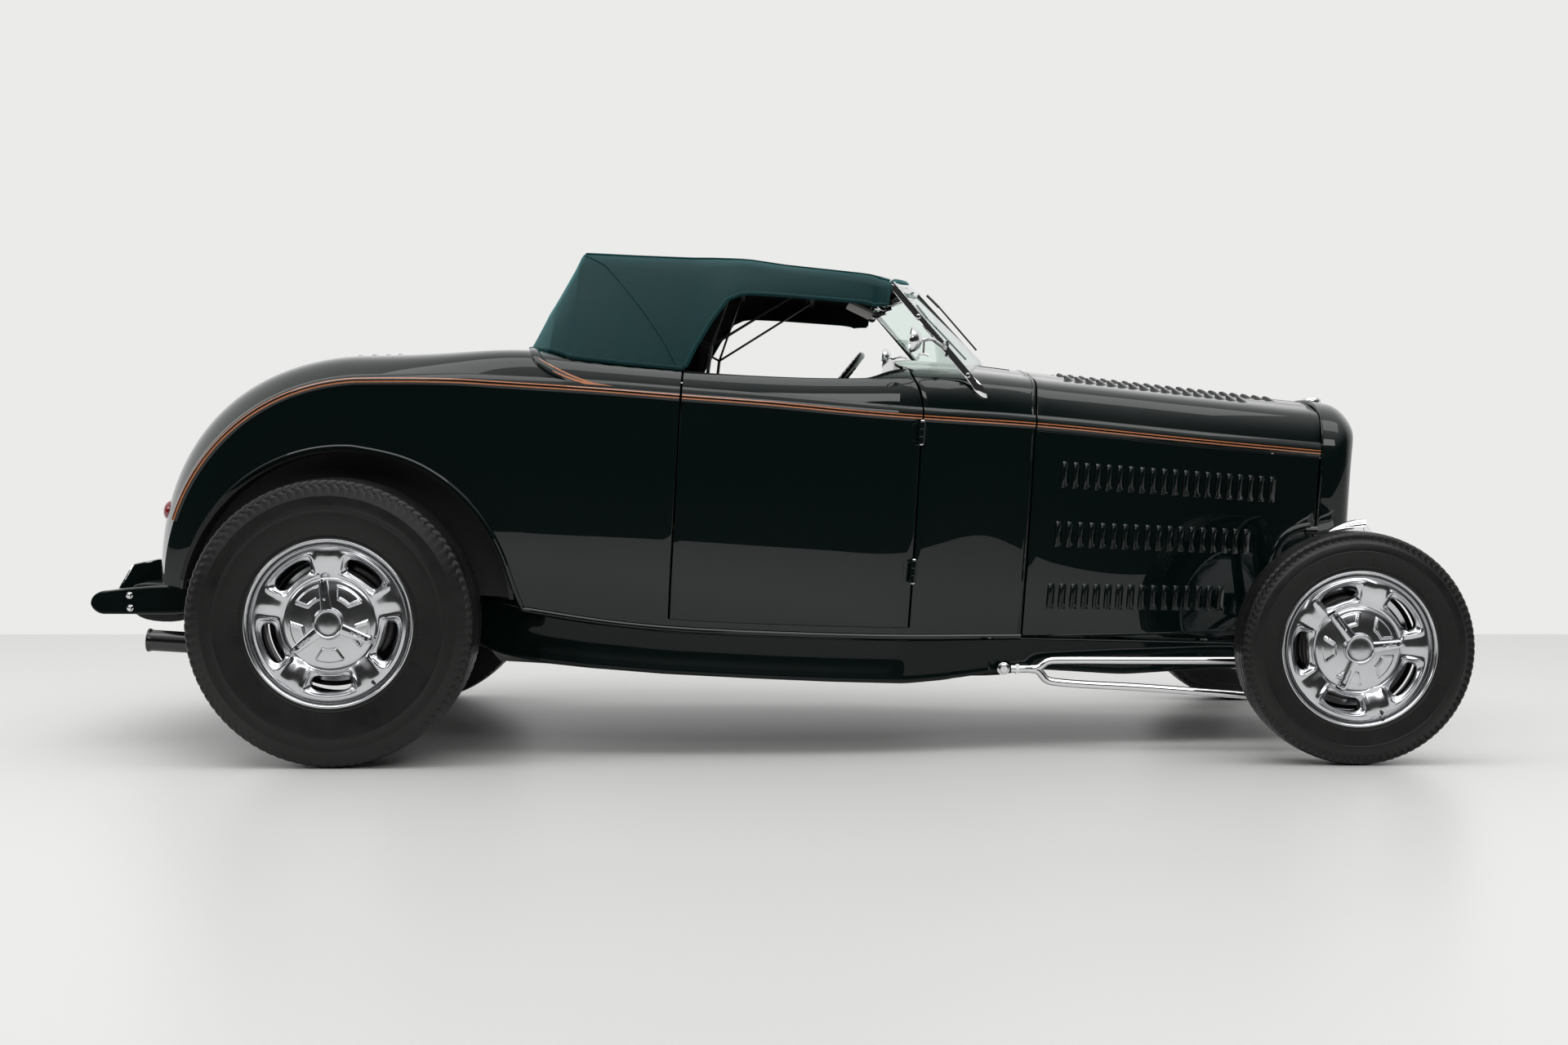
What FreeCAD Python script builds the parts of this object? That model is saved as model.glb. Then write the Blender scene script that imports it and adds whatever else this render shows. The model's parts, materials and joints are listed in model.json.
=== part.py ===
# Street rod roadster: a fenderless open two-seater on a boxed ladder frame with a dropped front axle.
# Frame: X forward, Y left, Z up, millimetres, origin on the ground under the middle of the car's box.
# The body and its frame sit nose down on the axles, so every piece of theirs is drawn in a level
# "body frame" (x from the hood's rear edge, z from the body's lower edge) and tilted by the rake.
import FreeCAD, Part
import math
import os

V = FreeCAD.Vector
os.makedirs("parts", exist_ok=True)
doc = FreeCAD.newDocument("roadster")

# ---------------------------------------------------------------- driving dimensions (millimetres)
SIZES = [
    ("wheelbase", 2692), ("front_axle_x", 1562.2), ("front_track", 1424), ("rear_track", 1441),
    ("front_tyre_radius", 308), ("front_tyre_width", 147), ("front_rim_radius", 206),
    ("front_rim_width", 138),
    ("rear_tyre_radius", 378), ("rear_tyre_width", 216), ("rear_rim_radius", 221),
    ("rear_rim_width", 196),
    ("rake", 3.4), ("body_ref_x", 712.2), ("body_ref_z", 315),
    ("hood_length", 838), ("door_front", 322), ("door_rear", 970), ("cockpit_rear", 1290),
    ("shut_gap", 5), ("seat_gap", 0.3), ("wall", 24), ("door_wall", 52), ("lid_wall", 22),
    ("hood_wall", 8),
    ("deck_front", 1530), ("deck_half", 400), ("deck_low", 130),
    ("arch_x", 1828), ("arch_drop", 38), ("arch_radius", 450),
    ("cowl_crown", 744), ("rail_wide", 52), ("rail_end", 2582),
    ("glass_thick", 6), ("top_thick", 12),
    ("kingpin_y", 590), ("kingpin_radius", 11), ("pin_gap", 0.08), ("spindle_radius", 17),
    ("axle_drop", 118), ("steer_arm", 130), ("tie_rod_radius", 11),
    ("seat_length", 470), ("seat_half", 528), ("seat_thick", 150), ("seat_back_thick", 170),
    ("wheel_rim_radius", 190), ("column_y", 350),
    ("engine_long", 600), ("engine_wide", 460), ("engine_high", 470),
    ("tank_long", 190), ("tank_wide", 690), ("tank_high", 112),
    ("plate_wide", 305), ("plate_high", 152), ("plate_hole", 7),
    ("lamp_radius", 88), ("lamp_length", 180), ("lamp_y", 385),
    ("rear_tube_radius", 38), ("bumper_hole", 12.7),
]
sheet = doc.addObject("Spreadsheet::Sheet", "Dims")
for row, (alias, value) in enumerate(SIZES, start=1):
    sheet.set("A%d" % row, alias)
    sheet.set("B%d" % row, str(value))
    sheet.setAlias("B%d" % row, alias)
doc.recompute()


def dim(alias):
    """The value of one cell of the sheet."""
    return float(sheet.get(alias))


RAKE = FreeCAD.Rotation(V(0, 1, 0), dim("rake"))
BODY = FreeCAD.Placement(V(dim("body_ref_x"), 0, dim("body_ref_z")), RAKE)
LEVEL = FreeCAD.Placement()
GAP = dim("shut_gap")
SEAT = dim("seat_gap")
PIN = dim("pin_gap")


def level(point):
    """A body-frame point in the car's own frame."""
    return BODY.multVec(V(*point))


# ---------------------------------------------------------------- helpers
def feature(label, shape, placement=LEVEL):
    """A sub-part whose shape comes from Part's functions; its Placement is set after its Shape."""
    item = doc.addObject("Part::Feature", label)
    item.Label = label
    item.Shape = shape
    item.Placement = placement
    return item


def solid_loft(sections, ruled=True):
    """A closed solid through closed polygons given as lists of points."""
    wires = [Part.makePolygon([V(*p) for p in pts] + [V(*pts[0])]) for pts in sections]
    return Part.makeLoft(wires, True, ruled)


def bar(start, end, radius):
    """A round bar between two points."""
    a, b = V(*start), V(*end)
    return Part.makeCylinder(radius, (b - a).Length, a, b - a)


def chain(points, radius):
    """Round bars end to end with ball joints between them: a bent tube."""
    shape = bar(points[0], points[1], radius)
    for a, b in zip(points[1:-1], points[2:]):
        shape = shape.fuse(Part.makeSphere(radius, V(*a)))
        shape = shape.fuse(bar(a, b, radius))
    return shape.removeSplitter()


def box(low, high):
    """A box from its two corners."""
    return Part.makeBox(high[0] - low[0], high[1] - low[1], high[2] - low[2], V(*low))


def slab(points, thickness):
    """A flat plate: its outline pushed half the thickness each way along its normal."""
    pts = [V(*p) for p in points]
    normal = (pts[1] - pts[0]).cross(pts[2] - pts[0]).normalize()
    outline = Part.makePolygon([p - normal * (thickness / 2) for p in pts + pts[:1]])
    return Part.Face(outline).extrude(normal * thickness)


def mirrored(shape):
    """The same shape on the car's other side."""
    return shape.mirror(V(0, 0, 0), V(0, 1, 0))


def pair(shape):
    """A piece and its mirror image as two solids of one node."""
    return Part.makeCompound([shape, mirrored(shape)])


def between(table, x):
    """A row of a table, read at x by straight lines between its rows; x falls down the table."""
    if x >= table[0][0]:
        return list(table[0])
    for high, low in zip(table, table[1:]):
        if x >= low[0]:
            share = (x - low[0]) / (high[0] - low[0])
            return [l + share * (h - l) for h, l in zip(high, low)]
    return list(table[-1])


# ---------------------------------------------------------------- the body's outer surface
# Half sections of the body at stations along it, in the body frame.
# x, foot_y, foot_z, flank_y, flank_z, belt_y, belt_z, edge_y, edge_z, crown_z
# (foot: lower edge; flank: widest; belt: bead line; edge: top of the side; crown: centre line)
HOOD = dim("hood_length")
FRONT = -dim("door_front")
REAR = -dim("door_rear")
COCKPIT = -dim("cockpit_rear")
ARCH_X = -dim("arch_x")
ARCH_Z = -dim("arch_drop")
ARCH_R = dim("arch_radius")
STATIONS = [
    (HOOD, 262, 15, 284, 300, 288, 556, 250, 655, 703),
    (HOOD * 0.45, 378, 5, 392, 300, 392, 570, 350, 672, 724),
    (0, 455, -4, 474, 300, 472, 583, 430, 688, dim("cowl_crown")),
    (FRONT, 572, -14, 604, 300, 600, 583, 560, 690, dim("cowl_crown") + 12),
    (-520, 596, -20, 644, 300, 642, 586, 606, 675, 745),
    (-720, 610, -24, 668, 300, 668, 593, 634, 666, 740),
    (REAR, 620, -25, 688, 300, 688, 597, 655, 665, 735),
    (-1180, 627, -14, 694, 300, 697, 601, 660, 672, 725),
    (COCKPIT, 630, -3, 694, 300, 699, 602, 655, 680, 712),
    (-1400, 632, 8, 694, 300, 700, 603, 650, 684, 706),
    (-1620, 636, 20, 690, 300, 696, 600, 630, 664, 692),
    (ARCH_X, 636, 30, 684, 300, 690, 588, 600, 648, 671),
]


def half_outline(x, inset=0.0, top=True):
    """Points of one side of the section at x, from the foot up, moved in by inset."""
    (_, foot_y, foot_z, flank_y, flank_z, belt_y, belt_z, edge_y, edge_z, crown) = between(STATIONS, x)
    tuck = 0.35 * foot_y + 0.65 * flank_y
    points = [(foot_y - inset, foot_z), (tuck - inset, 110 + 0.6 * foot_z),
              (flank_y - inset, flank_z), (belt_y - inset, belt_z),
              (edge_y - inset * 0.8, edge_z - inset * 0.5)]
    if top:
        points.append((edge_y * 0.6, edge_z + 0.66 * (crown - edge_z) - inset))
        points.append((edge_y * 0.3, edge_z + 0.93 * (crown - edge_z) - inset))
        points.append((0.0, crown - inset))
    return points


def arch_section(x, wall):
    """A closed polygon over the whole car at x: up the left side, over the top, down the right."""
    outer = half_outline(x)
    inner = half_outline(x, wall)
    loop = outer + [(-y, z) for y, z in outer[-2::-1]]
    back = inner + [(-y, z) for y, z in inner[-2::-1]]
    return [(x, y, z) for y, z in loop] + [(x, y, z) for y, z in back[::-1]]


def side_section(x, wall, first=0, last=4):
    """A closed polygon of the left wall at x, between two of the outline's points."""
    outer = half_outline(x)[first:last + 1]
    inner = half_outline(x, wall)[first:last + 1]
    return [(x, y, z) for y, z in outer] + [(x, y, z) for y, z in inner[::-1]]


def stops(rear, front):
    """The stations from one x to another, both ends among them."""
    middle = [row[0] for row in STATIONS if rear + 1 < row[0] < front - 1]
    return [front] + middle + [rear]


def radial(angle, radius, y):
    """A point of the tail: angle from straight up about the wheel arch's axis, tilting rearward."""
    turn = math.radians(angle)
    return (ARCH_X - radius * math.sin(turn), y, ARCH_Z + radius * math.cos(turn))


# The tail is drawn as sections that turn about the wheel arch's axis, from upright to nearly level.
# angle, arch_y, belt_r, belt_y, edge_r, edge_y, crown_r
TAIL = [
    (0, 672, 626, 690, 686, 600, 709),
    (18, 668, 603, 682, 668, 588, 704),
    (36, 656, 576, 652, 642, 556, 697),
    (54, 640, 548, 620, 602, 528, 668),
    (72, 622, 522, 596, 563, 498, 624),
    (86, 600, 506, 580, 537, 486, 586),
]


def tail_section(row, wall):
    """A closed polygon over the whole tail at one angle."""
    angle, arch_y, belt_r, belt_y, edge_r, edge_y, crown_r = row
    outer = [(ARCH_R, arch_y), (belt_r, belt_y), (edge_r, edge_y), (crown_r - 4, edge_y * 0.55),
             (crown_r, 0.0)]
    inner = [(ARCH_R, arch_y - wall), (belt_r, belt_y - wall), (edge_r - wall * 0.7, edge_y - wall * 0.6),
             (crown_r - 4 - wall, edge_y * 0.55), (crown_r - wall, 0.0)]
    loop = outer + [(r, -y) for r, y in outer[-2::-1]]
    back = inner + [(r, -y) for r, y in inner[-2::-1]]
    return [radial(angle, r, y) for r, y in loop] + [radial(angle, r, y) for r, y in back[::-1]]


WALL = dim("wall")
arch_cutter = Part.makeCylinder(ARCH_R, 2000, V(ARCH_X, -1000, ARCH_Z), V(0, 1, 0))

# ---------------------------------------------------------------- rear body: quarters, tulip panel, tail
side_x = stops(COCKPIT, REAR - GAP / 2)
quarter = solid_loft([side_section(x, WALL) for x in side_x])
shell = solid_loft([arch_section(x, WALL) for x in stops(ARCH_X, COCKPIT)])
tail = solid_loft([tail_section(row, WALL) for row in TAIL])
shell = shell.cut(arch_cutter)
quarter = quarter.cut(arch_cutter)
rear_body = quarter.fuse([mirrored(quarter), shell, tail])
DECK_X = -dim("deck_front")
DECK_Y = dim("deck_half")
DECK_Z = dim("deck_low")
deck_hole = box((-2700, -DECK_Y - GAP, DECK_Z - GAP), (DECK_X + GAP, DECK_Y + GAP, 900))
rear_body = rear_body.cut(deck_hole)

LID = dim("lid_wall")
lid_full = solid_loft([arch_section(x, LID) for x in stops(ARCH_X, DECK_X + 60)])
lid_full = lid_full.fuse(solid_loft([tail_section(row, LID) for row in TAIL]))
deck_lid = lid_full.common(box((-2700, -DECK_Y, DECK_Z), (DECK_X, DECK_Y, 900)))
LID_PIN = V(DECK_X + GAP / 2, 0, 695)
LID_HINGE_Y = 300
for y in (-LID_HINGE_Y, LID_HINGE_Y):
    rear_body = rear_body.cut(box((DECK_X, y - 15.3, 660), (DECK_X + 9, y + 15.3, 720)))
    room = Part.makeCylinder(5 + 2 * SEAT, 62, V(LID_PIN.x, y - 31, LID_PIN.z), V(0, 1, 0))
    deck_lid = deck_lid.cut(room)
    middle = Part.makeCylinder(5, 30, V(LID_PIN.x, y - 15, LID_PIN.z), V(0, 1, 0))
    strap = box((DECK_X - 14, y - 15, 675), (DECK_X + 1, y + 15, LID_PIN.z + 3))
    deck_lid = deck_lid.fuse([middle, strap])
    deck_lid = deck_lid.cut(Part.makeCylinder(2.5 + PIN, 60, V(LID_PIN.x, y - 30, LID_PIN.z), V(0, 1, 0)))
    pin = Part.makeCylinder(2.5, 58, V(LID_PIN.x, y - 29, LID_PIN.z), V(0, 1, 0))
    for low_y in (y - 29, y + 15.5):
        end = Part.makeCylinder(5, 13.5, V(LID_PIN.x, low_y, LID_PIN.z), V(0, 1, 0))
        leaf = box((DECK_X + 4, low_y, 675), (DECK_X + 20, low_y + 13.5, LID_PIN.z + 3))
        rear_body = rear_body.fuse([pin, end, leaf])
feature("rear_body", rear_body, BODY)
feature("deck_lid", deck_lid.removeSplitter(), BODY)

# ---------------------------------------------------------------- cowl with its firewall
DASH = -235
cowl = solid_loft([arch_section(x, WALL) for x in stops(DASH, -GAP / 2)])
pillar = solid_loft([side_section(x, WALL) for x in (DASH, FRONT + GAP / 2)])
inside = [(y, z) for y, z in half_outline(-14, WALL * 0.5)]
firewall = slab([(-14, y, z) for y, z in inside + [(-y, z) for y, z in inside[::-1]]], 10)
cowl = cowl.fuse([pillar, mirrored(pillar), firewall])
feature("cowl", cowl.removeSplitter(), BODY)

# ---------------------------------------------------------------- doors
DOOR = dim("door_wall")
DOOR_LIFT = 22 + GAP


def door_section(x):
    """The door at x: its outer skin is the body's, its inner face a whole door's thickness in."""
    outer = half_outline(x)[:5]
    outer[0] = (outer[0][0] + 5, outer[0][1] + DOOR_LIFT)
    inner = [(y - DOOR, z) for y, z in outer[:4]]
    inner.append((outer[4][0] - DOOR * 0.7, outer[4][1]))
    return [(x, y, z) for y, z in outer] + [(x, y, z) for y, z in inner[::-1]]


door = solid_loft([door_section(x) for x in stops(REAR + GAP / 2, FRONT - GAP / 2)])
# Exposed hinges: the barrel's middle third is the door's, the ends and the pin are the cowl's.
HINGE_X = FRONT
HINGE_Y = 614
BARREL_R = 9
BARREL = 60
HINGE_PIN = 4
hinge_parts = []
for low_z in (138, 512):
    third = BARREL / 3
    ear = Part.makeCylinder(BARREL_R, third, V(HINGE_X, HINGE_Y, low_z + third))
    strap = box((HINGE_X - 26, HINGE_Y - 28, low_z + third), (HINGE_X - 4, HINGE_Y + 2, low_z + 2 * third))
    door = door.fuse([ear, strap])
    door = door.cut(Part.makeCylinder(HINGE_PIN + PIN, BARREL, V(HINGE_X, HINGE_Y, low_z)))
    hinge = Part.makeCylinder(HINGE_PIN, BARREL, V(HINGE_X, HINGE_Y, low_z))
    for base in (low_z, low_z + 2 * third + SEAT):
        tall = third - SEAT
        hinge = hinge.fuse([Part.makeCylinder(BARREL_R, tall, V(HINGE_X, HINGE_Y, base)),
                            box((HINGE_X, HINGE_Y - 5, base), (HINGE_X + 12, HINGE_Y + 2, base + tall))])
    hinge = hinge.fuse(box((HINGE_X + 11, HINGE_Y - 30, low_z), (HINGE_X + 32, HINGE_Y + 2, low_z + BARREL)))
    hinge_parts.append(max(hinge.cut(cowl).Solids, key=lambda solid: solid.Volume))
hood_pin = bar((-GAP / 2, 0, half_outline(0)[-1][1] - 3), (HOOD, 0, half_outline(HOOD)[-1][1] - 3), 1.6)
feature("hinges", Part.makeCompound(hinge_parts + [mirrored(part) for part in hinge_parts] + [hood_pin]),
        BODY)
feature("door_left", door, BODY)
feature("door_right", mirrored(door), BODY)

# ---------------------------------------------------------------- hood: two fixed sides, two lifting tops
HOOD_WALL = dim("hood_wall")
hood_x = stops(GAP / 2, HOOD - GAP / 2)
side = solid_loft([side_section(x, HOOD_WALL, 0, 3) for x in hood_x])
feature("hood_sides", pair(side), BODY)


def lid_section(x):
    """One half of the hood's top at x, from the belt to 2 mm short of the centre."""
    outer = [(y, z) for y, z in half_outline(x)[3:]]
    outer[0] = (outer[0][0], outer[0][1] + GAP)
    outer[-1] = (2.0, outer[-1][1])
    inner = [(y - HOOD_WALL, z) for y, z in outer[:1]]
    inner += [(y - HOOD_WALL * 0.6, z - HOOD_WALL * 0.8) for y, z in outer[1:-1]]
    inner.append((2.0, outer[-1][1] - HOOD_WALL))
    return [(x, y, z) for y, z in outer] + [(x, y, z) for y, z in inner[::-1]]


hood_top = solid_loft([lid_section(x) for x in hood_x])
feature("hood_top_left", hood_top, BODY)
feature("hood_top_right", mirrored(hood_top), BODY)

# ---------------------------------------------------------------- grille shell and radiator
# z, half width of the shell's outline
SHELL = [(14, 236), (150, 262), (400, 282), (556, 286), (640, 255), (690, 175), (706, 80), (708, 0)]
# x ahead of the hood's end, z: the shell's face seen from the side
SHELL_FACE = [(120, 14), (128, 150), (142, 400), (158, 560), (150, 625), (118, 690), (60, 712)]
SHELL_DEEP = 165


def shell_ring(x, inset):
    """The shell's outline at x, moved in by inset."""
    points = [(x, max(half - inset, 0), z - inset * (z > 600)) for z, half in SHELL]
    return points + [(x, -y, z) for x, y, z in points[-2::-1]]


def shell_prism(start, end, inset, taper=0.0):
    """A solid between two of the shell's outlines."""
    return solid_loft([shell_ring(HOOD + start, inset), shell_ring(HOOD + end, inset + taper)])


face_line = [(HOOD - 50, 12)] + [(HOOD + x, z) for x, z in SHELL_FACE] + [(HOOD - 50, 712)]
face_prism = Part.Face(Part.makePolygon([V(x, -400, z) for x, z in face_line + face_line[:1]]))
face_prism = face_prism.extrude(V(0, 800, 0))
SHELL_BACK = 70
shell_solid = shell_prism(0, SHELL_BACK, 0).fuse(shell_prism(SHELL_BACK, SHELL_DEEP, 0, 20))
shell_core = shell_prism(-1, SHELL_BACK, 12).fuse(shell_prism(SHELL_BACK - 0.1, SHELL_DEEP + 1, 44, 16))
feature("grille_shell", shell_solid.cut(shell_core).common(face_prism), BODY)
feature("radiator", shell_prism(8, SHELL_BACK - 0.4, 12 + SEAT), BODY)

# ---------------------------------------------------------------- frame rails with their horns
RAIL_END = -dim("rail_end")
# x, outer y, top z, bottom z
RAILS = [
    (930, 325, -2, -60), (593, 352, 8, -67), (298, 398, 2, -98), (0, 458, -4.5, -92),
    (-214, 536, -11, -129), (FRONT, 574, -14.5, -141), (-520, 600, -20.5, -145),
    (-720, 614, -24.5, -147), (REAR, 622, -25.5, -148), (-1180, 618, -14.5, -144),
    (-1300, 600, -4, -140), (-1430, 552, 20, -128), (-1600, 520, 64, -50), (-1842, 508, 84, 6),
    (-2100, 480, 66, -22), (-2320, 425, -3, -82), (-2400, 412, -8, -88),
    (-2540, 402, -32, -97), (RAIL_END, 398, -48, -84),
]
RAIL_WIDE = dim("rail_wide")
rail_sections = []
for x, y, top_z, low_z in RAILS:
    rail_sections.append([(x, y, low_z), (x, y, top_z), (x, y - RAIL_WIDE, top_z),
                          (x, y - RAIL_WIDE, low_z)])
rail = solid_loft(rail_sections)
HORN_BOLTS = [(-2478, -58), (-2410, -52)]
for x, z in HORN_BOLTS:
    hole = Part.makeCylinder(dim("bumper_hole") / 2, 300, V(x, 250, z), V(0, 1, 0))
    rail = rail.cut(hole)
feature("frame_rails", pair(rail), BODY)


def rail_inner(x):
    """The inner face of the left rail at x."""
    return between(RAILS, x)[1] - RAIL_WIDE


# x, bottom z, top z, fore-and-aft width of each crossmember between the rails
CROSS = [(849, -38, 10, 90), (330, -80, -20.3, 60), (-380, -75, -25, 60), (-1000, -75, -25, 60),
         (-1560, 20, 52, 50), (-2280, -60, -10, 50)]
members = []
for x, low_z, high_z, long in CROSS:
    reach = min(rail_inner(x - long / 2), rail_inner(x + long / 2))
    members.append(box((x - long / 2, -reach, low_z), (x + long / 2, reach, high_z)))
SPREADER = (-2530, -75)
SPREADER_R = 16
reach = rail_inner(SPREADER[0] - SPREADER_R)
members.append(bar((SPREADER[0], -reach, SPREADER[1]), (SPREADER[0], reach, SPREADER[1]), SPREADER_R))
feature("crossmembers", Part.makeCompound(members), BODY)

# ---------------------------------------------------------------- floor and wheel tubs
floor_parts = [
    solid_loft([[(x, -y, low), (x, y, low), (x, y, low + 14), (x, -y, low + 14)]
                for x, y, low in ((-20, 436, 0), (FRONT, 514, -8), (REAR, 560, -18), (-1340, 604, 6))]),
    box((-1354, -520, 6), (-1340, 520, 104)),
    box((-2290, -500, 90), (-1354, 500, 104)),
]
SILL = 22
sill_sections = []
for x in stops(REAR - GAP / 2, FRONT + GAP / 2):
    foot_y, foot_z = half_outline(x)[0]
    sill_sections.append([(x, foot_y, foot_z), (x, foot_y + 4, foot_z + SILL),
                          (x, foot_y - 70, foot_z + SILL), (x, foot_y - 70, foot_z)])
sill = solid_loft(sill_sections)
floor_parts += [sill, mirrored(sill)]
floor = floor_parts[0].fuse(floor_parts[1:])
floor = floor.cut(Part.makeCompound([rear_body, cowl]))
feature("body_floor", floor.removeSplitter(), BODY)

TUB = 12
TUB_IN = 560
tub = Part.makeCylinder(ARCH_R, 100, V(ARCH_X, TUB_IN, ARCH_Z), V(0, 1, 0))
tub = tub.cut(Part.makeCylinder(ARCH_R - TUB, 100, V(ARCH_X, TUB_IN + TUB, ARCH_Z), V(0, 1, 0)))
tub = tub.common(box((-2700, 0, ARCH_Z + 70), (0, 700, 600)))
tub = tub.cut(rear_body)
feature("wheel_tubs", pair(tub), BODY)

# ---------------------------------------------------------------- engine, fuel tank, plate: boxes
def bound_box(label, sizes, corner, placement=BODY):
    """A Part::Box whose three sizes are bound to the sheet, its corner in the body frame."""
    item = doc.addObject("Part::Box", label)
    item.Label = label
    for prop, alias in zip(("Length", "Width", "Height"), sizes):
        item.setExpression(prop, "Dims." + alias)
    item.Placement = placement.multiply(FreeCAD.Placement(V(*corner), FreeCAD.Rotation()))
    return item


bound_box("engine_block", ("engine_long", "engine_wide", "engine_high"),
          (60, -dim("engine_wide") / 2, -20))
bound_box("fuel_tank", ("tank_long", "tank_wide", "tank_high"),
          (-2305 - dim("tank_long"), -dim("tank_wide") / 2, -118))

# ---------------------------------------------------------------- seats
FLOOR = [(-20, 14), (FRONT, 6), (REAR, -4), (-1340, 20)]
SEAT_FRONT = -560
SEAT_REAR = SEAT_FRONT - dim("seat_length")
SEAT_TOP = 290
SEAT_Y = dim("seat_half")


def floor_top(x):
    """The top of the cockpit floor at x."""
    return between(FLOOR, x)[1]


def bench(points):
    """A side outline (x, z) pushed across the car to the seat's width."""
    face = Part.Face(Part.makePolygon([V(x, -SEAT_Y, z) for x, z in points + points[:1]]))
    return face.extrude(V(0, 2 * SEAT_Y, 0))


low = SEAT_TOP - dim("seat_thick")
cushion = bench([(SEAT_FRONT, floor_top(SEAT_FRONT) + SEAT), (SEAT_FRONT + 20, low),
                 (SEAT_FRONT + 5, SEAT_TOP), (SEAT_REAR, SEAT_TOP - 35),
                 (SEAT_REAR, floor_top(SEAT_REAR) + SEAT)])
feature("seat_cushion", cushion, BODY)
thick = dim("seat_back_thick")
back_low = SEAT_REAR - SEAT
feature("seat_back", bench([(back_low, floor_top(back_low) + SEAT), (back_low, 260),
                            (back_low - 95, 590), (back_low - 130, 640), (back_low - thick - 75, 640),
                            (back_low - thick - 60, 560), (back_low - thick + 30, 20)]), BODY)

# ---------------------------------------------------------------- dashboard, column, steering wheel
crown = dim("cowl_crown")
DASH_TOP = [(545, 620), (500, 676), (300, 714), (0, crown - 12)]
dash_points = [(DASH - 10, y, z) for y, z in [(530, 540)] + DASH_TOP]
dash_points += [(x, -y, z) for x, y, z in dash_points[-2::-1]]
HUB = V(-557, dim("column_y"), 632)
COLUMN_AXIS = V(-0.819, 0, 0.574)
COLUMN_R = 20
column = bar(HUB - COLUMN_AXIS * 30, HUB - COLUMN_AXIS * 652, COLUMN_R)
column = column.common(box((-800, 0, 0), (-19, 700, 900)))
dash = slab(dash_points, 18).cut(bar(HUB, HUB - COLUMN_AXIS * 640, COLUMN_R))
feature("dashboard", dash.cut(cowl), BODY)
feature("steering_column", column, BODY)

RIM_R = dim("wheel_rim_radius") - 12
rim = Part.makeTorus(RIM_R, 12, V(0, 0, 0), V(0, 0, 1))
for spoke in range(4):
    turn = math.radians(45 + 90 * spoke)
    rim = rim.fuse(bar((0, 0, -8), (RIM_R * math.cos(turn), RIM_R * math.sin(turn), 0), 7))
rim = rim.fuse(Part.makeCylinder(38, 34, V(0, 0, -29.8), V(0, 0, 1)))
wheel_place = FreeCAD.Placement(HUB, FreeCAD.Rotation(V(0, 0, 1), COLUMN_AXIS))
feature("steering_wheel", rim, BODY.multiply(wheel_place))

# ---------------------------------------------------------------- windshield: two panes in a V
POST_LOW = (-165, 522, 668)
POST_HIGH = (-420, 530, 938)
MID_LOW = (-113, 0, crown + 8)
MID_HIGH = (-316, 0, 952)
FOOT = (-105, 492, 640)
POST_R = 11


frame_bars = [bar(POST_LOW, POST_HIGH, POST_R), bar(MID_LOW, MID_HIGH, 8),
              bar(POST_HIGH, MID_HIGH, POST_R), bar(POST_LOW, MID_LOW, POST_R),
              bar(POST_LOW, FOOT, POST_R)]
screen = frame_bars[0].fuse(frame_bars[1:])
for knot in (POST_LOW, POST_HIGH, MID_LOW, MID_HIGH):
    screen = screen.fuse(Part.makeSphere(POST_R + 1.5, V(*knot)))
screen = screen.fuse(mirrored(screen)).cut(cowl)
screen = max(screen.Solids, key=lambda solid: solid.Volume)
GLASS = dim("glass_thick")
pane = slab([POST_LOW, POST_HIGH, MID_HIGH], GLASS).fuse(slab([POST_LOW, MID_HIGH, MID_LOW], GLASS))
pane = pane.cut(screen).cut(cowl)
panes = sorted(pane.Solids, key=lambda solid: -solid.Volume)
feature("windshield_frame", screen, BODY)
feature("windshield_glass", Part.makeCompound([panes[0], mirrored(panes[0])]), BODY)

# ---------------------------------------------------------------- soft top: a hollow canopy
# x, low_y, low_z (0: on the body), mid_y, mid_z, corner_y, corner_z, crown_z of each left half
TOP = [
    (-358, 553, 918, 549, 936, 520, 952, 971),
    (-421, 570, 880, 568, 918, 545, 960, 982),
    (-712, 590, 888, 582, 930, 530, 975, 1005),
    (-832, 606, 882, 596, 930, 515, 985, 1012),
    (-903, 634, 807, 606, 900, 505, 985, 1010),
    (-962, 652, 674, 615, 850, 498, 983, 1008),
    (-1133, 656, 0, 612, 840, 480, 981, 1004),
    (-1265, 654, 0, 590, 830, 462, 980, 998),
    (-1290, 640, 0, 580, 812, 460, 930, 948),
    (-1330, 606, 0, 560, 780, 455, 850, 868),
    (-1364, 538, 0, 513, 747, 452, 787, 803),
    (-1398, 470, 0, 466, 714, 450, 724, 738),
]
THICK = dim("top_thick")


def body_top(x, y):
    """The height of the body's upper surface at x and y."""
    line = half_outline(x)[4:]
    if x > COCKPIT or y >= line[0][0]:
        return line[0][1]
    for (y_out, z_out), (y_in, z_in) in zip(line, line[1:]):
        if y >= y_in:
            return z_in + (z_out - z_in) * (y - y_in) / (y_out - y_in)


def top_section(row):
    """A closed polygon over the canopy at one station."""
    x, low_y, low_z, mid_y, mid_z, corner_y, corner_z, crown_z = row
    low_z = low_z or body_top(x, low_y - THICK) + SEAT
    outer = [(low_y, low_z), (mid_y, mid_z), (corner_y, corner_z), (corner_y * 0.5, crown_z - 6),
             (0.0, crown_z)]
    inner = [(low_y - THICK, low_z), (mid_y - THICK, mid_z - 2), (corner_y - 9, corner_z - 10),
             (corner_y * 0.5, crown_z - 6 - THICK), (0.0, crown_z - THICK)]
    loop = outer + [(-y, z) for y, z in outer[-2::-1]]
    back = inner + [(-y, z) for y, z in inner[-2::-1]]
    return [(x, y, z) for y, z in loop] + [(x, y, z) for y, z in back[::-1]]


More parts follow.
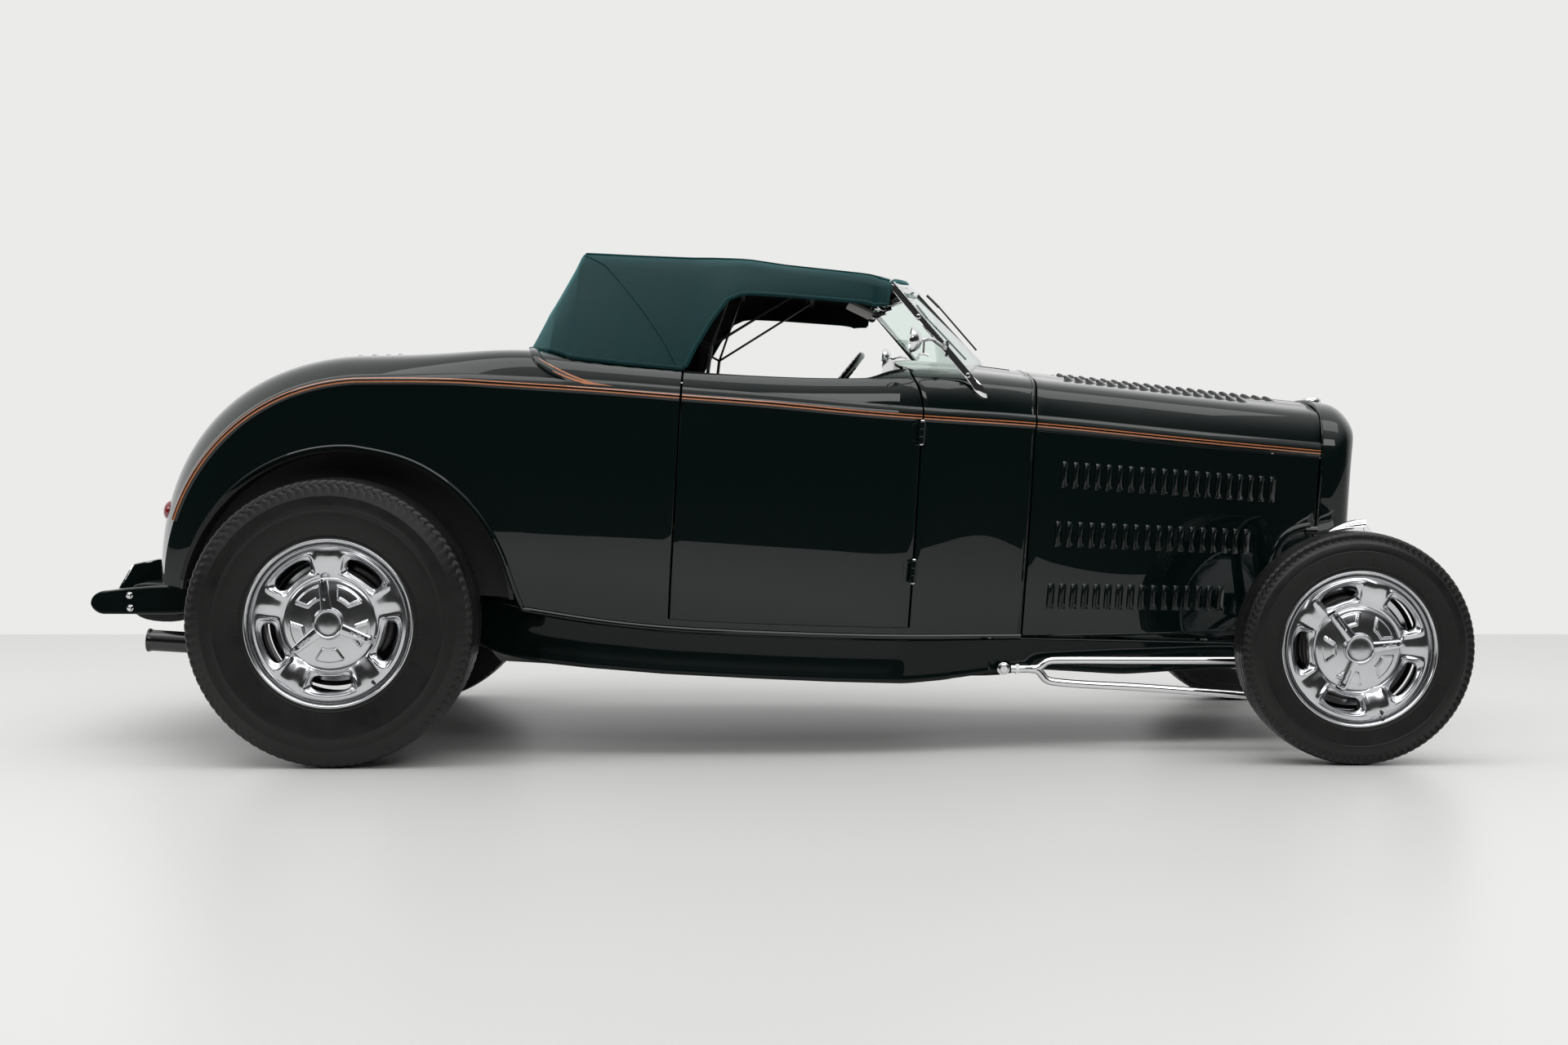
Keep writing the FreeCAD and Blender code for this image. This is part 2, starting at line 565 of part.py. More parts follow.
canopy = solid_loft([top_section(row) for row in TOP])
header_room = bar(POST_HIGH, MID_HIGH, POST_R + SEAT).fuse(Part.makeSphere(POST_R + 2, V(*POST_HIGH)))
header_room = header_room.fuse(Part.makeSphere(POST_R + 2, V(*MID_HIGH)))
canopy = canopy.cut(header_room).cut(mirrored(header_room))
canopy = max(canopy.Solids, key=lambda solid: solid.Volume)
feature("soft_top", canopy, BODY)

# ---------------------------------------------------------------- mirrors, tail lamps, hinges, plate
arm = chain([(-262, 524, 770), (-300, 600, 784), (-350, 648, 786)], 6).cut(screen)
head = Part.makeCylinder(34, 24, V(-368, 652, 786), V(1, 0, 0))
feature("mirrors", pair(head.fuse(max(arm.Solids, key=lambda solid: solid.Volume))), BODY)

LAMP = (-2330, 480, 188)
lamp = Part.makeCylinder(33, 42, V(*LAMP), V(-1, 0.12, 0)).cut(rear_body)
lamp = max(lamp.Solids, key=lambda solid: solid.BoundBox.Center.x * -1)
feature("taillights", pair(lamp), BODY)

PLATE_LOW = V(-2572, 0, -62)
PLATE_LEAN = 47
plate = Part.makeBox(3, dim("plate_wide"), dim("plate_high"), V(0, -dim("plate_wide") / 2, 0))
bracket = box((3, -60, 8), (26, 60, 36))
for y in (-89, 89):
    plate = plate.cut(Part.makeCylinder(dim("plate_hole") / 2, 40, V(-20, y, dim("plate_high") - 14),
                                        V(1, 0, 0)))
plate_turn = FreeCAD.Placement(PLATE_LOW, FreeCAD.Rotation(V(0, 1, 0), PLATE_LEAN))
holder = plate.fuse(bracket).transformed(plate_turn.toMatrix()).cut(members[-1])
feature("licence_plate", holder, BODY)

# ---------------------------------------------------------------- axles, hairpins, steering links
FX = dim("front_axle_x")
FZ = dim("front_tyre_radius")
RX = FX - dim("wheelbase")
RZ = dim("rear_tyre_radius")
KING_Y = dim("kingpin_y")
KING_R = dim("kingpin_radius")
BEAM_Z = FZ - dim("axle_drop")
HAIR_Y = 500
beam = chain([(FX, 0, BEAM_Z), (FX, 380, BEAM_Z), (FX, 450, BEAM_Z + 10), (FX, 525, FZ - 42),
              (FX, KING_Y - 10, FZ)], 22)
boss = Part.makeCylinder(24, 70, V(FX, KING_Y, FZ - 35), V(0, 0, 1))
batwing = box((FX - 46, HAIR_Y - 6, FZ - 178), (FX + 14, HAIR_Y + 6, FZ - 44))
perch = box((FX - 22, 0, BEAM_Z + 15), (FX + 22, 262, 240))
half_axle = beam.fuse([boss, batwing, perch])
half_axle = half_axle.cut(Part.makeCylinder(KING_R + PIN, 90, V(FX, KING_Y, FZ - 45), V(0, 0, 1)))
half_axle = half_axle.cut(Part.makeCylinder(24, 20, V(FX, KING_Y, FZ - 55), V(0, 0, 1)))
axle = half_axle.fuse(mirrored(half_axle))
cross_front = members[0].copy()
cross_front.Placement = BODY
rails_level = pair(rail)
rails_level.Placement = BODY
axle = axle.cut(cross_front).cut(rails_level)
feature("front_axle", max(axle.Solids, key=lambda solid: solid.Volume).removeSplitter())

PIVOT_X = FX - 905
PIVOT_Z = 228
rods = chain([(PIVOT_X, HAIR_Y, PIVOT_Z), (FX - 814, HAIR_Y, 226), (FX - 784, HAIR_Y, 251),
              (FX - 47, HAIR_Y, 250)], 11)
rods = rods.fuse(chain([(FX - 814, HAIR_Y, 226), (FX - 784, HAIR_Y, 194), (FX - 47, HAIR_Y, 140)], 11))
eye = Part.makeCylinder(19, 24, V(PIVOT_X, HAIR_Y - 12, PIVOT_Z), V(0, 1, 0))
bolt = Part.makeCylinder(8, 60, V(PIVOT_X, HAIR_Y - 44, PIVOT_Z), V(0, 1, 0))
hair = rods.fuse([eye, bolt]).cut(rails_level).cut(axle)
hair = max(hair.Solids, key=lambda solid: solid.Volume)
feature("hairpin_rods", pair(hair))

REAR_TUBE = dim("rear_tube_radius")
REAR_END = dim("rear_track") / 2 - 100
tube = Part.makeCylinder(REAR_TUBE, 2 * REAR_END, V(RX, -REAR_END, RZ), V(0, 1, 0))
pumpkin = Part.makeSphere(122, V(RX, 0, RZ)).fuse(Part.makeCylinder(60, 190, V(RX, 0, RZ), V(1, 0, 0)))
shaft = Part.makeCylinder(dim("spindle_radius"), 2 * REAR_END + 130, V(RX, -REAR_END - 65, RZ),
                          V(0, 1, 0))
tie_back = level((-1031, 200, -52))
radius_rod = bar((RX, 300, RZ - 10), tie_back, 15)
rear_axle = tube.fuse([pumpkin, shaft, radius_rod, mirrored(radius_rod)])
floor_level = floor.copy()
floor_level.Placement = BODY
members_level = Part.makeCompound(members)
members_level.Placement = BODY
rear_axle = rear_axle.cut(floor_level).cut(members_level)
feature("rear_axle", rear_axle)

TURN_X = FX - dim("steer_arm")
EAR_Z = 35 + SEAT
LINK_Z = 186
SPINDLE = dim("spindle_radius")
HUB_Y = dim("front_track") / 2
BORE_END = 40


def knuckle_shape():
    """The left knuckle: kingpin between two ears, spindle outboard, steering arm behind."""
    pin = Part.makeCylinder(KING_R, 2 * EAR_Z + 20, V(FX, KING_Y, FZ - EAR_Z - 10), V(0, 0, 1))
    shape = pin
    for low_z in (FZ - EAR_Z - 12, FZ + EAR_Z):
        ear = Part.makeCylinder(22, 12, V(FX, KING_Y, low_z), V(0, 0, 1))
        shape = shape.fuse([ear, box((FX - 22, KING_Y, low_z), (FX + 22, KING_Y + 38, low_z + 12))])
    shape = shape.fuse(box((FX - 22, KING_Y + 27, FZ - EAR_Z - 12), (FX + 22, KING_Y + 38, FZ + EAR_Z + 12)))
    reach = HUB_Y + dim("front_rim_width") / 2 - BORE_END - 1 - (KING_Y + 27)
    spindle = Part.makeCylinder(SPINDLE, reach, V(FX, KING_Y + 27, FZ), V(0, 1, 0))
    low_ear = FZ - EAR_Z - 12
    arm = chain([(FX - 15, KING_Y, low_ear + 4), (FX - 70, KING_Y, low_ear - 20),
                 (TURN_X, KING_Y, LINK_Z + 22)], 9)
    arm_eye = Part.makeCylinder(15, 14, V(TURN_X, KING_Y, LINK_Z + 15), V(0, 0, 1))
    shape = shape.fuse([spindle, arm, arm_eye])
    return shape.cut(Part.makeCylinder(6 + PIN, 40, V(TURN_X, KING_Y, LINK_Z), V(0, 0, 1)))


knuckle = knuckle_shape()
feature("knuckle_left", knuckle)
feature("knuckle_right", mirrored(knuckle))
TIE_R = dim("tie_rod_radius")
link = bar((TURN_X, -KING_Y, LINK_Z), (TURN_X, KING_Y, LINK_Z), TIE_R)
for y in (-KING_Y, KING_Y):
    link = link.fuse([Part.makeSphere(15, V(TURN_X, y, LINK_Z - 1)),
                      Part.makeCylinder(6, 32, V(TURN_X, y, LINK_Z), V(0, 0, 1))])
feature("tie_rod", link)

# ---------------------------------------------------------------- wheels and tyres
# Both ends share the shapes; axis along Y, outer face towards +Y on the left side.


def ring_of(points):
    """A solid turned about the Y axis from an outline of (radius, y) points."""
    face = Part.Face(Part.makePolygon([V(r, y, 0) for r, y in points + points[:1]]))
    return face.revolve(V(0, 0, 0), V(0, 1, 0), 360)


def tyre_shape(radius, width, seat, rim_width):
    """A tyre: tread, rounded shoulders, bulging walls and beads, as one ring."""
    half = width / 2
    bead = rim_width / 2 - 10
    tread = half * 0.72
    outline = [(seat, -bead), (seat + 12, -bead - 4), (radius * 0.6 + seat * 0.4, -half),
               (radius - 34, -half + 3), (radius - 12, -half * 0.86), (radius - 1, -tread),
               (radius, 0)]
    outline += [(r, -y) for r, y in outline[-2::-1]]
    return ring_of(outline)


def wheel_shape(rim_r, rim_width, start, hub_low):
    """A slotted wheel: barrel with flanges, dished face with five windows, hub and knock-off."""
    half = rim_width / 2
    seat = rim_r - 16
    barrel = [(rim_r, -half), (rim_r, -half + 8), (seat, -half + 12), (seat, -half + 40),
              (seat - 16, -half + 52), (seat - 16, half - 40), (seat, half - 28), (seat, half - 12),
              (rim_r, half - 8), (rim_r, half), (rim_r - 8, half), (seat - 8, half - 16),
              (seat - 24, half - 42), (seat - 24, -half + 48), (seat - 8, -half + 36),
              (seat - 8, -half + 4)]
    face = [(seat - 20, half - 44), (seat - 20, half - 32), (rim_r * 0.72, half - 26), (92, half - 34),
            (72, half - 20), (40, half - 16), (40, half), (0.0, half), (0.0, half - BORE_END),
            (SPINDLE + PIN, half - BORE_END), (SPINDLE + PIN, hub_low), (58, hub_low), (58, half - 52),
            (92, half - 50), (rim_r * 0.72, half - 42)]
    shape = ring_of(barrel).fuse(ring_of(face))
    window_in = 96
    window_out = rim_r * 0.80
    for k in range(5):
        turn = math.radians(start + 72 * k)
        cutter = solid_loft([[(window_in, y, -22), (window_out, y, -46), (window_out, y, 46),
                              (window_in, y, 22)] for y in (-120, 120)])
        cutter.rotate(V(0, 0, 0), V(0, 1, 0), -math.degrees(turn))
        shape = shape.cut(cutter)
    for k in range(3):
        wing = solid_loft([[(8, y, -15), (86, y, -11), (86, y, 11), (8, y, 15)]
                           for y in (half - 24, half - 2)])
        wing.rotate(V(0, 0, 0), V(0, 1, 0), -(start + 30 + 120 * k))
        shape = shape.fuse(wing)
    return shape


ENDS = [
    # name, axle x, axle z, track, tyre radius, tyre width, rim radius, rim width, first window
    ("front", FX, FZ, "front_track", "front_tyre_radius", "front_tyre_width", "front_rim_radius",
     "front_rim_width", 38),
    ("rear", RX, RZ, "rear_track", "rear_tyre_radius", "rear_tyre_width", "rear_rim_radius",
     "rear_rim_width", 55),
]
for name, x, z, track, tyre_r, tyre_w, rim_r, rim_w, start in ENDS:
    seat = dim(rim_r) - 16
    tyre = tyre_shape(dim(tyre_r), dim(tyre_w), seat, dim(rim_w))
    inner_end = {"front": KING_Y + 38 + 1 - HUB_Y, "rear": REAR_END + SEAT - dim("rear_track") / 2}
    wheel = wheel_shape(dim(rim_r), dim(rim_w), start, inner_end[name])
    tyre = tyre.cut(wheel)
    for side, sign in (("left", 1), ("right", -1)):
        for kind, shape in (("wheel", wheel), ("tyre", tyre)):
            one = shape if sign > 0 else mirrored(shape)
            place = FreeCAD.Placement(V(x, sign * dim(track) / 2, z), FreeCAD.Rotation())
            feature("%s_%s_%s" % (name, kind, side), one, place)

# ---------------------------------------------------------------- exhaust
PIPE_R = 25
MUFFLER_R = 56
route = [(150, dim("engine_wide") / 2 + PIPE_R + SEAT, 60), (20, 262, -105), (-300, 300, -113),
         (-1075, 330, -113)]
front_pipe = chain(route, PIPE_R)
muffler = Part.makeCylinder(MUFFLER_R, 400, V(-1075, 330, -113), V(-1, 0, 0))
tail_pipe = chain([(-1470, 330, -113), (-1570, 372, -50), (-1700, 385, 38), (-1970, 385, 38),
                   (-2060, 385, -20), (-2150, 420, -115), (-2250, 520, -146), (-2340, 545, -146)],
                  PIPE_R)
tip = Part.makeCylinder(29, 130, V(-2250, 538, -146), V(-1, 0, 0))
tip = tip.cut(Part.makeCylinder(25, 60, V(-2330, 538, -146), V(-1, 0, 0)))
exhaust = front_pipe.fuse([muffler, tail_pipe, tip])
exhaust = exhaust.cut(Part.makeCompound([rail, floor] + members))
exhaust = max(exhaust.Solids, key=lambda solid: solid.Volume)
feature("exhaust_system", pair(exhaust), BODY)

# ---------------------------------------------------------------- headlights and front brackets
LAMP_R = dim("lamp_radius")
LAMP_Y = dim("lamp_y")
LAMP_X = FX + 130
LAMP_Z = 533
bucket = ring_of([(0, -dim("lamp_length")), (30, -dim("lamp_length") + 8), (62, -120), (84, -62),
                  (LAMP_R - 4, -20), (LAMP_R, -16), (LAMP_R, -4), (LAMP_R - 10, 0), (0, 4)])
bucket.rotate(V(0, 0, 0), V(0, 0, 1), -90)
bucket.translate(V(LAMP_X - 4, LAMP_Y, LAMP_Z))
feature("headlights", pair(bucket))
stand = chain([(FX + 30, 318, 262), (FX + 45, 335, 350), (LAMP_X - 60, LAMP_Y, LAMP_Z - 82)], 12)
tower = chain([(FX - 165, 338, 262), (FX - 162, 400, 430), (FX - 152, 440, 519),
               (FX - 120, 452, 585), (FX - 54, 455, 618)], 13)
damper = bar((FX - 52, 458, 612), (FX - 5, 470, 262), 21)
brackets = tower.fuse(damper).cut(rails_level).cut(axle)
brackets = max(brackets.Solids, key=lambda solid: solid.Volume)
stand = stand.cut(rails_level).cut(bucket)
stand = max(stand.Solids, key=lambda solid: solid.Volume)
feature("headlight_brackets", pair(stand))
feature("shock_towers", pair(brackets))

# ---------------------------------------------------------------- checks and export
doc.recompute()
nodes = [item for item in doc.Objects if item is not sheet and not item.InList]
for item in doc.Objects:
    if "Invalid" in item.State or "Error" in item.State:
        raise RuntimeError("failed object: " + item.Label)
for item in nodes:
    if item.Shape.isNull() or not item.Shape.isValid():
        raise RuntimeError("bad shape: " + item.Label)
for item in nodes:
    item.Shape.exportStep("parts/%s.step" % item.Label)
    bounds = item.Shape.BoundBox
    print("%-20s %d solids %9.1f cm3  x %.0f..%.0f  y %.0f..%.0f  z %.0f..%.0f" % (
        item.Label, len(item.Shape.Solids), item.Shape.Volume / 1000, bounds.XMin, bounds.XMax,
        bounds.YMin, bounds.YMax, bounds.ZMin, bounds.ZMax))
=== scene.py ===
# %% [markdown]
# # A street rod roadster, built as a lesson
# The chassis, doors, wheels and steering were modelled first in a CAD tool and packed as one fixed
# frame. This script loads that frame and builds the looks around it: smooth painted panels, polished
# wheels, cloth, leather and glass. Each step says what the real thing is and why it is made this way.

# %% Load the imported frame
import json
import math

import bmesh
import bpy
import numpy as np
from mathutils import Matrix, Vector


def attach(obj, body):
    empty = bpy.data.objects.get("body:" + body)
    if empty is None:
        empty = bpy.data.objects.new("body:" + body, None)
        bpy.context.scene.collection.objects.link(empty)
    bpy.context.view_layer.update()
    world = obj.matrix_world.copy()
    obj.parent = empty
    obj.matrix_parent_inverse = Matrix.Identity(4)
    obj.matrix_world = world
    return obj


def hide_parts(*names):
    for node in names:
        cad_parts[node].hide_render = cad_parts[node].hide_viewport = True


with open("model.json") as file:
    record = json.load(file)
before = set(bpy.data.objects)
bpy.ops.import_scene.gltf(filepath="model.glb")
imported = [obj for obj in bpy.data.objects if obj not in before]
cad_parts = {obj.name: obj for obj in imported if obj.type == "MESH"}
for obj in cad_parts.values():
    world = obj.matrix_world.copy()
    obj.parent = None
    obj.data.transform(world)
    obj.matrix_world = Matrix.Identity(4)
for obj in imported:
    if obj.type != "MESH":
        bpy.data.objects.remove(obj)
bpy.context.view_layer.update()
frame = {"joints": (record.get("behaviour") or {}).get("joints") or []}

# %% [markdown]
# The body of a rod is set nose-down over level wheels. Its tables are easiest to read in the body's
# own level frame: x forward from the hood's rear edge, y to the left, z up from the body's lower edge,
# all in millimetres. The hinge of the right door gives the body's up direction, and the hinge of the
# left hood top gives one known point, so the frame is worked out from the CAD and not typed in.

# %% The body's own frame
joint = {j["name"]: j for j in frame["joints"]}
body_up = Vector(joint["door_right_swing"]["axis"]).normalized()
body_ahead = Vector((body_up.z, 0, -body_up.x))
HOOD_HINGE_HIGH = 743
hood_pin = Vector(joint["hood_left_lift"]["pos_m"])
body_origin = Vector((hood_pin.x, 0, hood_pin.z)) - body_up * HOOD_HINGE_HIGH / 1000
BODY_AXES = np.array([body_ahead, (0, 1, 0), body_up])
BODY_ORIGIN = np.array(body_origin)


def level(points):
    """Points of the body's frame, in millimetres, as points of the shared frame, in metres."""
    return np.asarray(points, float) / 1000 @ BODY_AXES + BODY_ORIGIN


def level_way(direction):
    """A direction of the body's frame, turned into the shared frame."""
    return np.asarray(direction, float) @ BODY_AXES


print("body origin", BODY_ORIGIN.round(4), "rake", round(math.degrees(math.atan2(body_up.x, body_up.z)), 2))

# %% [markdown]
# ## Camera
# A car is usually shown from far off with a long lens, so that its wheels stay round and its
# proportions stay true. This one stands about six metres off, level with the belt line and square to
# the side.

# %% The camera
LENS, CAMERA_PLACE, CAMERA_TURN = 49.33, (-0.0132, -6.3772, 0.8559), (90 - 2.207, -0.052, -0.657)
camera = bpy.data.objects.new("side_camera", bpy.data.cameras.new("side_camera"))
bpy.context.scene.collection.objects.link(camera)
camera.data.sensor_width, camera.data.lens = 36, LENS
camera.data.clip_start, camera.data.clip_end = 0.1, 200
camera.location = CAMERA_PLACE
camera.rotation_euler = [math.radians(angle) for angle in CAMERA_TURN]
bpy.context.scene.camera = camera
print("camera", camera.location[:])

# %% [markdown]
# ## Floor
# Dark gloss paint is only as good as what it reflects, so the floor is plain and pale, with a finish
# that is neither matt nor polished. It ends where it should meet the wall.

# %% Floor
FLOOR_HALF, FLOOR_NEAR, FLOOR_FAR = 30, -3.6, 3.05
floor_mesh = bpy.data.meshes.new("floor")
floor_mesh.from_pydata([(-FLOOR_HALF, FLOOR_NEAR, 0), (FLOOR_HALF, FLOOR_NEAR, 0), (FLOOR_HALF, FLOOR_FAR, 0),
                        (-FLOOR_HALF, FLOOR_FAR, 0)], [], [(0, 1, 2, 3)])
floor = bpy.data.objects.new("floor", floor_mesh)
bpy.context.scene.collection.objects.link(floor)


def node_in(tree, kind, **values):
    """Adds a node, and sets its attributes and its inputs by name."""
    node = tree.nodes.new(kind)
    for name, value in values.items():
        if hasattr(node, name):
            setattr(node, name, value)
        else:
            node.inputs[name.replace("_", " ")].default_value = value
    return node


def wire(tree, *links):
    """Joins sockets: each link is a node, the name of its output, another node and its input."""
    for source, out, target, into in links:
        tree.links.new(source.outputs[out], target.inputs[into])


floor_finish = bpy.data.materials.new("floor_finish")
floor_finish.use_nodes = True
floor_tree = floor_finish.node_tree
floor_noise = node_in(floor_tree, "ShaderNodeTexNoise", Scale=1.5, Detail=5.0)
floor_ramp = node_in(floor_tree, "ShaderNodeMapRange", To_Min=0.32, To_Max=0.42)
floor_shader = floor_tree.nodes["Principled BSDF"]
floor_shader.inputs["Base Color"].default_value = (0.74, 0.74, 0.725, 1)
wire(floor_tree, (floor_noise, "Fac", floor_ramp, "Value"), (floor_ramp, "Result", floor_shader, "Roughness"))
floor_mesh.materials.append(floor_finish)
print("floor", len(floor_mesh.polygons), "face")

# %% [markdown]
# ## Lights and surroundings
# The room is a sky of soft light: bright overhead and behind, and dim on the near side low down, so
# that the flanks stay deep green and only the shoulders and beads catch light. The background seen by
# the camera, and through glass, is a plain pale grey.

# %% Surroundings
world = bpy.data.worlds.new("studio")
bpy.context.scene.world = world
world.use_nodes = True
sky = world.node_tree
sky_light = sky.nodes["Background"]
sky_light.inputs["Color"].default_value = (1.0, 1.0, 1.0, 1)
way, split = node_in(sky, "ShaderNodeTexCoord"), node_in(sky, "ShaderNodeSeparateXYZ")
high = node_in(sky, "ShaderNodeMapRange", interpolation_type="SMOOTHSTEP", From_Min=0.30, From_Max=0.85,
               To_Min=0.03, To_Max=0.9)
far_side = node_in(sky, "ShaderNodeMapRange", interpolation_type="SMOOTHSTEP", From_Min=-0.25, From_Max=0.35,
                   To_Min=0.0, To_Max=0.85)
either, seen = (node_in(sky, "ShaderNodeMath", operation="MAXIMUM") for _ in range(2))
plain = node_in(sky, "ShaderNodeBackground", Color=(0.83, 0.83, 0.815, 1), Strength=1.0)
path, choose = node_in(sky, "ShaderNodeLightPath"), node_in(sky, "ShaderNodeMixShader")
wire(sky, (way, "Generated", split, "Vector"), (split, "Z", high, "Value"), (split, "Y", far_side, "Value"),
     (high, "Result", either, 0), (far_side, "Result", either, 1), (either, "Value", sky_light, "Strength"),
     (path, "Is Camera Ray", seen, 0), (path, "Is Transmission Ray", seen, 1), (seen, "Value", choose, "Fac"),
     (sky_light, "Background", choose, 1), (plain, "Background", choose, 2),
     (choose, "Shader", sky.nodes["World Output"], "Surface"))
bpy.context.scene.view_settings.view_transform = "Standard"


def soft_box(name, place, aim, size, power):
    """A rectangular studio light at a place, turned to a point."""
    light = bpy.data.lights.new(name, "AREA")
    light.shape, light.size, light.size_y, light.energy = "RECTANGLE", size[0], size[1], power
    lamp = bpy.data.objects.new(name, light)
    bpy.context.scene.collection.objects.link(lamp)
    lamp.location = place
    lamp.rotation_euler = (Vector(aim) - Vector(place)).to_track_quat("-Z", "Y").to_euler()


soft_box("light_overhead", (0, -1.5, 5.2), (0, 0, 0), (9.0, 3.0), 150)
soft_box("light_near", (1.5, -6.5, 4.2), (0, 0, 0.5), (5.0, 1.2), 60)
soft_box("light_rear", (-6.5, -3.0, 3.6), (0, 0, 0.6), (2.0, 2.0), 40)

# %% [markdown]
# ## Finishes
# Real surfaces are never one flat colour. Each effect that several finishes share is a shader group
# with named inputs: a fine grain for bumps, a slow change of tone, and a weave. The groups give out
# only values and normals; the shader itself stays in each finish.

# %% The shared groups
def shader_group(name, inputs, outputs):
    """An empty node group with named sockets, given as (name, kind, default) and (name, kind)."""
    tree = bpy.data.node_groups.new(name, "ShaderNodeTree")
    for label, kind, default in inputs:
        socket = tree.interface.new_socket(label, in_out="INPUT", socket_type="NodeSocket" + kind)
        socket.default_value = default
    for label, kind in outputs:
        tree.interface.new_socket(label, in_out="OUTPUT", socket_type="NodeSocket" + kind)
    return tree, tree.nodes.new("NodeGroupInput"), tree.nodes.new("NodeGroupOutput")


def make_grain():
    """Fine noise as a normal: orange peel, cast metal and rubber, by its size and height."""
    tree, given, out = shader_group("fine_grain", (("Scale", "Float", 400.0), ("Strength", "Float", 0.1),
                                                   ("Distance", "Float", 0.0004)), (("Normal", "Vector"),))
    where = node_in(tree, "ShaderNodeTexCoord")
    noise = node_in(tree, "ShaderNodeTexNoise", Detail=3.0)
    bump = node_in(tree, "ShaderNodeBump")
    wire(tree, (where, "Object", noise, "Vector"), (given, "Scale", noise, "Scale"),
         (noise, "Fac", bump, "Height"), (given, "Strength", bump, "Strength"),
         (given, "Distance", bump, "Distance"), (bump, "Normal", out, "Normal"))
    return tree


def make_tone():
    """A slow change between two colours, and between two roughness values, over the surface."""
    tree, given, out = shader_group(
        "slow_tone",
        (("Scale", "Float", 6.0), ("Dark", "Color", (0, 0, 0, 1)), ("Light", "Color", (1, 1, 1, 1)),
         ("Smooth", "Float", 0.1), ("Rough", "Float", 0.2)),
        (("Color", "Color"), ("Roughness", "Float")))
    where = node_in(tree, "ShaderNodeTexCoord")
    noise = node_in(tree, "ShaderNodeTexNoise", Detail=6.0, Roughness=0.6)
    mix = node_in(tree, "ShaderNodeMix", data_type="RGBA")
    spread = node_in(tree, "ShaderNodeMapRange", From_Min=0.3, From_Max=0.7)
    wire(tree, (where, "Object", noise, "Vector"), (given, "Scale", noise, "Scale"), (noise, "Fac", mix, "Factor"),
         (given, "Dark", mix, "A"), (given, "Light", mix, "B"), (noise, "Fac", spread, "Value"),
         (given, "Smooth", spread, "To Min"), (given, "Rough", spread, "To Max"),
         (mix, "Result", out, "Color"), (spread, "Result", out, "Roughness"))
    return tree


def make_weave():
    """Two crossed sets of threads as a height and as a mask of the gaps, without any UV map."""
    tree, given, out = shader_group("weave", (("Threads", "Float", 900.0), ("Strength", "Float", 0.3)),
                                    (("Normal", "Vector"), ("Gaps", "Float")))
    where = node_in(tree, "ShaderNodeTexCoord")
    cross = node_in(tree, "ShaderNodeMath", operation="MULTIPLY")
    for turn, axis in enumerate(("X", "Y")):
        tilt = node_in(tree, "ShaderNodeMapping", Rotation=(0.6, 0.5, 0.785 * (1 + 2 * turn)))
        wave = node_in(tree, "ShaderNodeTexWave", bands_direction=axis, wave_profile="SIN", Distortion=0.6)
        wire(tree, (where, "Object", tilt, "Vector"), (tilt, "Vector", wave, "Vector"),
             (given, "Threads", wave, "Scale"), (wave, "Fac", cross, turn))
    bump = node_in(tree, "ShaderNodeBump", Distance=0.0006)
    wire(tree, (given, "Strength", bump, "Strength"), (cross, "Value", bump, "Height"),
         (bump, "Normal", out, "Normal"), (cross, "Value", out, "Gaps"))
    return tree


GRAIN, TONE, WEAVE = make_grain(), make_tone(), make_weave()
print("groups", GRAIN.name, TONE.name, WEAVE.name)

# %% [markdown]
# A finish is then a shader with plain constants on its own sockets, a tone group for colour and
# roughness, and a grain or weave group for the normal. One helper makes them all, so that each finish
# is one line of numbers that says how it differs from the rest.

# %% The finishes
def finish_of(name, dark, light, smooth, rough, tone=6.0, grain=(400.0, 0.1), weave=None, **sockets):
    """A procedural material: two colours, two roughness values, a grain or a weave, and constants."""
    material = bpy.data.materials.new(name)
    material.use_nodes = True
    tree = material.node_tree
    shader = tree.nodes["Principled BSDF"]
    for socket, value in sockets.items():
        shader.inputs[socket.replace("_", " ")].default_value = value
    tones = node_in(tree, "ShaderNodeGroup", node_tree=TONE, Scale=tone, Dark=(*dark, 1), Light=(*light, 1),
                    Smooth=smooth, Rough=rough)
    bumps = node_in(tree, "ShaderNodeGroup", node_tree=WEAVE if weave else GRAIN)
    for socket, value in zip(("Threads" if weave else "Scale", "Strength"), weave or grain):
        bumps.inputs[socket].default_value = value
    wire(tree, (tones, "Color", shader, "Base Color"), (tones, "Roughness", shader, "Roughness"),
         (bumps, "Normal", shader, "Normal"))
    return material


paint = finish_of("deep_green_paint", (0.0006, 0.0042, 0.0038), (0.0011, 0.0066, 0.0058), 0.30, 0.36,
                  tone=900.0, grain=(40.0, 0.002), Specular_IOR_Level=0.05, Coat_Weight=1.0,
                  Coat_Roughness=0.012, Coat_IOR=1.5)
chassis_paint = finish_of("chassis_paint", (0.0008, 0.0040, 0.0036), (0.0014, 0.0062, 0.0054), 0.34, 0.42,
                          tone=40.0, grain=(90.0, 0.03), Specular_IOR_Level=0.05, Coat_Weight=0.45,
                          Coat_Roughness=0.03)
chrome = finish_of("chrome_plate", (0.78, 0.79, 0.80), (0.86, 0.86, 0.87), 0.02, 0.07, tone=12.0,
                   grain=(30.0, 0.01), Metallic=1.0)
polished = finish_of("polished_alloy", (0.60, 0.61, 0.63), (0.72, 0.73, 0.75), 0.12, 0.19, tone=18.0,
                     grain=(220.0, 0.03), Metallic=1.0)
rubber = finish_of("tyre_rubber", (0.0045, 0.0045, 0.0045), (0.010, 0.0095, 0.009), 0.34, 0.50, tone=14.0,
                   grain=(900.0, 0.14), Specular_IOR_Level=0.40)
copper_line = finish_of("copper_line", (0.52, 0.165, 0.060), (0.66, 0.235, 0.095), 0.25, 0.35, tone=60.0,
                        grain=(200.0, 0.02), Coat_Weight=1.0, Coat_Roughness=0.02)
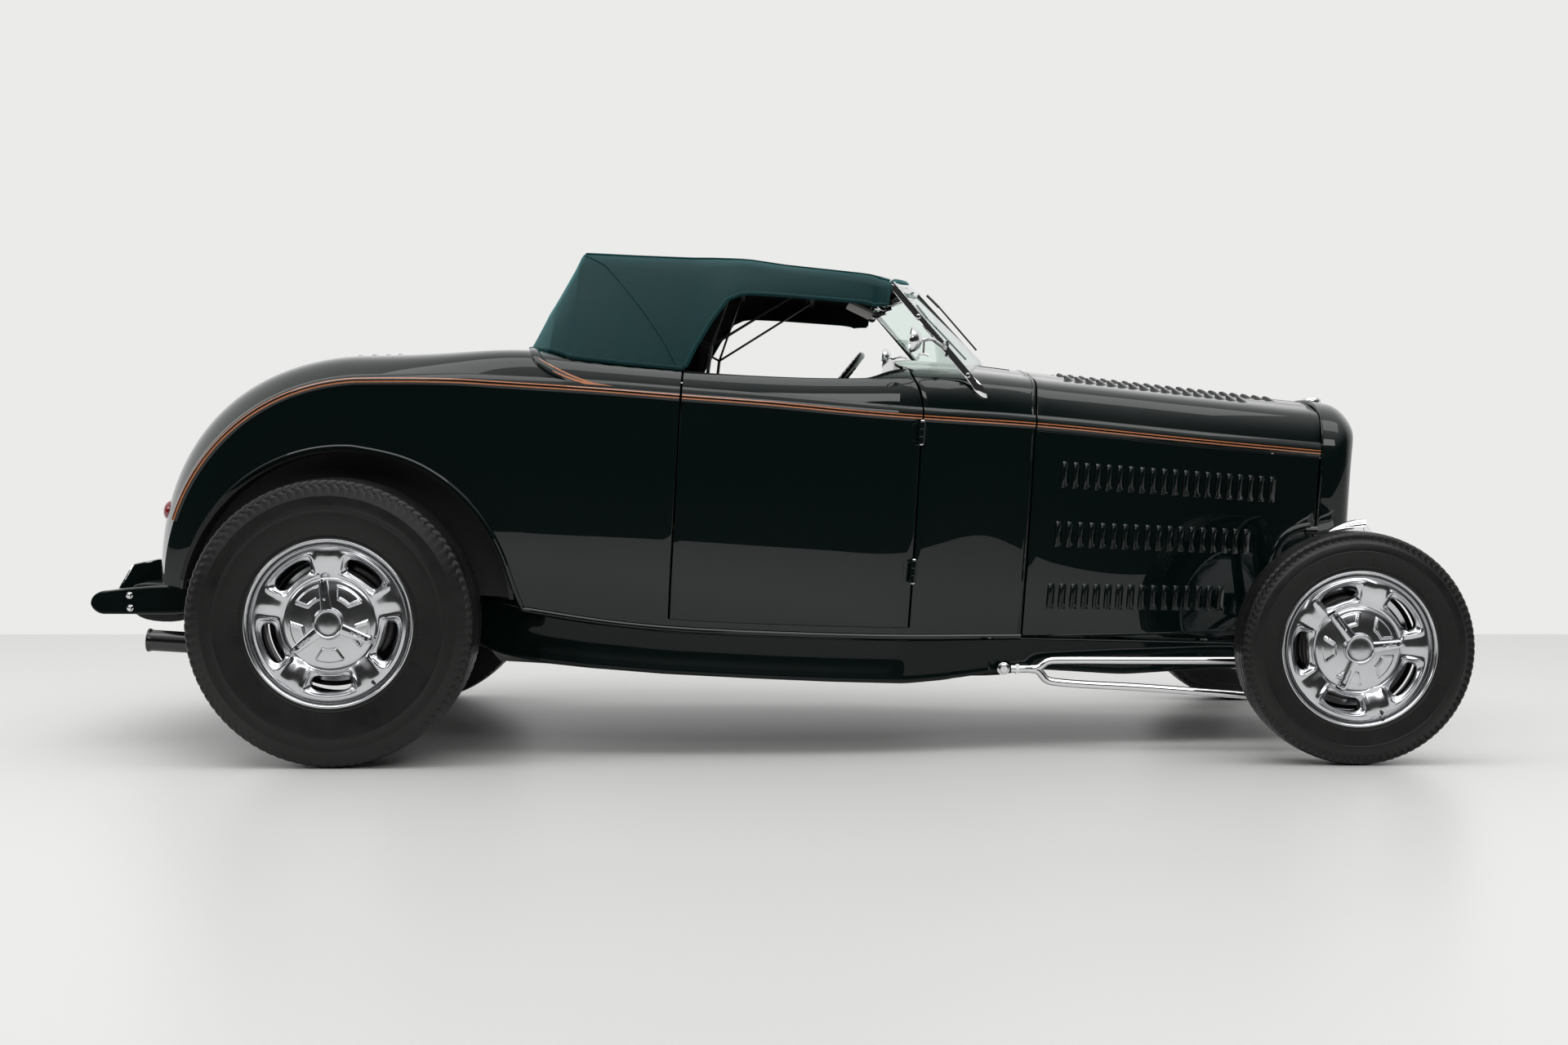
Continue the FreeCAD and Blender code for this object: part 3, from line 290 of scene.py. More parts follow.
cloth = finish_of("top_cloth", (0.0030, 0.027, 0.029), (0.0048, 0.036, 0.039), 0.46, 0.58, tone=7.0,
                  weave=(620.0, 0.22), Sheen_Weight=0.60, Sheen_Roughness=0.34,
                  Sheen_Tint=(0.08, 0.66, 0.68, 1.0), Specular_IOR_Level=0.16)
lining = finish_of("top_lining", (0.006, 0.0065, 0.0065), (0.011, 0.011, 0.011), 0.8, 0.95, tone=9.0,
                   weave=(500.0, 0.35), Sheen_Weight=0.1)
leather = finish_of("seat_leather", (0.040, 0.030, 0.022), (0.062, 0.047, 0.035), 0.36, 0.52, tone=16.0,
                    grain=(520.0, 0.35), Coat_Weight=0.15, Coat_Roughness=0.35)
carpet = finish_of("floor_carpet", (0.006, 0.009, 0.0085), (0.014, 0.018, 0.017), 0.9, 1.0, tone=200.0,
                   grain=(700.0, 0.9), Sheen_Weight=0.3)
black_gloss = finish_of("black_gloss", (0.006, 0.006, 0.006), (0.010, 0.010, 0.010), 0.12, 0.22, tone=10.0,
                        grain=(120.0, 0.02), Coat_Weight=0.6, Coat_Roughness=0.05)
black_satin = finish_of("black_satin", (0.010, 0.010, 0.010), (0.020, 0.020, 0.020), 0.42, 0.58, tone=10.0,
                        grain=(500.0, 0.15))
iron = finish_of("engine_iron", (0.030, 0.045, 0.042), (0.050, 0.070, 0.066), 0.40, 0.55, tone=20.0,
                 grain=(160.0, 0.5), Metallic=0.3)
steel = finish_of("exhaust_steel", (0.035, 0.033, 0.032), (0.085, 0.080, 0.076), 0.28, 0.48, tone=15.0,
                  grain=(200.0, 0.12), Metallic=0.9)
stainless = finish_of("stainless_bar", (0.50, 0.50, 0.50), (0.62, 0.62, 0.62), 0.14, 0.26, tone=30.0,
                      grain=(300.0, 0.05), Metallic=1.0)
red_lens = finish_of("red_lens", (0.20, 0.004, 0.006), (0.30, 0.008, 0.010), 0.06, 0.12, tone=40.0,
                     grain=(150.0, 0.2), Coat_Weight=1.0, Coat_Roughness=0.02, Specular_IOR_Level=0.7)
amber_lens = finish_of("amber_lens", (0.60, 0.24, 0.10), (0.70, 0.32, 0.16), 0.08, 0.14, tone=40.0,
                       grain=(150.0, 0.2), Coat_Weight=1.0, Coat_Roughness=0.02)
white_mark = finish_of("dial_face", (0.60, 0.58, 0.50), (0.72, 0.70, 0.62), 0.3, 0.4, tone=30.0)


def glass_of(name, colour):
    """Clear tinted glass: a plain transmission shader whose roughness is hardly above nothing."""
    return finish_of(name, colour, [min(1, c * 1.03) for c in colour], 0.0, 0.01, tone=3.0,
                     grain=(20.0, 0.0), Transmission_Weight=1.0, IOR=1.45)


screen_glass = glass_of("screen_glass", (0.80, 0.93, 0.88))
lamp_glass = glass_of("lamp_glass", (0.95, 0.97, 0.97))
print("finishes", len(bpy.data.materials))

# %% [markdown]
# ## Meshes
# A car is nearly the same on both sides. Its pieces are made for the left side, in the body's own frame,
# and these helpers carry them over to either side.

# %% Sides and directions
def mirrored(points):
    """The same points on the other side of the car, in either frame."""
    return np.asarray(points) * (1, -1, 1)


def on_side(points, side):
    """Points made for the left side in the body's frame, in the shared frame on a side of the car."""
    return level(np.asarray(points) * (1, side, 1))


def unit(vectors):
    """Vectors of length one, along the last axis."""
    vectors = np.asarray(vectors, float)
    return vectors / np.maximum(np.linalg.norm(vectors, axis=-1, keepdims=True), 1e-12)


# %% [markdown]
# Nearly everything on a car is one of four things: a sheet that follows a grid of points, a tube along
# a path, a turned shape, or a plate with an outline. The maker below collects those, welds what meets,
# and turns the lot into one object that rides on its CAD body. Sharp edges are found by their angle.

# %% The mesh maker
WELD_NEAR, NO_LENGTH = 0.00004, 1e-6


class Shape:
    """Collects grids, tubes and turned shapes, in metres of the shared frame, as one mesh."""

    def __init__(self):
        self.points, self.faces, self.finishes, self.count = [], [], [], 0

    def grid(self, points, finish=0, around=False, closed=False, flip=False):
        """A sheet of rows by columns; around joins the last column to the first, closed the rows."""
        points = np.asarray(points, float)
        rows, columns = points.shape[:2]
        index = np.arange(rows * columns).reshape(rows, columns) + self.count
        if around:
            index = np.hstack([index, index[:, :1]])
        if closed:
            index = np.vstack([index, index[:1]])
        quads = np.stack([index[:-1, :-1], index[:-1, 1:], index[1:, 1:], index[1:, :-1]], -1).reshape(-1, 4)
        if flip:
            quads = quads[:, ::-1]
        self.points.append(points.reshape(-1, 3))
        self.faces.extend(quads.tolist())
        self.finishes.extend([finish] * len(quads))
        self.count += rows * columns
        return self

    def fill(self, points, finish=0, flip=False):
        """One flat face with many corners."""
        points = np.asarray(points, float)
        face = list(range(self.count, self.count + len(points)))
        self.points.append(points)
        self.faces.append(face[::-1] if flip else face)
        self.finishes.append(finish)
        self.count += len(points)
        return self

    def rim(self, front, back, finish=0):
        """Strips that join the four edges of one sheet to those of another."""
        for edge in (0, -1, (slice(None), 0), (slice(None), -1)):
            self.grid(np.stack([front[edge], back[edge]]), finish)
        return self

    def tube(self, path, radius, sides=12, finish=0, flat=(1, 1), up=(0, 0, 1), loop=False, outline=None):
        """A bar along a path: round, flat, or with an outline; the radius may change from point to point."""
        path = np.asarray(path, float)
        along = unit(np.roll(path, -1, 0) - np.roll(path, 1, 0) if loop else np.gradient(path, axis=0))
        side = unit(np.cross(along, np.broadcast_to(np.asarray(up, float), along.shape)))
        lift = np.cross(side, along)
        angle = np.linspace(0, 2 * np.pi, sides, endpoint=False)
        radius = np.broadcast_to(np.asarray(radius, float), len(path))[:, None, None]
        if outline is None:
            outline = np.stack([np.cos(angle), np.sin(angle)], -1) * flat
        outline = np.asarray(outline, float)
        ring = outline[None, :, :1] * side[:, None] + outline[None, :, 1:] * lift[:, None]
        self.grid(path[:, None] + ring * radius, finish, around=True, closed=loop)
        if not loop:
            self.fill(path[0] + ring[0] * radius[0], finish)
            self.fill(path[-1] + ring[-1] * radius[-1], finish, flip=True)
        return self

    def turned(self, profile, centre, axis, sides=64, finish=0, up=(0, 0, 1)):
        """A turned shape: profile rows are (distance along the axis, radius), in metres."""
        axis = unit(axis)
        side = unit(np.cross(axis, up)) if abs(np.dot(axis, up)) < 0.99 else np.array((1.0, 0, 0))
        lift = np.cross(side, axis)
        angle = np.linspace(0, 2 * np.pi, sides, endpoint=False)
        ring = np.cos(angle)[:, None] * side + np.sin(angle)[:, None] * lift
        profile = np.asarray(profile, float)
        points = np.asarray(centre, float) + profile[:, 0, None, None] * axis + profile[:, 1, None, None] * ring
        return self.grid(points, finish, around=True)

    def plate(self, outline, way, thick, finish=0):
        """A flat plate: its outline's points, and the direction and depth it is cut in."""
        outline = np.asarray(outline, float)
        other = outline + np.asarray(way, float) * thick
        self.grid(np.stack([outline, other]), finish, around=True)
        return self.fill(outline, finish, flip=True).fill(other, finish)

    def made(self, name, body, *finishes, sharp=40, subdivide=0, bevel=0, stands_for=(), slot=None):
        """The mesh as one object with its finishes, welded, smooth but for sharp angles, on its body."""
        mesh = bpy.data.meshes.new(name)
        mesh.from_pydata(np.vstack(self.points).tolist(), [], self.faces)
        mesh.polygons.foreach_set("material_index", self.finishes)
        for finish in finishes:
            mesh.materials.append(finish)
        work = bmesh.new()
        work.from_mesh(mesh)
        bmesh.ops.remove_doubles(work, verts=work.verts, dist=WELD_NEAR)
        bmesh.ops.dissolve_degenerate(work, edges=work.edges, dist=NO_LENGTH)
        bmesh.ops.recalc_face_normals(work, faces=work.faces)
        work.to_mesh(mesh)
        work.free()
        mesh.shade_smooth()
        mesh.set_sharp_from_angle(angle=math.radians(sharp))
        piece = bpy.data.objects.new(name, mesh)
        bpy.context.scene.collection.objects.link(piece)
        if subdivide:
            rounder = piece.modifiers.new("rounder", "SUBSURF")
            rounder.levels = rounder.render_levels = subdivide
        if bevel:
            softer = piece.modifiers.new("softer", "BEVEL")
            softer.width, softer.segments, softer.limit_method = bevel, 2, "ANGLE"
            softer.angle_limit = math.radians(sharp)
        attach(piece, body)
        if stands_for:
            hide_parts(*stands_for)
        print(name, len(mesh.polygons), "faces on", body)
        return piece


print("mesh maker ready")

# %% [markdown]
# ## The body's surface
# Pressed steel has long, even curves. All the outer panels are cut from one surface, so that light
# runs on from the hood over the door to the tail. The tables are sections across the body: ahead of
# the wheel arch they stand upright, and round the tail they fan out from the arch's centre. A natural
# cubic runs through each column of the tables, which keeps the curvature even between the sections.

# %% Sections of the body
SECTIONS = np.array([  # x, foot y z, flank y, belt y z, edge y z, crown z
    (838, 262, 15, 284, 288, 556, 250, 655, 703), (377, 378, 5, 392, 392, 570, 350, 672, 724),
    (0, 455, -4, 474, 472, 583, 430, 688, 744), (-322, 572, -14, 604, 600, 583, 560, 690, 756),
    (-520, 596, -20, 644, 642, 586, 606, 675, 745), (-720, 610, -24, 668, 668, 593, 634, 666, 740),
    (-970, 620, -25, 688, 688, 597, 655, 665, 735), (-1180, 627, -14, 694, 697, 601, 660, 672, 725),
    (-1290, 630, -3, 694, 699, 602, 655, 680, 712), (-1400, 632, 8, 694, 700, 603, 650, 684, 706),
    (-1620, 636, 20, 690, 696, 600, 630, 664, 692), (-1828, 636, 30, 684, 690, 588, 600, 648, 671)], float)
TAIL = np.array([  # angle, arch y, belt r y, edge r y, crown r
    (0, 684, 626, 690, 686, 600, 709), (18, 676, 603, 682, 668, 588, 704), (36, 662, 576, 652, 642, 556, 697),
    (54, 643, 548, 620, 602, 528, 668), (72, 622, 522, 596, 563, 498, 624), (86, 602, 506, 580, 537, 486, 586)],
    float)
ARCH_X, ARCH_Z, ARCH_R = -1828, -38, 450
FLANK_Z, NOSE_X, TAIL_STRETCH = 300, 838, 10.6
TAIL_START = NOSE_X - ARCH_X
TAIL_FULL = 10
SHOULDER = ((0.6, 0.66), (0.3, 0.92), (0, 1))  # share of the edge's distance out, and of the rise to the crown


def natural(knots, values):
    """A natural cubic through values at rising knots: a function of the knot's quantity."""
    knots, values = np.asarray(knots, float), np.asarray(values, float)
    values = values.reshape(len(knots), -1)
    gap, rise = np.diff(knots), np.diff(values, axis=0)
    matrix, right = np.eye(len(knots)), np.zeros_like(values)
    for i in range(1, len(knots) - 1):
        matrix[i, i - 1:i + 2] = gap[i - 1], 2 * (gap[i - 1] + gap[i]), gap[i]
        right[i] = 6 * (rise[i] / gap[i] - rise[i - 1] / gap[i - 1])
    bend = np.linalg.solve(matrix, right)

    def at(where):
        where = np.asarray(where, float)
        flat = where.reshape(-1)
        i = np.clip(np.searchsorted(knots, flat) - 1, 0, len(gap) - 1)
        h, a, b = gap[i][:, None], (knots[i + 1] - flat)[:, None], (flat - knots[i])[:, None]
        found = (bend[i] * a ** 3 + bend[i + 1] * b ** 3) / (6 * h)
        found = found + (values[i] / h - bend[i] * h / 6) * a + (values[i + 1] / h - bend[i + 1] * h / 6) * b
        return found.reshape(*where.shape, -1) if values.shape[1] > 1 else found.reshape(where.shape)

    return at


side_table = natural(-SECTIONS[:, 0], SECTIONS[:, 1:])
tail_table = natural(TAIL[:, 0], TAIL[:, 1:])


def rows_at(u):
    """The tables at a place: the section's row, the angle round the tail and the tail's row."""
    angle = np.maximum(u - TAIL_START, 0) / TAIL_STRETCH
    return side_table(np.minimum(u, TAIL_START) - NOSE_X), angle, tail_table(angle)


# %% [markdown]
# Below the belt the side swells from the foot to the flank and draws in again to the belt. A cubic
# through four heights draws it. Round the tail a point is placed by its angle and its radius about the
# arch's centre instead, so that the sections fan out like spokes.

# %% The side from foot to belt
def reach_of(points):
    """Distances from the start of a line of points."""
    return np.concatenate([[0], np.cumsum(np.linalg.norm(np.diff(points, axis=0), axis=-1))])


def hermite(t, start, end, leave, arrive):
    """The cubic between two points with given slopes at its ends, for t from 0 to 1."""
    return ((1 + 2 * t) * (1 - t) ** 2 * start + t * (1 - t) ** 2 * leave
            + t * t * (3 - 2 * t) * end + t * t * (t - 1) * arrive)


def round_arch(angle, radius, y):
    """A point at an angle and radius round the arch's centre: 0 is up and 90 is toward the tail."""
    turn = np.radians(angle)
    return np.stack(np.broadcast_arrays(ARCH_X - radius * np.sin(turn), y, ARCH_Z + radius * np.cos(turn)), -1)


def flank(x, z):
    """How far out the side stands at a place ahead of the tail, below the belt."""
    row = side_table(-np.asarray(x, float))
    foot_y, foot_z, flank_y, belt_y, belt_z = (row[..., i] for i in range(5))
    knots = np.stack([foot_z, 110 + 0.6 * foot_z, np.full_like(foot_z, FLANK_Z), belt_z], -1)
    values = np.stack([foot_y, 0.35 * foot_y + 0.65 * flank_y, flank_y, belt_y], -1)
    slope = np.diff(values) / np.diff(knots)
    gap = np.diff(knots)
    inner = (slope[..., :-1] * gap[..., 1:] + slope[..., 1:] * gap[..., :-1]) / (gap[..., 1:] + gap[..., :-1])
    slopes = np.concatenate([1.25 * slope[..., :1] - 0.25 * inner[..., :1], inner,
                             1.5 * slope[..., -1:] - 0.5 * inner[..., -1:]], -1)
    found = np.zeros(np.broadcast(foot_z, z).shape)
    for i in range(3):
        h = gap[..., i]
        piece = hermite((z - knots[..., i]) / h, values[..., i], values[..., i + 1],
                        h * slopes[..., i], h * slopes[..., i + 1])
        found = np.where((z >= knots[..., i]) | (i == 0), piece, found)
    return found


# %% [markdown]
# The sheet below the belt ends at the sill or at the opening of the wheel arch. Two numbers name a place
# on it: u runs back from the hood's front and on round the tail, and v rises from the foot to the belt.

# %% The skin below the belt
# The opening of the wheel arch, from its front foot over the top; behind the top it is a plain circle.
ARCH_FRONT = [(-1361, 4.2), (-1374, 32), (-1388, 66)] + [
    (ARCH_X + ARCH_R * math.sin(math.radians(a)), ARCH_Z + ARCH_R * math.cos(math.radians(a)))
    for a in (69, 55, 40, 20, 0)]
arch_reach = reach_of(ARCH_FRONT)
arch_front = natural(arch_reach, ARCH_FRONT)
ARCH_FOOT_U = NOSE_X + 1361


def belt_at(u):
    """The belt line: u runs back from the hood's front, and round the tail by the angle."""
    u = np.asarray(u, float)
    row, angle, fan = rows_at(u)
    ahead = np.stack([NOSE_X - u, row[..., 3], row[..., 4]], -1)
    behind = round_arch(angle, fan[..., 1], fan[..., 2])
    return np.where((u <= TAIL_START)[..., None], ahead, behind)


def lower(u, v):
    """The side below the belt: v is 0 at the foot or the arch and 1 at the belt."""
    u, v = np.broadcast_arrays(np.asarray(u, float), np.asarray(v, float))
    belt, (row, angle, fan) = belt_at(u), rows_at(u)
    share = np.clip((u - ARCH_FOOT_U) / (TAIL_START - ARCH_FOOT_U), 0, 1)
    arch = arch_front(share * arch_reach[-1])
    over = u > ARCH_FOOT_U
    start_x, start_z = np.where(over, arch[..., 0], NOSE_X - u), np.where(over, arch[..., 1], row[..., 1])
    x, z = start_x + v * (belt[..., 0] - start_x), start_z + v * (belt[..., 2] - start_z)
    ahead = np.stack([x, flank(np.clip(x, ARCH_X, NOSE_X), z), z], -1)
    out = fan[..., 0] + v * (fan[..., 2] - fan[..., 0]) + TAIL_FULL * v * (1 - v)
    behind = round_arch(angle, ARCH_R + v * (fan[..., 1] - ARCH_R), out)
    return np.where((u <= TAIL_START)[..., None], ahead, behind)


# %% [markdown]
# Above the belt the skin turns over the shoulder and runs in to the crown on the middle line. Each
# section is a curve through five points, spaced so that it does not overshoot where the points stand
# close together.

# %% The skin above the belt
def top_knots(u):
    """Five points of a section's top: belt, edge, two on the shoulder and the crown."""
    u = np.asarray(u, float)
    x, (row, angle, fan) = NOSE_X - u, rows_at(u)
    edge_y, edge_z, crown = (row[..., k] for k in (5, 6, 7))
    ahead = [np.stack([x, row[..., 3], row[..., 4]], -1), np.stack([x, edge_y, edge_z], -1)]
    ahead += [np.stack([x, k * edge_y, edge_z + f * (crown - edge_z)], -1) for k, f in SHOULDER]
    edge_r, edge_out, crown_r = (fan[..., k] for k in (3, 4, 5))
    behind = [round_arch(angle, fan[..., 1], fan[..., 2]), round_arch(angle, edge_r, edge_out)]
    behind += [round_arch(angle, edge_r + f * (crown_r - edge_r), k * edge_out) for k, f in SHOULDER]
    back = (u > TAIL_START)[..., None]
    return [np.where(back, b, a) for a, b in zip(ahead, behind)]


def upper(u, t):
    """The top above the belt: t is 0 at the belt, 1 at the edge of the shoulder and 4 at the crown."""
    u, t = np.broadcast_arrays(np.asarray(u, float), np.asarray(t, float))
    knots = top_knots(u)
    below = knots[0] - (knots[1] - knots[0]) * 0.35 + (lower(u, 0.9) - knots[0]) * 0.5
    beyond = knots[3] * (1, -1, 1)
    knots = [below] + knots + [beyond]
    spans = [np.maximum(np.linalg.norm(b - a, axis=-1, keepdims=True), 1) ** 0.5 for a, b in zip(knots, knots[1:])]
    found = np.zeros(u.shape + (3,))
    for i in range(4):
        p0, p1, p2, p3 = knots[i:i + 4]
        d0, d1, d2 = spans[i:i + 3]
        m1 = (p1 - p0) / d0 - (p2 - p0) / (d0 + d1) + (p2 - p1) / d1
        m2 = (p2 - p1) / d1 - (p3 - p1) / (d1 + d2) + (p3 - p2) / d2
        part = hermite((t - i)[..., None], p1, p2, m1 * d1, m2 * d1)
        inside = ((t >= i) & ((t < i + 1) | (i == 3)))[..., None]
        found = np.where(inside, part, found)
    return found


def way_out(surface, a, b, step):
    """The unit normal of a surface function, by small steps each way."""
    along = surface(a + step[0], b) - surface(a - step[0], b)
    up = surface(a, b + step[1]) - surface(a, b - step[1])
    return unit(np.cross(along, up))


print("crown points", upper(np.array([0, 838, 2000, 2666, 3200]), 4).round(0).tolist())

# %% [markdown]
# A pressed panel never ends in a knife edge: its rim is rolled over and turned in. That small round
# is what draws the bright line beside every shut gap, so each panel gets it on the sides that end in a
# gap. All panels are made for the left side and mirrored for the right.

# %% Panels with rolled rims
def outward(points):
    """Unit normals of a grid of points, turned away from the inside of the car."""
    normal = unit(np.cross(np.gradient(points, axis=0), np.gradient(points, axis=1)))
    inside = np.stack([np.maximum(points[..., 0], ARCH_X), 0 * points[..., 1], 0 * points[..., 2] + 150], -1)
    facing = np.sign(np.sum(normal * (points - inside), -1, keepdims=True))
    return normal * np.where(facing == 0, 1, facing)


GAP, ROLL = 5, 1.8
HALF_GAP = GAP / 2 + ROLL


def rim_of(edge, normal, beyond, roll=ROLL, depth=14):
    """Rows that roll a panel's rim over and turn it in, from its edge outward and then inward."""
    rows = [edge + beyond * roll * math.sin(a) - normal * roll * (1 - math.cos(a)) for a in (0.0, 0.52, 1.05, 1.57)]
    return np.stack(rows + [edge + beyond * roll - normal * depth])


def panel(shape, points, side, rims="", finish=0, roll=ROLL, depth=14):
    """A sheet of the body with rolled rims on the sides named: first or last row or column."""
    normal = outward(points)
    shape.grid(on_side(points, side), finish)
    whole = slice(None)
    places = {"r": (0, 1), "R": (-1, -2), "c": ((whole, 0), (whole, 1)), "C": ((whole, -1), (whole, -2))}
    for last, before in (places[key] for key in rims):
        edge, out = points[last], normal[last]
        beyond = edge - points[before]
        beyond = unit(beyond - out * np.sum(beyond * out, -1, keepdims=True))
        shape.grid(on_side(rim_of(edge, out, beyond, roll, depth), side), finish)
    return normal


def both(make):
    """Makes something for the left side and for the right."""
    for side in (1, -1):
        make(side)


def steps(start, end, size):
    """Even steps from start to end, no longer than size."""
    return np.linspace(start, end, max(2, int(math.ceil(abs(end - start) / size)) + 1))


DOOR_FRONT, DOOR_REAR, OPENING_REAR, LID_FRONT, LID_HALF, LID_LOW = -322, -970, -1290, -1530, 400, 130
END_ANGLE = 84.4
END_U = TAIL_START + END_ANGLE * TAIL_STRETCH


def halved(shape, low, high, is_low):
    """Where a condition stops being true between two values, found by halving the span."""
    low, high = np.full(shape, float(low)), np.full(shape, float(high))
    for _ in range(22):
        middle = (low + high) / 2
        keep = is_low(middle)
        low, high = np.where(keep, middle, low), np.where(keep, high, middle)
    return (low + high) / 2


def turn_of(u, y):
    """The t at which a section of the top stands a given distance from the middle."""
    return halved(np.broadcast(u, y).shape, 0.9, 4.0, lambda t: upper(u, t)[..., 1] > y)


def tail_u_at(z, y):
    """How far back round the tail the top comes down to a height, at a distance from the middle."""
    return halved(np.shape(y), TAIL_START + 20, END_U + 40, lambda u: upper(u, turn_of(u, y))[..., 2] > z)


print("lid ends at u", float(tail_u_at(LID_LOW, np.array([0.0]))[0].round(1)))

# %% [markdown]
# ## Quarter panels and tail
# The rear body is one long pressing: the quarter behind each door, the bowed arch over the wheel, the
# tulip panel behind the seat, and the tail that the deck lid is cut from. It is made as several sheets
# that share their edges, welded into one mesh, with the rims rolled where a door or the lid begins.

# %% Rear body
rear = Shape()
low_rows = np.linspace(0, 1, 24)
u_quarter = np.concatenate([steps(NOSE_X - DOOR_REAR + HALF_GAP, ARCH_FOOT_U, 24),
                            steps(ARCH_FOOT_U, TAIL_START, 12)[1:], steps(TAIL_START, END_U, 16)[1:]])
u_open = steps(NOSE_X - DOOR_REAR + HALF_GAP, NOSE_X - OPENING_REAR, 20)
u_tulip = steps(NOSE_X - OPENING_REAR, NOSE_X - LID_FRONT - HALF_GAP, 16)
u_strip = steps(NOSE_X - LID_FRONT - HALF_GAP, END_U, 16)
first_rows = np.linspace(0, 1, 10)
CROWN_T = np.linspace(1, 4, 34)


def rear_side(side):
    panel(rear, lower(u_quarter[None], low_rows[:, None]), side, "c")
    panel(rear, upper(u_open[None], first_rows[:, None]), side, "c")
    tulip_t = np.concatenate([first_rows, CROWN_T[1:]])
    panel(rear, upper(u_tulip[None], tulip_t[:, None]), side)
    lid_t = turn_of(u_strip, LID_HALF + HALF_GAP)
    strip_t = np.vstack([np.tile(first_rows[:, None], len(u_strip)),
                         1 + np.linspace(0, 1, 12)[1:, None] * (lid_t - 1)])
    panel(rear, upper(u_strip[None], strip_t), side, "R")
    y_rows = np.linspace(LID_HALF + HALF_GAP, 0, 16)
    start = tail_u_at(LID_LOW - HALF_GAP, y_rows)
    u_low = start[:, None] + np.linspace(0, 1, 8)[None] * (END_U - start[:, None])
    panel(rear, upper(u_low, turn_of(u_low, y_rows[:, None])), side, "c")


both(rear_side)
front_edge = upper(NOSE_X - LID_FRONT - HALF_GAP, CROWN_T)
front_rim = rim_of(front_edge, unit(front_edge - (LID_FRONT, 0, 100)) * (0, 0.3, 1), np.array((-1.0, 0, 0)))
rear_edge = upper(NOSE_X - OPENING_REAR, CROWN_T)
rear_rim = np.stack([rear_edge, rear_edge + (6, 0, -3), rear_edge + (9, 0, -14), rear_edge + (6, 0, -60)])
for side in (1, -1):
    rear.grid(on_side(front_rim, side)).grid(on_side(rear_rim, side))

# The sill strip under the doors, and the bead that is rolled along the foot and over the arch.
u_sill = steps(NOSE_X - DOOR_FRONT - HALF_GAP, NOSE_X - DOOR_REAR + HALF_GAP, 24)
SILL, FOOT_BEAD_R = 25, 0.007


def knee_height(u):
    """The height of the side from its foot to the belt, ahead of the wheel arch."""
    return belt_at(u)[..., 2] - side_table(u - NOSE_X)[..., 1]


def sill_rows(u, high):
    """Lower sheet from the foot up to a height in millimetres above it."""
    return lower(u[None], np.linspace(0, 1, 4)[:, None] * high / knee_height(u))


def foot_bead(shape, u, side):
    """A rolled bead along the foot of the body, with the flange that turns in under it."""
    foot = lower(u, 0.004)
    out = way_out(lower, u, 0.03, (1.5, 0.01))
    shape.tube(on_side(foot + out * np.sign(out[:, 1:2]), side), FOOT_BEAD_R, 10, up=(0, 1, 0.01))
    shape.grid(on_side(np.stack([foot, foot - (0, 10, 0), foot - (0, 34, 0)]), side))


def rear_foot(side):
    panel(rear, sill_rows(u_sill, SILL - HALF_GAP + GAP), side, "R")
    foot_bead(rear, np.concatenate([u_sill, u_quarter[1:]]), side)


both(rear_foot)
print("rear body", rear.count, "points")

# %% [markdown]
# A raised bead runs along the belt of the whole car, with twin copper lines painted on its lower half.
# The bead is a low half-round that follows the skin, so each panel carries its own stretch of it and
# the lines break cleanly at the gaps. The skin is measured by millimetres above or below the belt.

# %% Belt bead and twin lines
BEAD_LOW, BEAD_HIGH, BEAD_RISE, BEAD_END = -12, 30, 6.5, 178
BEAD_MIDDLE, BEAD_HALF = (BEAD_LOW + BEAD_HIGH) / 2, (BEAD_HIGH - BEAD_LOW) / 2
LINES = ((-4.6, -1.4), (2.4, 5.6))


def skin_at(u, d):
    """A point of the skin, d millimetres above the belt, or below it where d is negative."""
    u, d = np.broadcast_arrays(np.asarray(u, float), np.asarray(d, float))
    belt = belt_at(u)
    low_reach = np.linalg.norm(belt - lower(u, 0.9), axis=-1) * 10
    knots = top_knots(u)
    high_reach = np.linalg.norm(knots[1] - knots[0], axis=-1)
    below, above = lower(u, 1 + np.minimum(d, 0) / low_reach), upper(u, np.maximum(d, 0) / high_reach)
    return np.where((d < 0)[..., None], below, above)


def skin_out(u, d):
    """The outward normal of the skin measured by its distance from the belt."""
    out = way_out(skin_at, u, d, (2, 3))
    return out * np.sign(out[..., 1:2] + 1e-9)


def bead_skin(u, d):
    """The belt bead's surface over the skin."""
    s = (d - BEAD_MIDDLE) / BEAD_HALF
    rise = BEAD_RISE * np.clip(1 - s * s, 0, 1) ** 0.6 - 0.9 * (np.abs(s) > 0.985)
    return skin_at(u, d) + skin_out(u, d) * rise[..., None]


def belt_bead(shape, u, side, line_finish=1):
    """The bead and its twin lines over a stretch of the belt."""
    s = np.array([-1, -0.97, -0.9, -0.78, -0.6, -0.4, -0.15, 0.15, 0.4, 0.6, 0.78, 0.9, 0.97, 1])
    rows = bead_skin(u[None], (BEAD_MIDDLE + s * BEAD_HALF)[:, None])
    shape.grid(on_side(rows, side))
    for end in (0, -1):
        shape.fill(on_side(rows[:, end], side), flip=(end == 0) == (side > 0))
    for low, high in LINES:
        band = np.linspace(low, high, 3)[:, None]
        line = bead_skin(u[None], band) + skin_out(u[None], band) * 0.25
        shape.grid(on_side(line, side), line_finish)


def rear_belt(side):
    u = np.concatenate([u_open, u_strip[u_strip > u_open[-1]][1:]])
    belt_bead(rear, u[belt_at(u)[:, 2] > BEAD_END], side)


both(rear_belt)

# %% [markdown]
# Behind the door the belt divides: one bead goes straight on round the tail, and the other sweeps up
# over the tulip panel and across behind the seat. The copper line follows it as a small flourish.

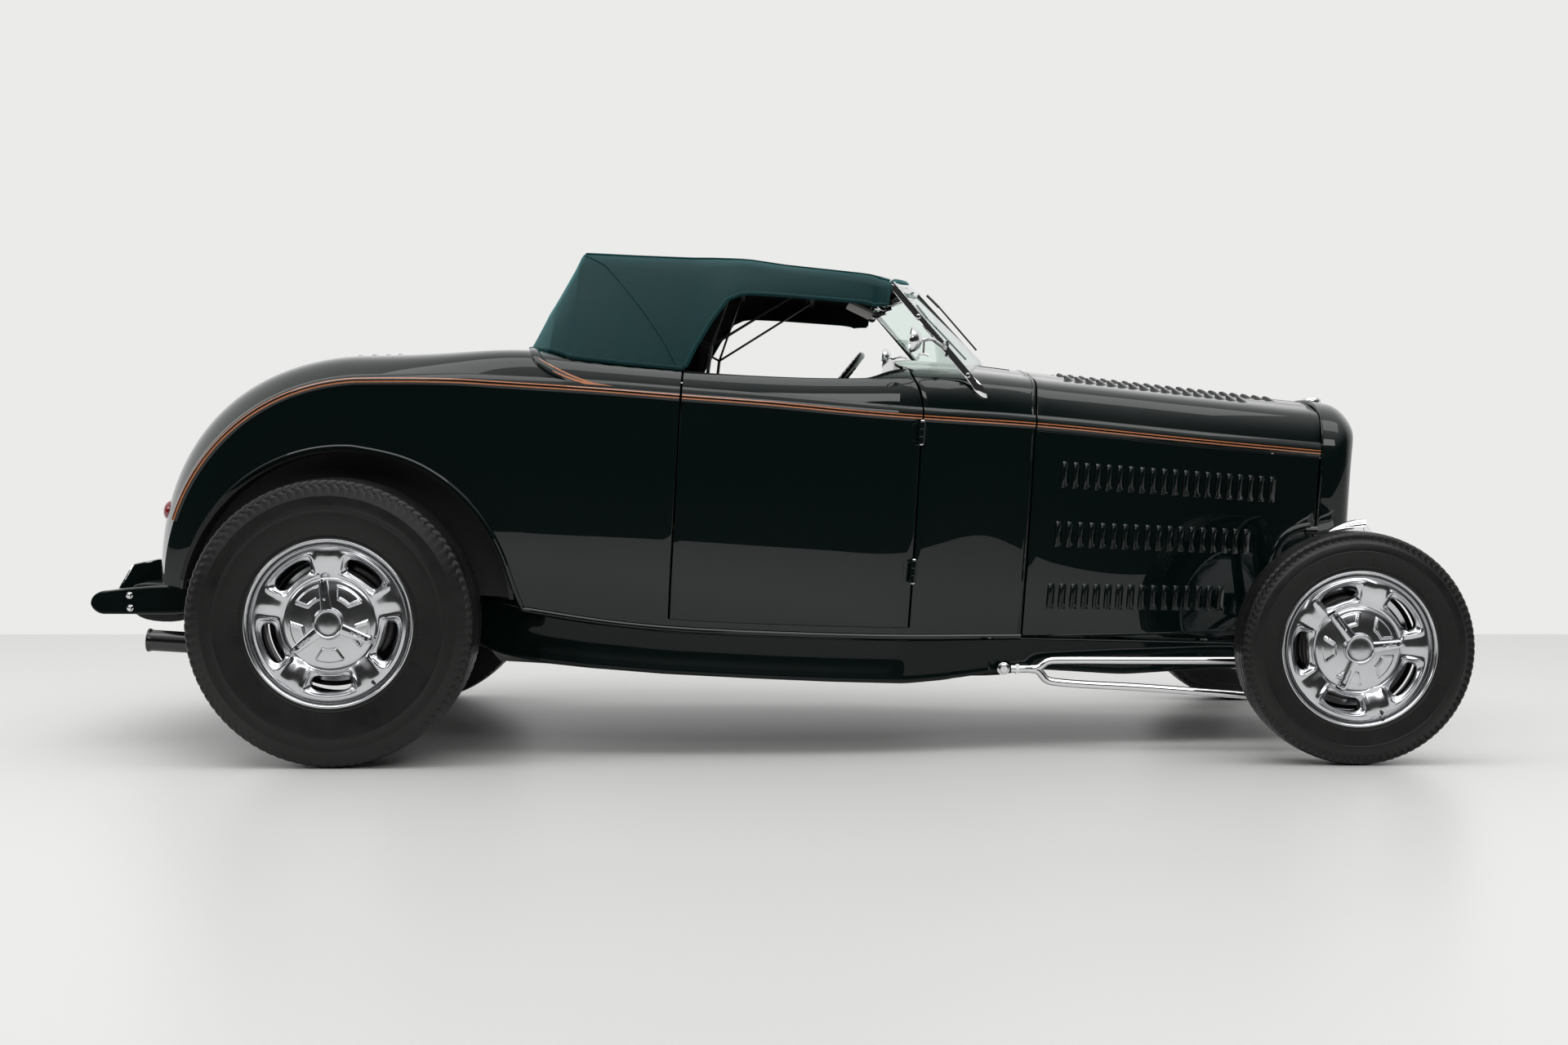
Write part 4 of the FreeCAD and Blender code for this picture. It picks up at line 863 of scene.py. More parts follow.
# %% Tulip bead and flourish
# The sweep's path as (u, t): it leaves the belt, climbs the shoulder and crosses behind the seat.
TULIP_WAY = natural([0, 0.16, 0.36, 0.55, 0.75, 1.0], [(2030, 0.10), (2120, 0.34), (2186, 0.78), (2218, 1.5),
                                                       (2232, 2.6), (2238, 4.0)])(np.linspace(0, 1, 40))


def top_normal(u, t, step=0.03):
    """Unit normals of the top's skin along a line of places."""
    return outward(np.stack([upper(u, t - step), upper(u, t), upper(u, t + step)]))[1]


def swept_bead(shape, way, wide, rise, side):
    """A low half-round bead along a path of the top's skin, growing from nothing at its start."""
    u, t = way.T
    points, normal = upper(u, t), top_normal(u, t, 0.02)
    across = unit(np.cross(normal, np.gradient(points, axis=0)))
    s = np.array([-1, -0.95, -0.8, -0.5, 0, 0.5, 0.8, 0.95, 1])[:, None, None]
    grow = np.clip(np.arange(len(u)) / 6, 0.15, 1)[:, None]
    high = rise * grow * np.clip(1 - s * s, 0, 1) ** 0.6 - 0.8 * (abs(s) > 0.9)
    shape.grid(on_side(points + across * s * wide / 2 * grow + normal * high, side))


def ribbon(shape, u, d, wide, side):
    """A painted line at the bead's height, of changing width, by its distance over the belt."""
    centre, normal = skin_at(u, d), skin_out(u, d)
    across = unit(np.cross(np.gradient(centre, axis=0), normal))
    rows = [centre + across * wide[:, None] * k / 2 + normal * BEAD_RISE * 0.96 for k in (-1, 0, 1)]
    shape.grid(on_side(rows, side), 1)


def flourish(side):
    swept_bead(rear, TULIP_WAY, 30, 6, side)
    s = np.linspace(0, 1, 26)
    for start, end, low, high, wide in ((1965, 2192, 8, 78, 4.0), (1985, 2150, 7, 44, 5.0),
                                        (1955, 2080, 9, 22, 6.0)):
        ribbon(rear, start + (end - start) * s, low + (high - low) * s ** 1.9 + 1.3 * np.sin(np.pi * s),
               wide * np.sin(np.pi * np.clip(0.06 + s * 0.93, 0, 1)) ** 0.5 + 0.4, side)


both(flourish)
rear.made("rear_panels", "chassis", paint, copper_line, stands_for=("rear_body",), slot="body_paint", sharp=32)

# %% [markdown]
# ## Doors
# Each door is a hollow pressing: an outer skin that carries on the body's lines, and a trimmed inner
# face that starts at the skin's top edge and slopes inboard. Its front edge leans back at the top, where
# it meets the cowl, so the front of the sheet is bent by the same curve that the cowl's rear edge uses.

# %% Door
def ease(value):
    """A smooth step from 0 to 1."""
    value = np.clip(value, 0, 1)
    return value * value * (3 - 2 * value)


def jamb_u(t):
    """Where the seam between cowl and door lies, by the height of the top's skin."""
    return NOSE_X - DOOR_FRONT + 42 * ease(np.asarray(t, float) / 1.45) ** 1.6


def door_top_t(share):
    """How far up the skin the door's top reaches, by its share of the door's length from the front."""
    return 1 + 0.34 * ease((0.22 - share) / 0.22)


DOOR_SHARES = np.linspace(0, 1, 44)
DOOR_END = NOSE_X - DOOR_REAR - HALF_GAP
DOOR_LIP = (0, -0.1727, 1.4366)


def door_skin():
    """The outer skin, row by row from the foot to the top edge."""
    start = jamb_u(0.0) + HALF_GAP
    u = start + DOOR_SHARES * (DOOR_END - start)
    low = (SILL + HALF_GAP) / knee_height(u)
    rows = [lower(u, low + k * (1 - low)) for k in np.linspace(0, 1, 26)]
    for k in np.linspace(0, 1, 13)[1:]:
        t = k * door_top_t(DOOR_SHARES)
        front = jamb_u(t) + HALF_GAP
        rows.append(upper(front + DOOR_SHARES * (DOOR_END - front), t))
    return np.stack(rows)


def make_door(side):
    door, name = Shape(), "door_left" if side > 0 else "door_right"
    skin = door_skin()
    panel(door, skin, side, "rcC", depth=46)
    top, foot = skin[-1] + DOOR_LIP, skin[0] + (0, -47, 12)
    inner = np.stack([top * (1 - k) + foot * k - np.array((0, 6, 0)) * math.sin(k * math.pi)
                      for k in np.linspace(0, 1, 16)])
    door.grid(on_side(inner, side), 1, flip=side < 0)
    belt_bead(door, np.linspace(jamb_u(0.0) + HALF_GAP - ROLL, DOOR_END + ROLL, 40), side, 2)
    ledge = inner[7] - (0, 18, 0)
    door.grid(on_side(np.stack([inner[6], ledge + (0, 0, 16), ledge, ledge - (0, 0, 14), inner[8]])[:, 8:34],
                      side), 1)
    handle = inner[5][26:33] - (0, 26, 0)
    door.tube(on_side(handle, side), 0.0065, 10, 3)
    return door.made(name + "_panel", name, paint, leather, copper_line, chrome, stands_for=(name,),
                     slot="body_paint", sharp=32)


both(make_door)

# %% [markdown]
# ## Cowl
# The cowl joins hood to doors. Its rear edge on top rolls over the dashboard, and a low vent lid sits
# in its middle, ahead of the windshield.

# %% Cowl
cowl = Shape()
COWL_FRONT_U = NOSE_X + HALF_GAP


def dash_edge_u(t):
    """The cowl's rear edge: the door seam low down, then the roll over the dashboard."""
    return jamb_u(t) - HALF_GAP + 24 * ease((np.asarray(t, float) - 1.25) / 0.9)


def make_cowl(side):
    share, seam_u = np.linspace(0, 1, 24), jamb_u(0.0) - HALF_GAP
    rows = [lower(COWL_FRONT_U + share * (seam_u - COWL_FRONT_U), k) for k in np.linspace(0, 1, 26)]
    for t in np.concatenate([np.linspace(0, 1, 11)[1:], CROWN_T[1:]]):
        rows.append(upper(COWL_FRONT_U + share * (dash_edge_u(t) - COWL_FRONT_U), t))
    skin = np.stack(rows)
    normal = panel(cowl, skin, side, "c")
    edge, out = skin[:, -1], normal[:, -1]
    beyond = unit((edge - skin[:, -2]) * (1, 0, 1))
    cowl.grid(on_side(rim_of(edge[:44], out[:44], beyond[:44], ROLL, 30), side))
    cowl.grid(on_side(rim_of(edge[43:], out[43:], beyond[43:], 7, 34), side))
    belt_bead(cowl, np.linspace(COWL_FRONT_U - ROLL, seam_u + ROLL, 20), side)
    foot_bead(cowl, np.linspace(COWL_FRONT_U, jamb_u(0.0), 14), side)
    cowl.tube(on_side(skin[:, 0] + normal[:, 0] * 0.6 - (6, 0, 0), side), 0.0034, 8)


both(make_cowl)
u_vent, t_vent = np.linspace(NOSE_X + 46, NOSE_X + 150, 14), np.linspace(2.9, 4, 18)
for side in (1, -1):
    panel(cowl, upper(u_vent[None], t_vent[:, None]) + (0, 0, 1.6), side, "rcC", roll=1.5, depth=3)
cowl.made("cowl_panel", "chassis", paint, copper_line, stands_for=("cowl",), slot="body_paint", sharp=32)
print("dash edge u", dash_edge_u(np.array([0, 1, 4])).round(1))

# %% [markdown]
# ## Louvres
# Louvres are slits pressed outward in rows, open on the side that faces the rear. Each is a little
# sheet that rises from the skin, closes at both ends and drops sharply at the open side, where a black
# sheet closes the slit as painted shade for the dark inside. One function makes a louvre anywhere, given its
# middle, its length and its open side.

# %% Louvre
def louvre(shape, middle, along, open_way, out, long, wide, high):
    """One pressed louvre, in body millimetres: along its slit, toward its open side, and outward."""
    s = np.linspace(-1, 1, 13)
    w = np.array([0, 0.16, 0.34, 0.52, 0.7, 0.85, 0.94, 1.0])
    rise = np.array([-0.12, 0.16, 0.45, 0.71, 0.9, 1.0, 0.98, 0.86])
    ends = np.clip(1 - np.abs(s) ** 3.2, 0, 1) ** 0.75
    slit = middle + s[:, None] * along * long / 2
    sheet = (slit[None] + (w[:, None, None] - 0.5) * open_way * wide
             + (rise[:, None, None] * ends[None, :, None] * high - 0.4) * out)
    shape.grid(level(sheet))
    # The open side is closed by a black sheet: painted shade standing for the dark inside of the slit.
    shape.grid(level(np.stack([sheet[-1], slit + open_way * wide * 0.47 - 0.5 * out])), 1)


def louvre_row(shape, places, normals, along, open_way, size, side):
    """Louvres at a row of places on the skin, each of the same length, width and height."""
    turn = np.array((1, side, 1))
    for place, out in zip(places, normals):
        slit, way = (unit(v - out * np.dot(v, out)) for v in (along, open_way))
        louvre(shape, place * turn, slit * turn, way * turn, out * turn, *size)


# %% [markdown]
# ## Hood
# The hood is in four panels: two fixed sides, and two tops that lift on a piano hinge along the crown.
# Three rows of louvres run along each side, and two along each top.

# %% Hood sides and tops
HOOD_U = np.linspace(HALF_GAP, NOSE_X - HALF_GAP, 40)
SEAM_UNDER_BEAD = BEAD_LOW - 5
BACKWARD, ACROSS = np.array((-1.0, 0, 0)), np.array((0, 1.0, 0))
SIDE_ROWS = ((95, 700, 451, 443, 20, 74), (87, 634, 286, 292, 18, 72), (77, 569, 113, 128, 16, 70))
TOP_ROWS = ((117, 728, 78, 20), (123, 627, 192, 17))
sides = Shape()
for side in (1, -1):
    reach = np.linalg.norm(belt_at(HOOD_U) - lower(HOOD_U, 0.9), axis=-1) * 10
    top_v = 1 + SEAM_UNDER_BEAD / reach
    skin = lower(HOOD_U[None], 0.01 + np.linspace(0, 1, 26)[:, None] * (top_v - 0.01))
    panel(sides, skin, side, "rRcC")
    panel(sides, skin - (0, 9, 0), side, finish=1)
    for x_back, x_front, z_back, z_front, count, long in SIDE_ROWS:
        x, z = np.linspace(x_back, x_front, count), np.linspace(z_back, z_front, count)
        places = np.stack([x, flank(x, z), z], -1)
        out = unit(np.cross((np.stack([x + 2, flank(x + 2, z), z], -1) - places),
                            (np.stack([x, flank(x, z + 2), z + 2], -1) - places)))
        out = out * np.sign(out[:, 1:2])
        louvre_row(sides, places, out, (0, 0, 1), BACKWARD, (long, 21, 9.5), side)
sides.made("hood_side_panels", "chassis", paint, black_satin, stands_for=("hood_sides",), slot="body_paint",
           sharp=32)


def make_hood_top(side):
    top, name = Shape(), "hood_top_left" if side > 0 else "hood_top_right"
    skin = np.stack([skin_at(HOOD_U, d) for d in np.linspace(BEAD_LOW, 0, 4)]
                    + [upper(HOOD_U, t) for t in (*np.linspace(0, 1, 11)[1:], *np.linspace(1, 3.985, 34)[1:])])
    panel(top, skin, side, "rcC", depth=9)
    panel(top, skin - outward(skin) * 7, side, finish=1)
    belt_bead(top, np.linspace(HOOD_U[0] - ROLL, HOOD_U[-1] + ROLL, 44), side, 2)
    for x_back, x_front, y, count in TOP_ROWS:
        u = NOSE_X - np.linspace(x_back, x_front, count)
        t = turn_of(u, y)
        louvre_row(top, upper(u, t), top_normal(u, t), ACROSS, BACKWARD, (84, 22, 9), side)
    return top.made(name + "_panel", name, paint, black_satin, copper_line, stands_for=(name,),
                    slot="body_paint", sharp=32)


both(make_hood_top)
ridge = Shape()
crown_x = np.linspace(4, 834, 40)
ridge.tube(level(upper(NOSE_X - crown_x, 4) - (0, 0, 1.2)), 0.0036, 10)
ridge.made("hood_hinge_rod", "chassis", paint, slot="body_paint", sharp=38)

# %% [markdown]
# ## Deck lid
# The lid closes the tail from behind the seat down to the number plate. It has its own inner skin, and
# four columns of louvres over its bend.

# %% Deck lid
lid = Shape()
lid_y = np.linspace(LID_HALF - ROLL, 0, 20)
lid_start, lid_end = NOSE_X - LID_FRONT + ROLL, tail_u_at(LID_LOW + ROLL, lid_y)
lid_u = lid_start + np.linspace(0, 1, 90)[None] * (lid_end[:, None] - lid_start)
lid_skin = upper(lid_u, turn_of(lid_u, lid_y[:, None]))
for side in (1, -1):
    panel(lid, lid_skin, side, "rcC", depth=18)
    panel(lid, lid_skin - outward(lid_skin) * 18, side, finish=1)
    for y in (72, 215):
        u = TAIL_START + np.linspace(-45, 470, 16)
        t = turn_of(u, y)
        places = upper(u, t)
        for place, out, way in zip(places, top_normal(u, t), unit(upper(u + 3, t) - places)):
            louvre_row(lid, [place], [out], ACROSS, way, (112, 22, 8.5), side)
lid.tube(level([(-2406, y, 150) for y in np.linspace(-26, 26, 5)]), 0.007, 12, 2)
lid.made("deck_lid_panel", "deck_lid", paint, black_satin, chrome, stands_for=("deck_lid",), slot="body_paint",
         sharp=32)

# %% [markdown]
# ## Grille shell
# The shell frames the radiator: flat sides that carry on the hood's lines, a softly pointed top, and a
# face that sweeps forward to the middle and turns in round the opening. Fine upright bars stand in the
# opening, and a plain cap tops it.

# %% Grille shell and its bars
SHELL = np.array([(14, 236), (150, 262), (400, 282), (556, 286), (640, 255), (690, 175), (706, 80), (708, 0)],
                 float)
SHELL_HALF, SHELL_HIGH, SHELL_DEEP, SHELL_SWEEP, SHELL_BACK = 286, 712, 93.0, 0.2, NOSE_X + ROLL
shell_front = natural([0, 14, 150, 350, 574, 640, 690, SHELL_HIGH], [0.97, 0.97, 0.985, 1.0, 1.0, 0.99, 0.86, 0.80])


def shell_outline(inset):
    """The shell's outline from its foot up and over to the middle, drawn in by an inset."""
    reach = reach_of(SHELL)
    z, y = natural(reach, SHELL)(np.linspace(0, reach[-1], 70)).T
    y = np.maximum(y, 0)
    slope = unit(np.stack([np.gradient(z), np.gradient(y)], -1))
    return z + inset * slope[:, 1], np.maximum(y - inset * slope[:, 0], 0)


def shell_x(deep, y, z):
    """How far a point of the shell stands ahead of the hood: the face sweeps forward to the middle."""
    inboard = SHELL_HALF - np.minimum(abs(y), SHELL_HALF)
    return deep * (shell_front(np.clip(z, 0, SHELL_HIGH)) + SHELL_SWEEP * inboard / SHELL_DEEP)


def shell_row(inset, deep):
    """Points of the shell's outline, drawn in by an inset, at a depth ahead of its back edge."""
    z, y = shell_outline(inset)
    x = shell_x(deep, y, z)
    return np.stack([SHELL_BACK + x, y, z - 12 * (x / 100) ** 2 * ease((z - 560) / 120)], -1)


shell = Shape()
for side in (1, -1):
    rows = [shell_row(*place) for place in ((2, 0), (0.4, 1.5), (0, 4), (0, 10), (0, 16), (0, 22), (0, 28),
                                            (0, 34), (0, 41), (0.6, 48), (2.2, 56), (5, 63.5), (9, 70.5),
                                            (14, 77), (20, 82.5), (27, 87), (34, 90), (40, 91.5), (44, 91),
                                            (47, 88), (48.5, 80), (49, 62))]
    shell.grid(on_side(rows, side))
    shell.grid(on_side([rows[0], rows[0] * (1, 0.94, 0.97)], side))
    shell.tube(on_side(shell_row(-0.5, 2.5), side), 0.0032, 8)
shell.turned([(0, 0.0), (0.0, 0.026), (0.006, 0.030), (0.012, 0.030), (0.018, 0.026), (0.021, 0.012),
              (0.0215, 0.0)], level((SHELL_BACK + 34, 0, 700)), body_up, 32, 1)
shell.made("radiator_shell", "chassis", paint, chrome, stands_for=("grille_shell",), slot="body_paint")
opening = shell_row(49, 82)
grille = Shape()
for y in np.arange(-17, 18) * 13.4:
    inside = opening[opening[:, 1] > abs(y) + 3]
    if len(inside) > 4:
        z_low, z_high = inside[:, 2].min() + 4, inside[:, 2].max() + 2
        z = np.linspace(z_low, z_high, 14)
        bow = SHELL_BACK + shell_x(84, y, z)
        grille.tube(level(np.stack([bow, np.full(14, y), z], -1)), 0.0038, 8, up=(1, 0, 0.01), flat=(0.85, 1.5))
for z in (120, 250, 380, 510, 620):
    y = np.linspace(-1, 1, 25) * np.interp(z, opening[:60, 2], opening[:60, 1])
    grille.tube(level(np.stack([SHELL_BACK + shell_x(84, y, z) - 5, y, np.full(25, z)], -1)), 0.0035, 6, 1)
grille.made("grille_bars", "chassis", stainless, black_satin, slot="grille_bars", sharp=38)

# %% [markdown]
# ## Frame rails
# The rails show below the body. Each is a boxed channel whose outer face has a long shallow reveal
# stamped in it, and whose edges are rounded. They sweep up over the rear axle and end in horns behind.

# %% Rails, horns and bolts
RAIL = np.array([(930, 325, -2, -60), (760, 340, 6, -64), (593, 352, 8, -67), (298, 398, 2, -98),
                 (0, 458, -4.5, -92), (-214, 536, -11, -129), (-322, 574, -14.5, -141),
                 (-520, 600, -20.5, -145), (-720, 614, -24.5, -147), (-970, 622, -25.5, -148),
                 (-1180, 618, -14.5, -144), (-1300, 600, -4, -140), (-1430, 552, 20, -128),
                 (-1600, 520, 64, -50), (-1842, 508, 84, 6), (-2100, 480, 66, -22), (-2320, 425, -3, -82),
                 (-2400, 412, -8, -88), (-2482, 407, -20, -93), (-2546, 402, -32, -97)], float)[::-1]
RAIL_FACE = [(0, 14), (0.012, 6), (0.035, 1.5), (0.06, 0)] + [(k, 0) for k in np.linspace(0.08, 0.86, 16)] + [
    (0.89, -1.2), (0.93, -1.4), (0.97, 1.0), (0.992, 6), (1.0, 14)]
REVEAL = [0.0] * 4 + list(np.sin(np.linspace(0, np.pi, 16)) ** 1.3) + [0.0] * 5
rail_x = np.concatenate([np.linspace(-2546, -1400, 60), np.linspace(-1390, -200, 110), np.linspace(-190, 930, 60)])
rail_y, rail_top, rail_foot = (np.interp(rail_x, RAIL[:, 0], RAIL[:, k]) for k in (1, 2, 3))
for _ in range(3):
    rail_y, rail_top, rail_foot = (np.concatenate([v[:1], (v[:-2] + 2 * v[1:-1] + v[2:]) / 4, v[-1:]])
                                   for v in (rail_y, rail_top, rail_foot))
round_end = np.linspace(88, 6, 12) * np.pi / 180
rail_x = np.concatenate([-2546 - 36 * np.sin(round_end), rail_x])
rail_top, rail_foot = (np.concatenate([-64.5 + sign * 32.5 * np.cos(round_end), v])
                       for sign, v in ((1, rail_top), (-1, rail_foot)))
rail_y = np.concatenate([np.full(12, rail_y[0]), rail_y])
stamped = ease((rail_x + 1375) / 75) * ease((-318 - rail_x) / 60)
rails = Shape()
for side in (1, -1):
    loop = [(k, inset, hollow) for (k, inset), hollow in zip(RAIL_FACE, REVEAL)] + [(1.0, 38, 0), (0.96, 50, 0),
        (0.04, 50, 0), (0.0, 38, 0)]
    ring = [np.stack([rail_x, rail_y - inset - 10 * hollow * stamped, rail_top + (rail_foot - rail_top) * k],
                     -1) for k, inset, hollow in loop]
    section = on_side(np.stack(ring, 1), side)
    rails.grid(section, around=True)
    rails.fill(section[0], flip=side < 0).fill(section[-1], flip=side > 0)
    for x, z in ((-2475, -39), (-2471, -74)):
        at = level(np.array((x, (np.interp(x, rail_x, rail_y) - 1) * side, z)))
        rails.turned([(0, 0.0095), (0.002, 0.0095), (0.003, 0.007), (0.007, 0.0062), (0.009, 0.004),
                      (0.0092, 0)], at, level_way((0, side, 0)), 16, 1)
rails.made("rail_covers", "chassis", chassis_paint, chrome, stands_for=("frame_rails",), slot="frame_paint",
           sharp=42)

# %% [markdown]
# ## Door hinges
# Each door hangs on two small outside hinges: a barrel with a fine cap at each end, and a short leaf
# that runs rearward onto the door.

# %% Hinges
hinge_set = Shape()
for side in (1, -1):
    for low, high in ((138, 198), (512, 572)):
        hinge_set.turned([(0, 0), (0, 0.0065), (0.002, 0.0088), (0.019, 0.009), (0.0195, 0.0078),
                          (0.0205, 0.0078), (0.021, 0.009), (0.039, 0.009), (0.0395, 0.0078), (0.0405, 0.0078),
                          (0.041, 0.009), (0.058, 0.0088), (0.06, 0.0065), (0.06, 0)],
                         level((DOOR_FRONT, 614 * side, low)), body_up, 24)
        for end, turn_way in ((low + 60, 1), (low, -1)):
            hinge_set.turned([(0, 0.0068), (0.002, 0.0068), (0.0042, 0.005), (0.0052, 0)],
                             level((DOOR_FRONT, 614 * side, end)), level_way((0, 0, turn_way)), 20, 1)
        for reach, cut_in in ((-27, 5), (13, -5)):
            x = DOOR_FRONT + reach
            outline = [(DOOR_FRONT, low + 6), (x + cut_in, low + 6), (x, low + 12), (x, high - 12),
                       (x + cut_in, high - 6), (DOOR_FRONT, high - 6)]
            hinge_set.plate(level([(px, (flank(px, pz) + 1.5) * side, pz) for px, pz in outline]),
                            level_way((0, -side, 0)), 0.008)
hinge_set.made("door_hinge_set", "chassis", paint, chrome, stands_for=("hinges",), bevel=0.0008,
               slot="body_paint", sharp=38)

# %% [markdown]
# ## Wheels
# The wheels are polished castings. Five windows with raised borders stand round a dished centre, which
# has five small scoops, and a three-bar cap sits over the hub. Each window is one ring of mesh that
# runs from the window's edge, over its border, out to the edges of its fifth of the wheel.

# %% The wheel's face
FACE_R = (36, 60, 85, 100, 108, 112, 118, 132, 148, 165, 178, 187)
FACE_H = (-11.5, -14, -19, -23, -25.5, -27, -25, -19.5, -14.5, -12, -12.5, -15)
face_height = natural(FACE_R, FACE_H)
FIFTH_R, FIFTH_HALF, FIFTH_TURN = 149.5, 37.5, math.radians(36)


def round_box(angle, power):
    """A point on a box with rounded corners, by its angle; a high power gives the box itself."""
    c, s = np.cos(angle), np.sin(angle)
    if power > 50:
        return np.stack([c, s], -1) / np.maximum(abs(c), abs(s))[..., None]
    return np.stack([c, s], -1) / ((abs(c) ** power + abs(s) ** power) ** (1 / power))[..., None]


def wheel_window(angle):
    """Rings of a window: rows of (radius, angle round the wheel, height), in wheel millimetres."""
    phi = np.linspace(0, 2 * np.pi, 96, endpoint=False)
    hole = round_box(phi, 3.6) * (18.0, math.radians(18.5)) + (148.5, 0)
    ridge = round_box(phi, 6.5) * (28.5, math.radians(23.2)) + (148.0, 0)
    fifth = round_box(phi, 99) * (FIFTH_HALF, FIFTH_TURN) + (FIFTH_R, 0)
    rows = []
    for share, lift in ((0.0, -32), (0.0, -13), (0.03, -10.5), (0.12, -8.5), (0.5, -4.5), (0.8, -0.5),
                        (0.9, 2.0), (1.0, 2.9), (1.12, 1.9), (1.22, 0.3), (1.35, 0), (1.5, 0), (1.67, 0),
                        (1.84, 0), (2.0, 0)):
        flat = hole + (ridge - hole) * share if share <= 1 else ridge + (fifth - ridge) * (share - 1)
        r, turn = flat.T
        spoke = ease((np.degrees(abs(turn)) - 23.4) / 13.5) * (1 - abs((r - FIFTH_R) / FIFTH_HALF) ** 5)
        rows.append(np.stack([r, turn + angle, face_height(r) + lift + 3.2 * spoke], -1))
    return np.stack(rows)


# The cap's bars: how low their feet stand, and the outline of the black fill laid in each bar's pocket as painted
# shade.
BAR_FOOT = -24
POCKET = np.array([(69.6, 0), (76, 2.2), (92, 3.0), (104.8, 3.2), (108, 0), (104.8, -3.2), (92, -3.0), (76, -2.2)])


def scoops(r, angle, first):
    """The rise of the five scoops in the dished centre."""
    off = (angle - first + math.pi / 5) % (2 * math.pi / 5) - math.pi / 5
    across, wide = abs(off) * r, 15 + (r - 62) * 0.62
    inside = ease((wide + 3 - across) / 5) * ease((r - 60) / 5) * ease((97 - r) / 5)
    ridge = inside * (1 - ease((wide - 3 - across) / 5) * ease((r - 66) / 5))
    return 3.2 * inside + 2.2 * ridge
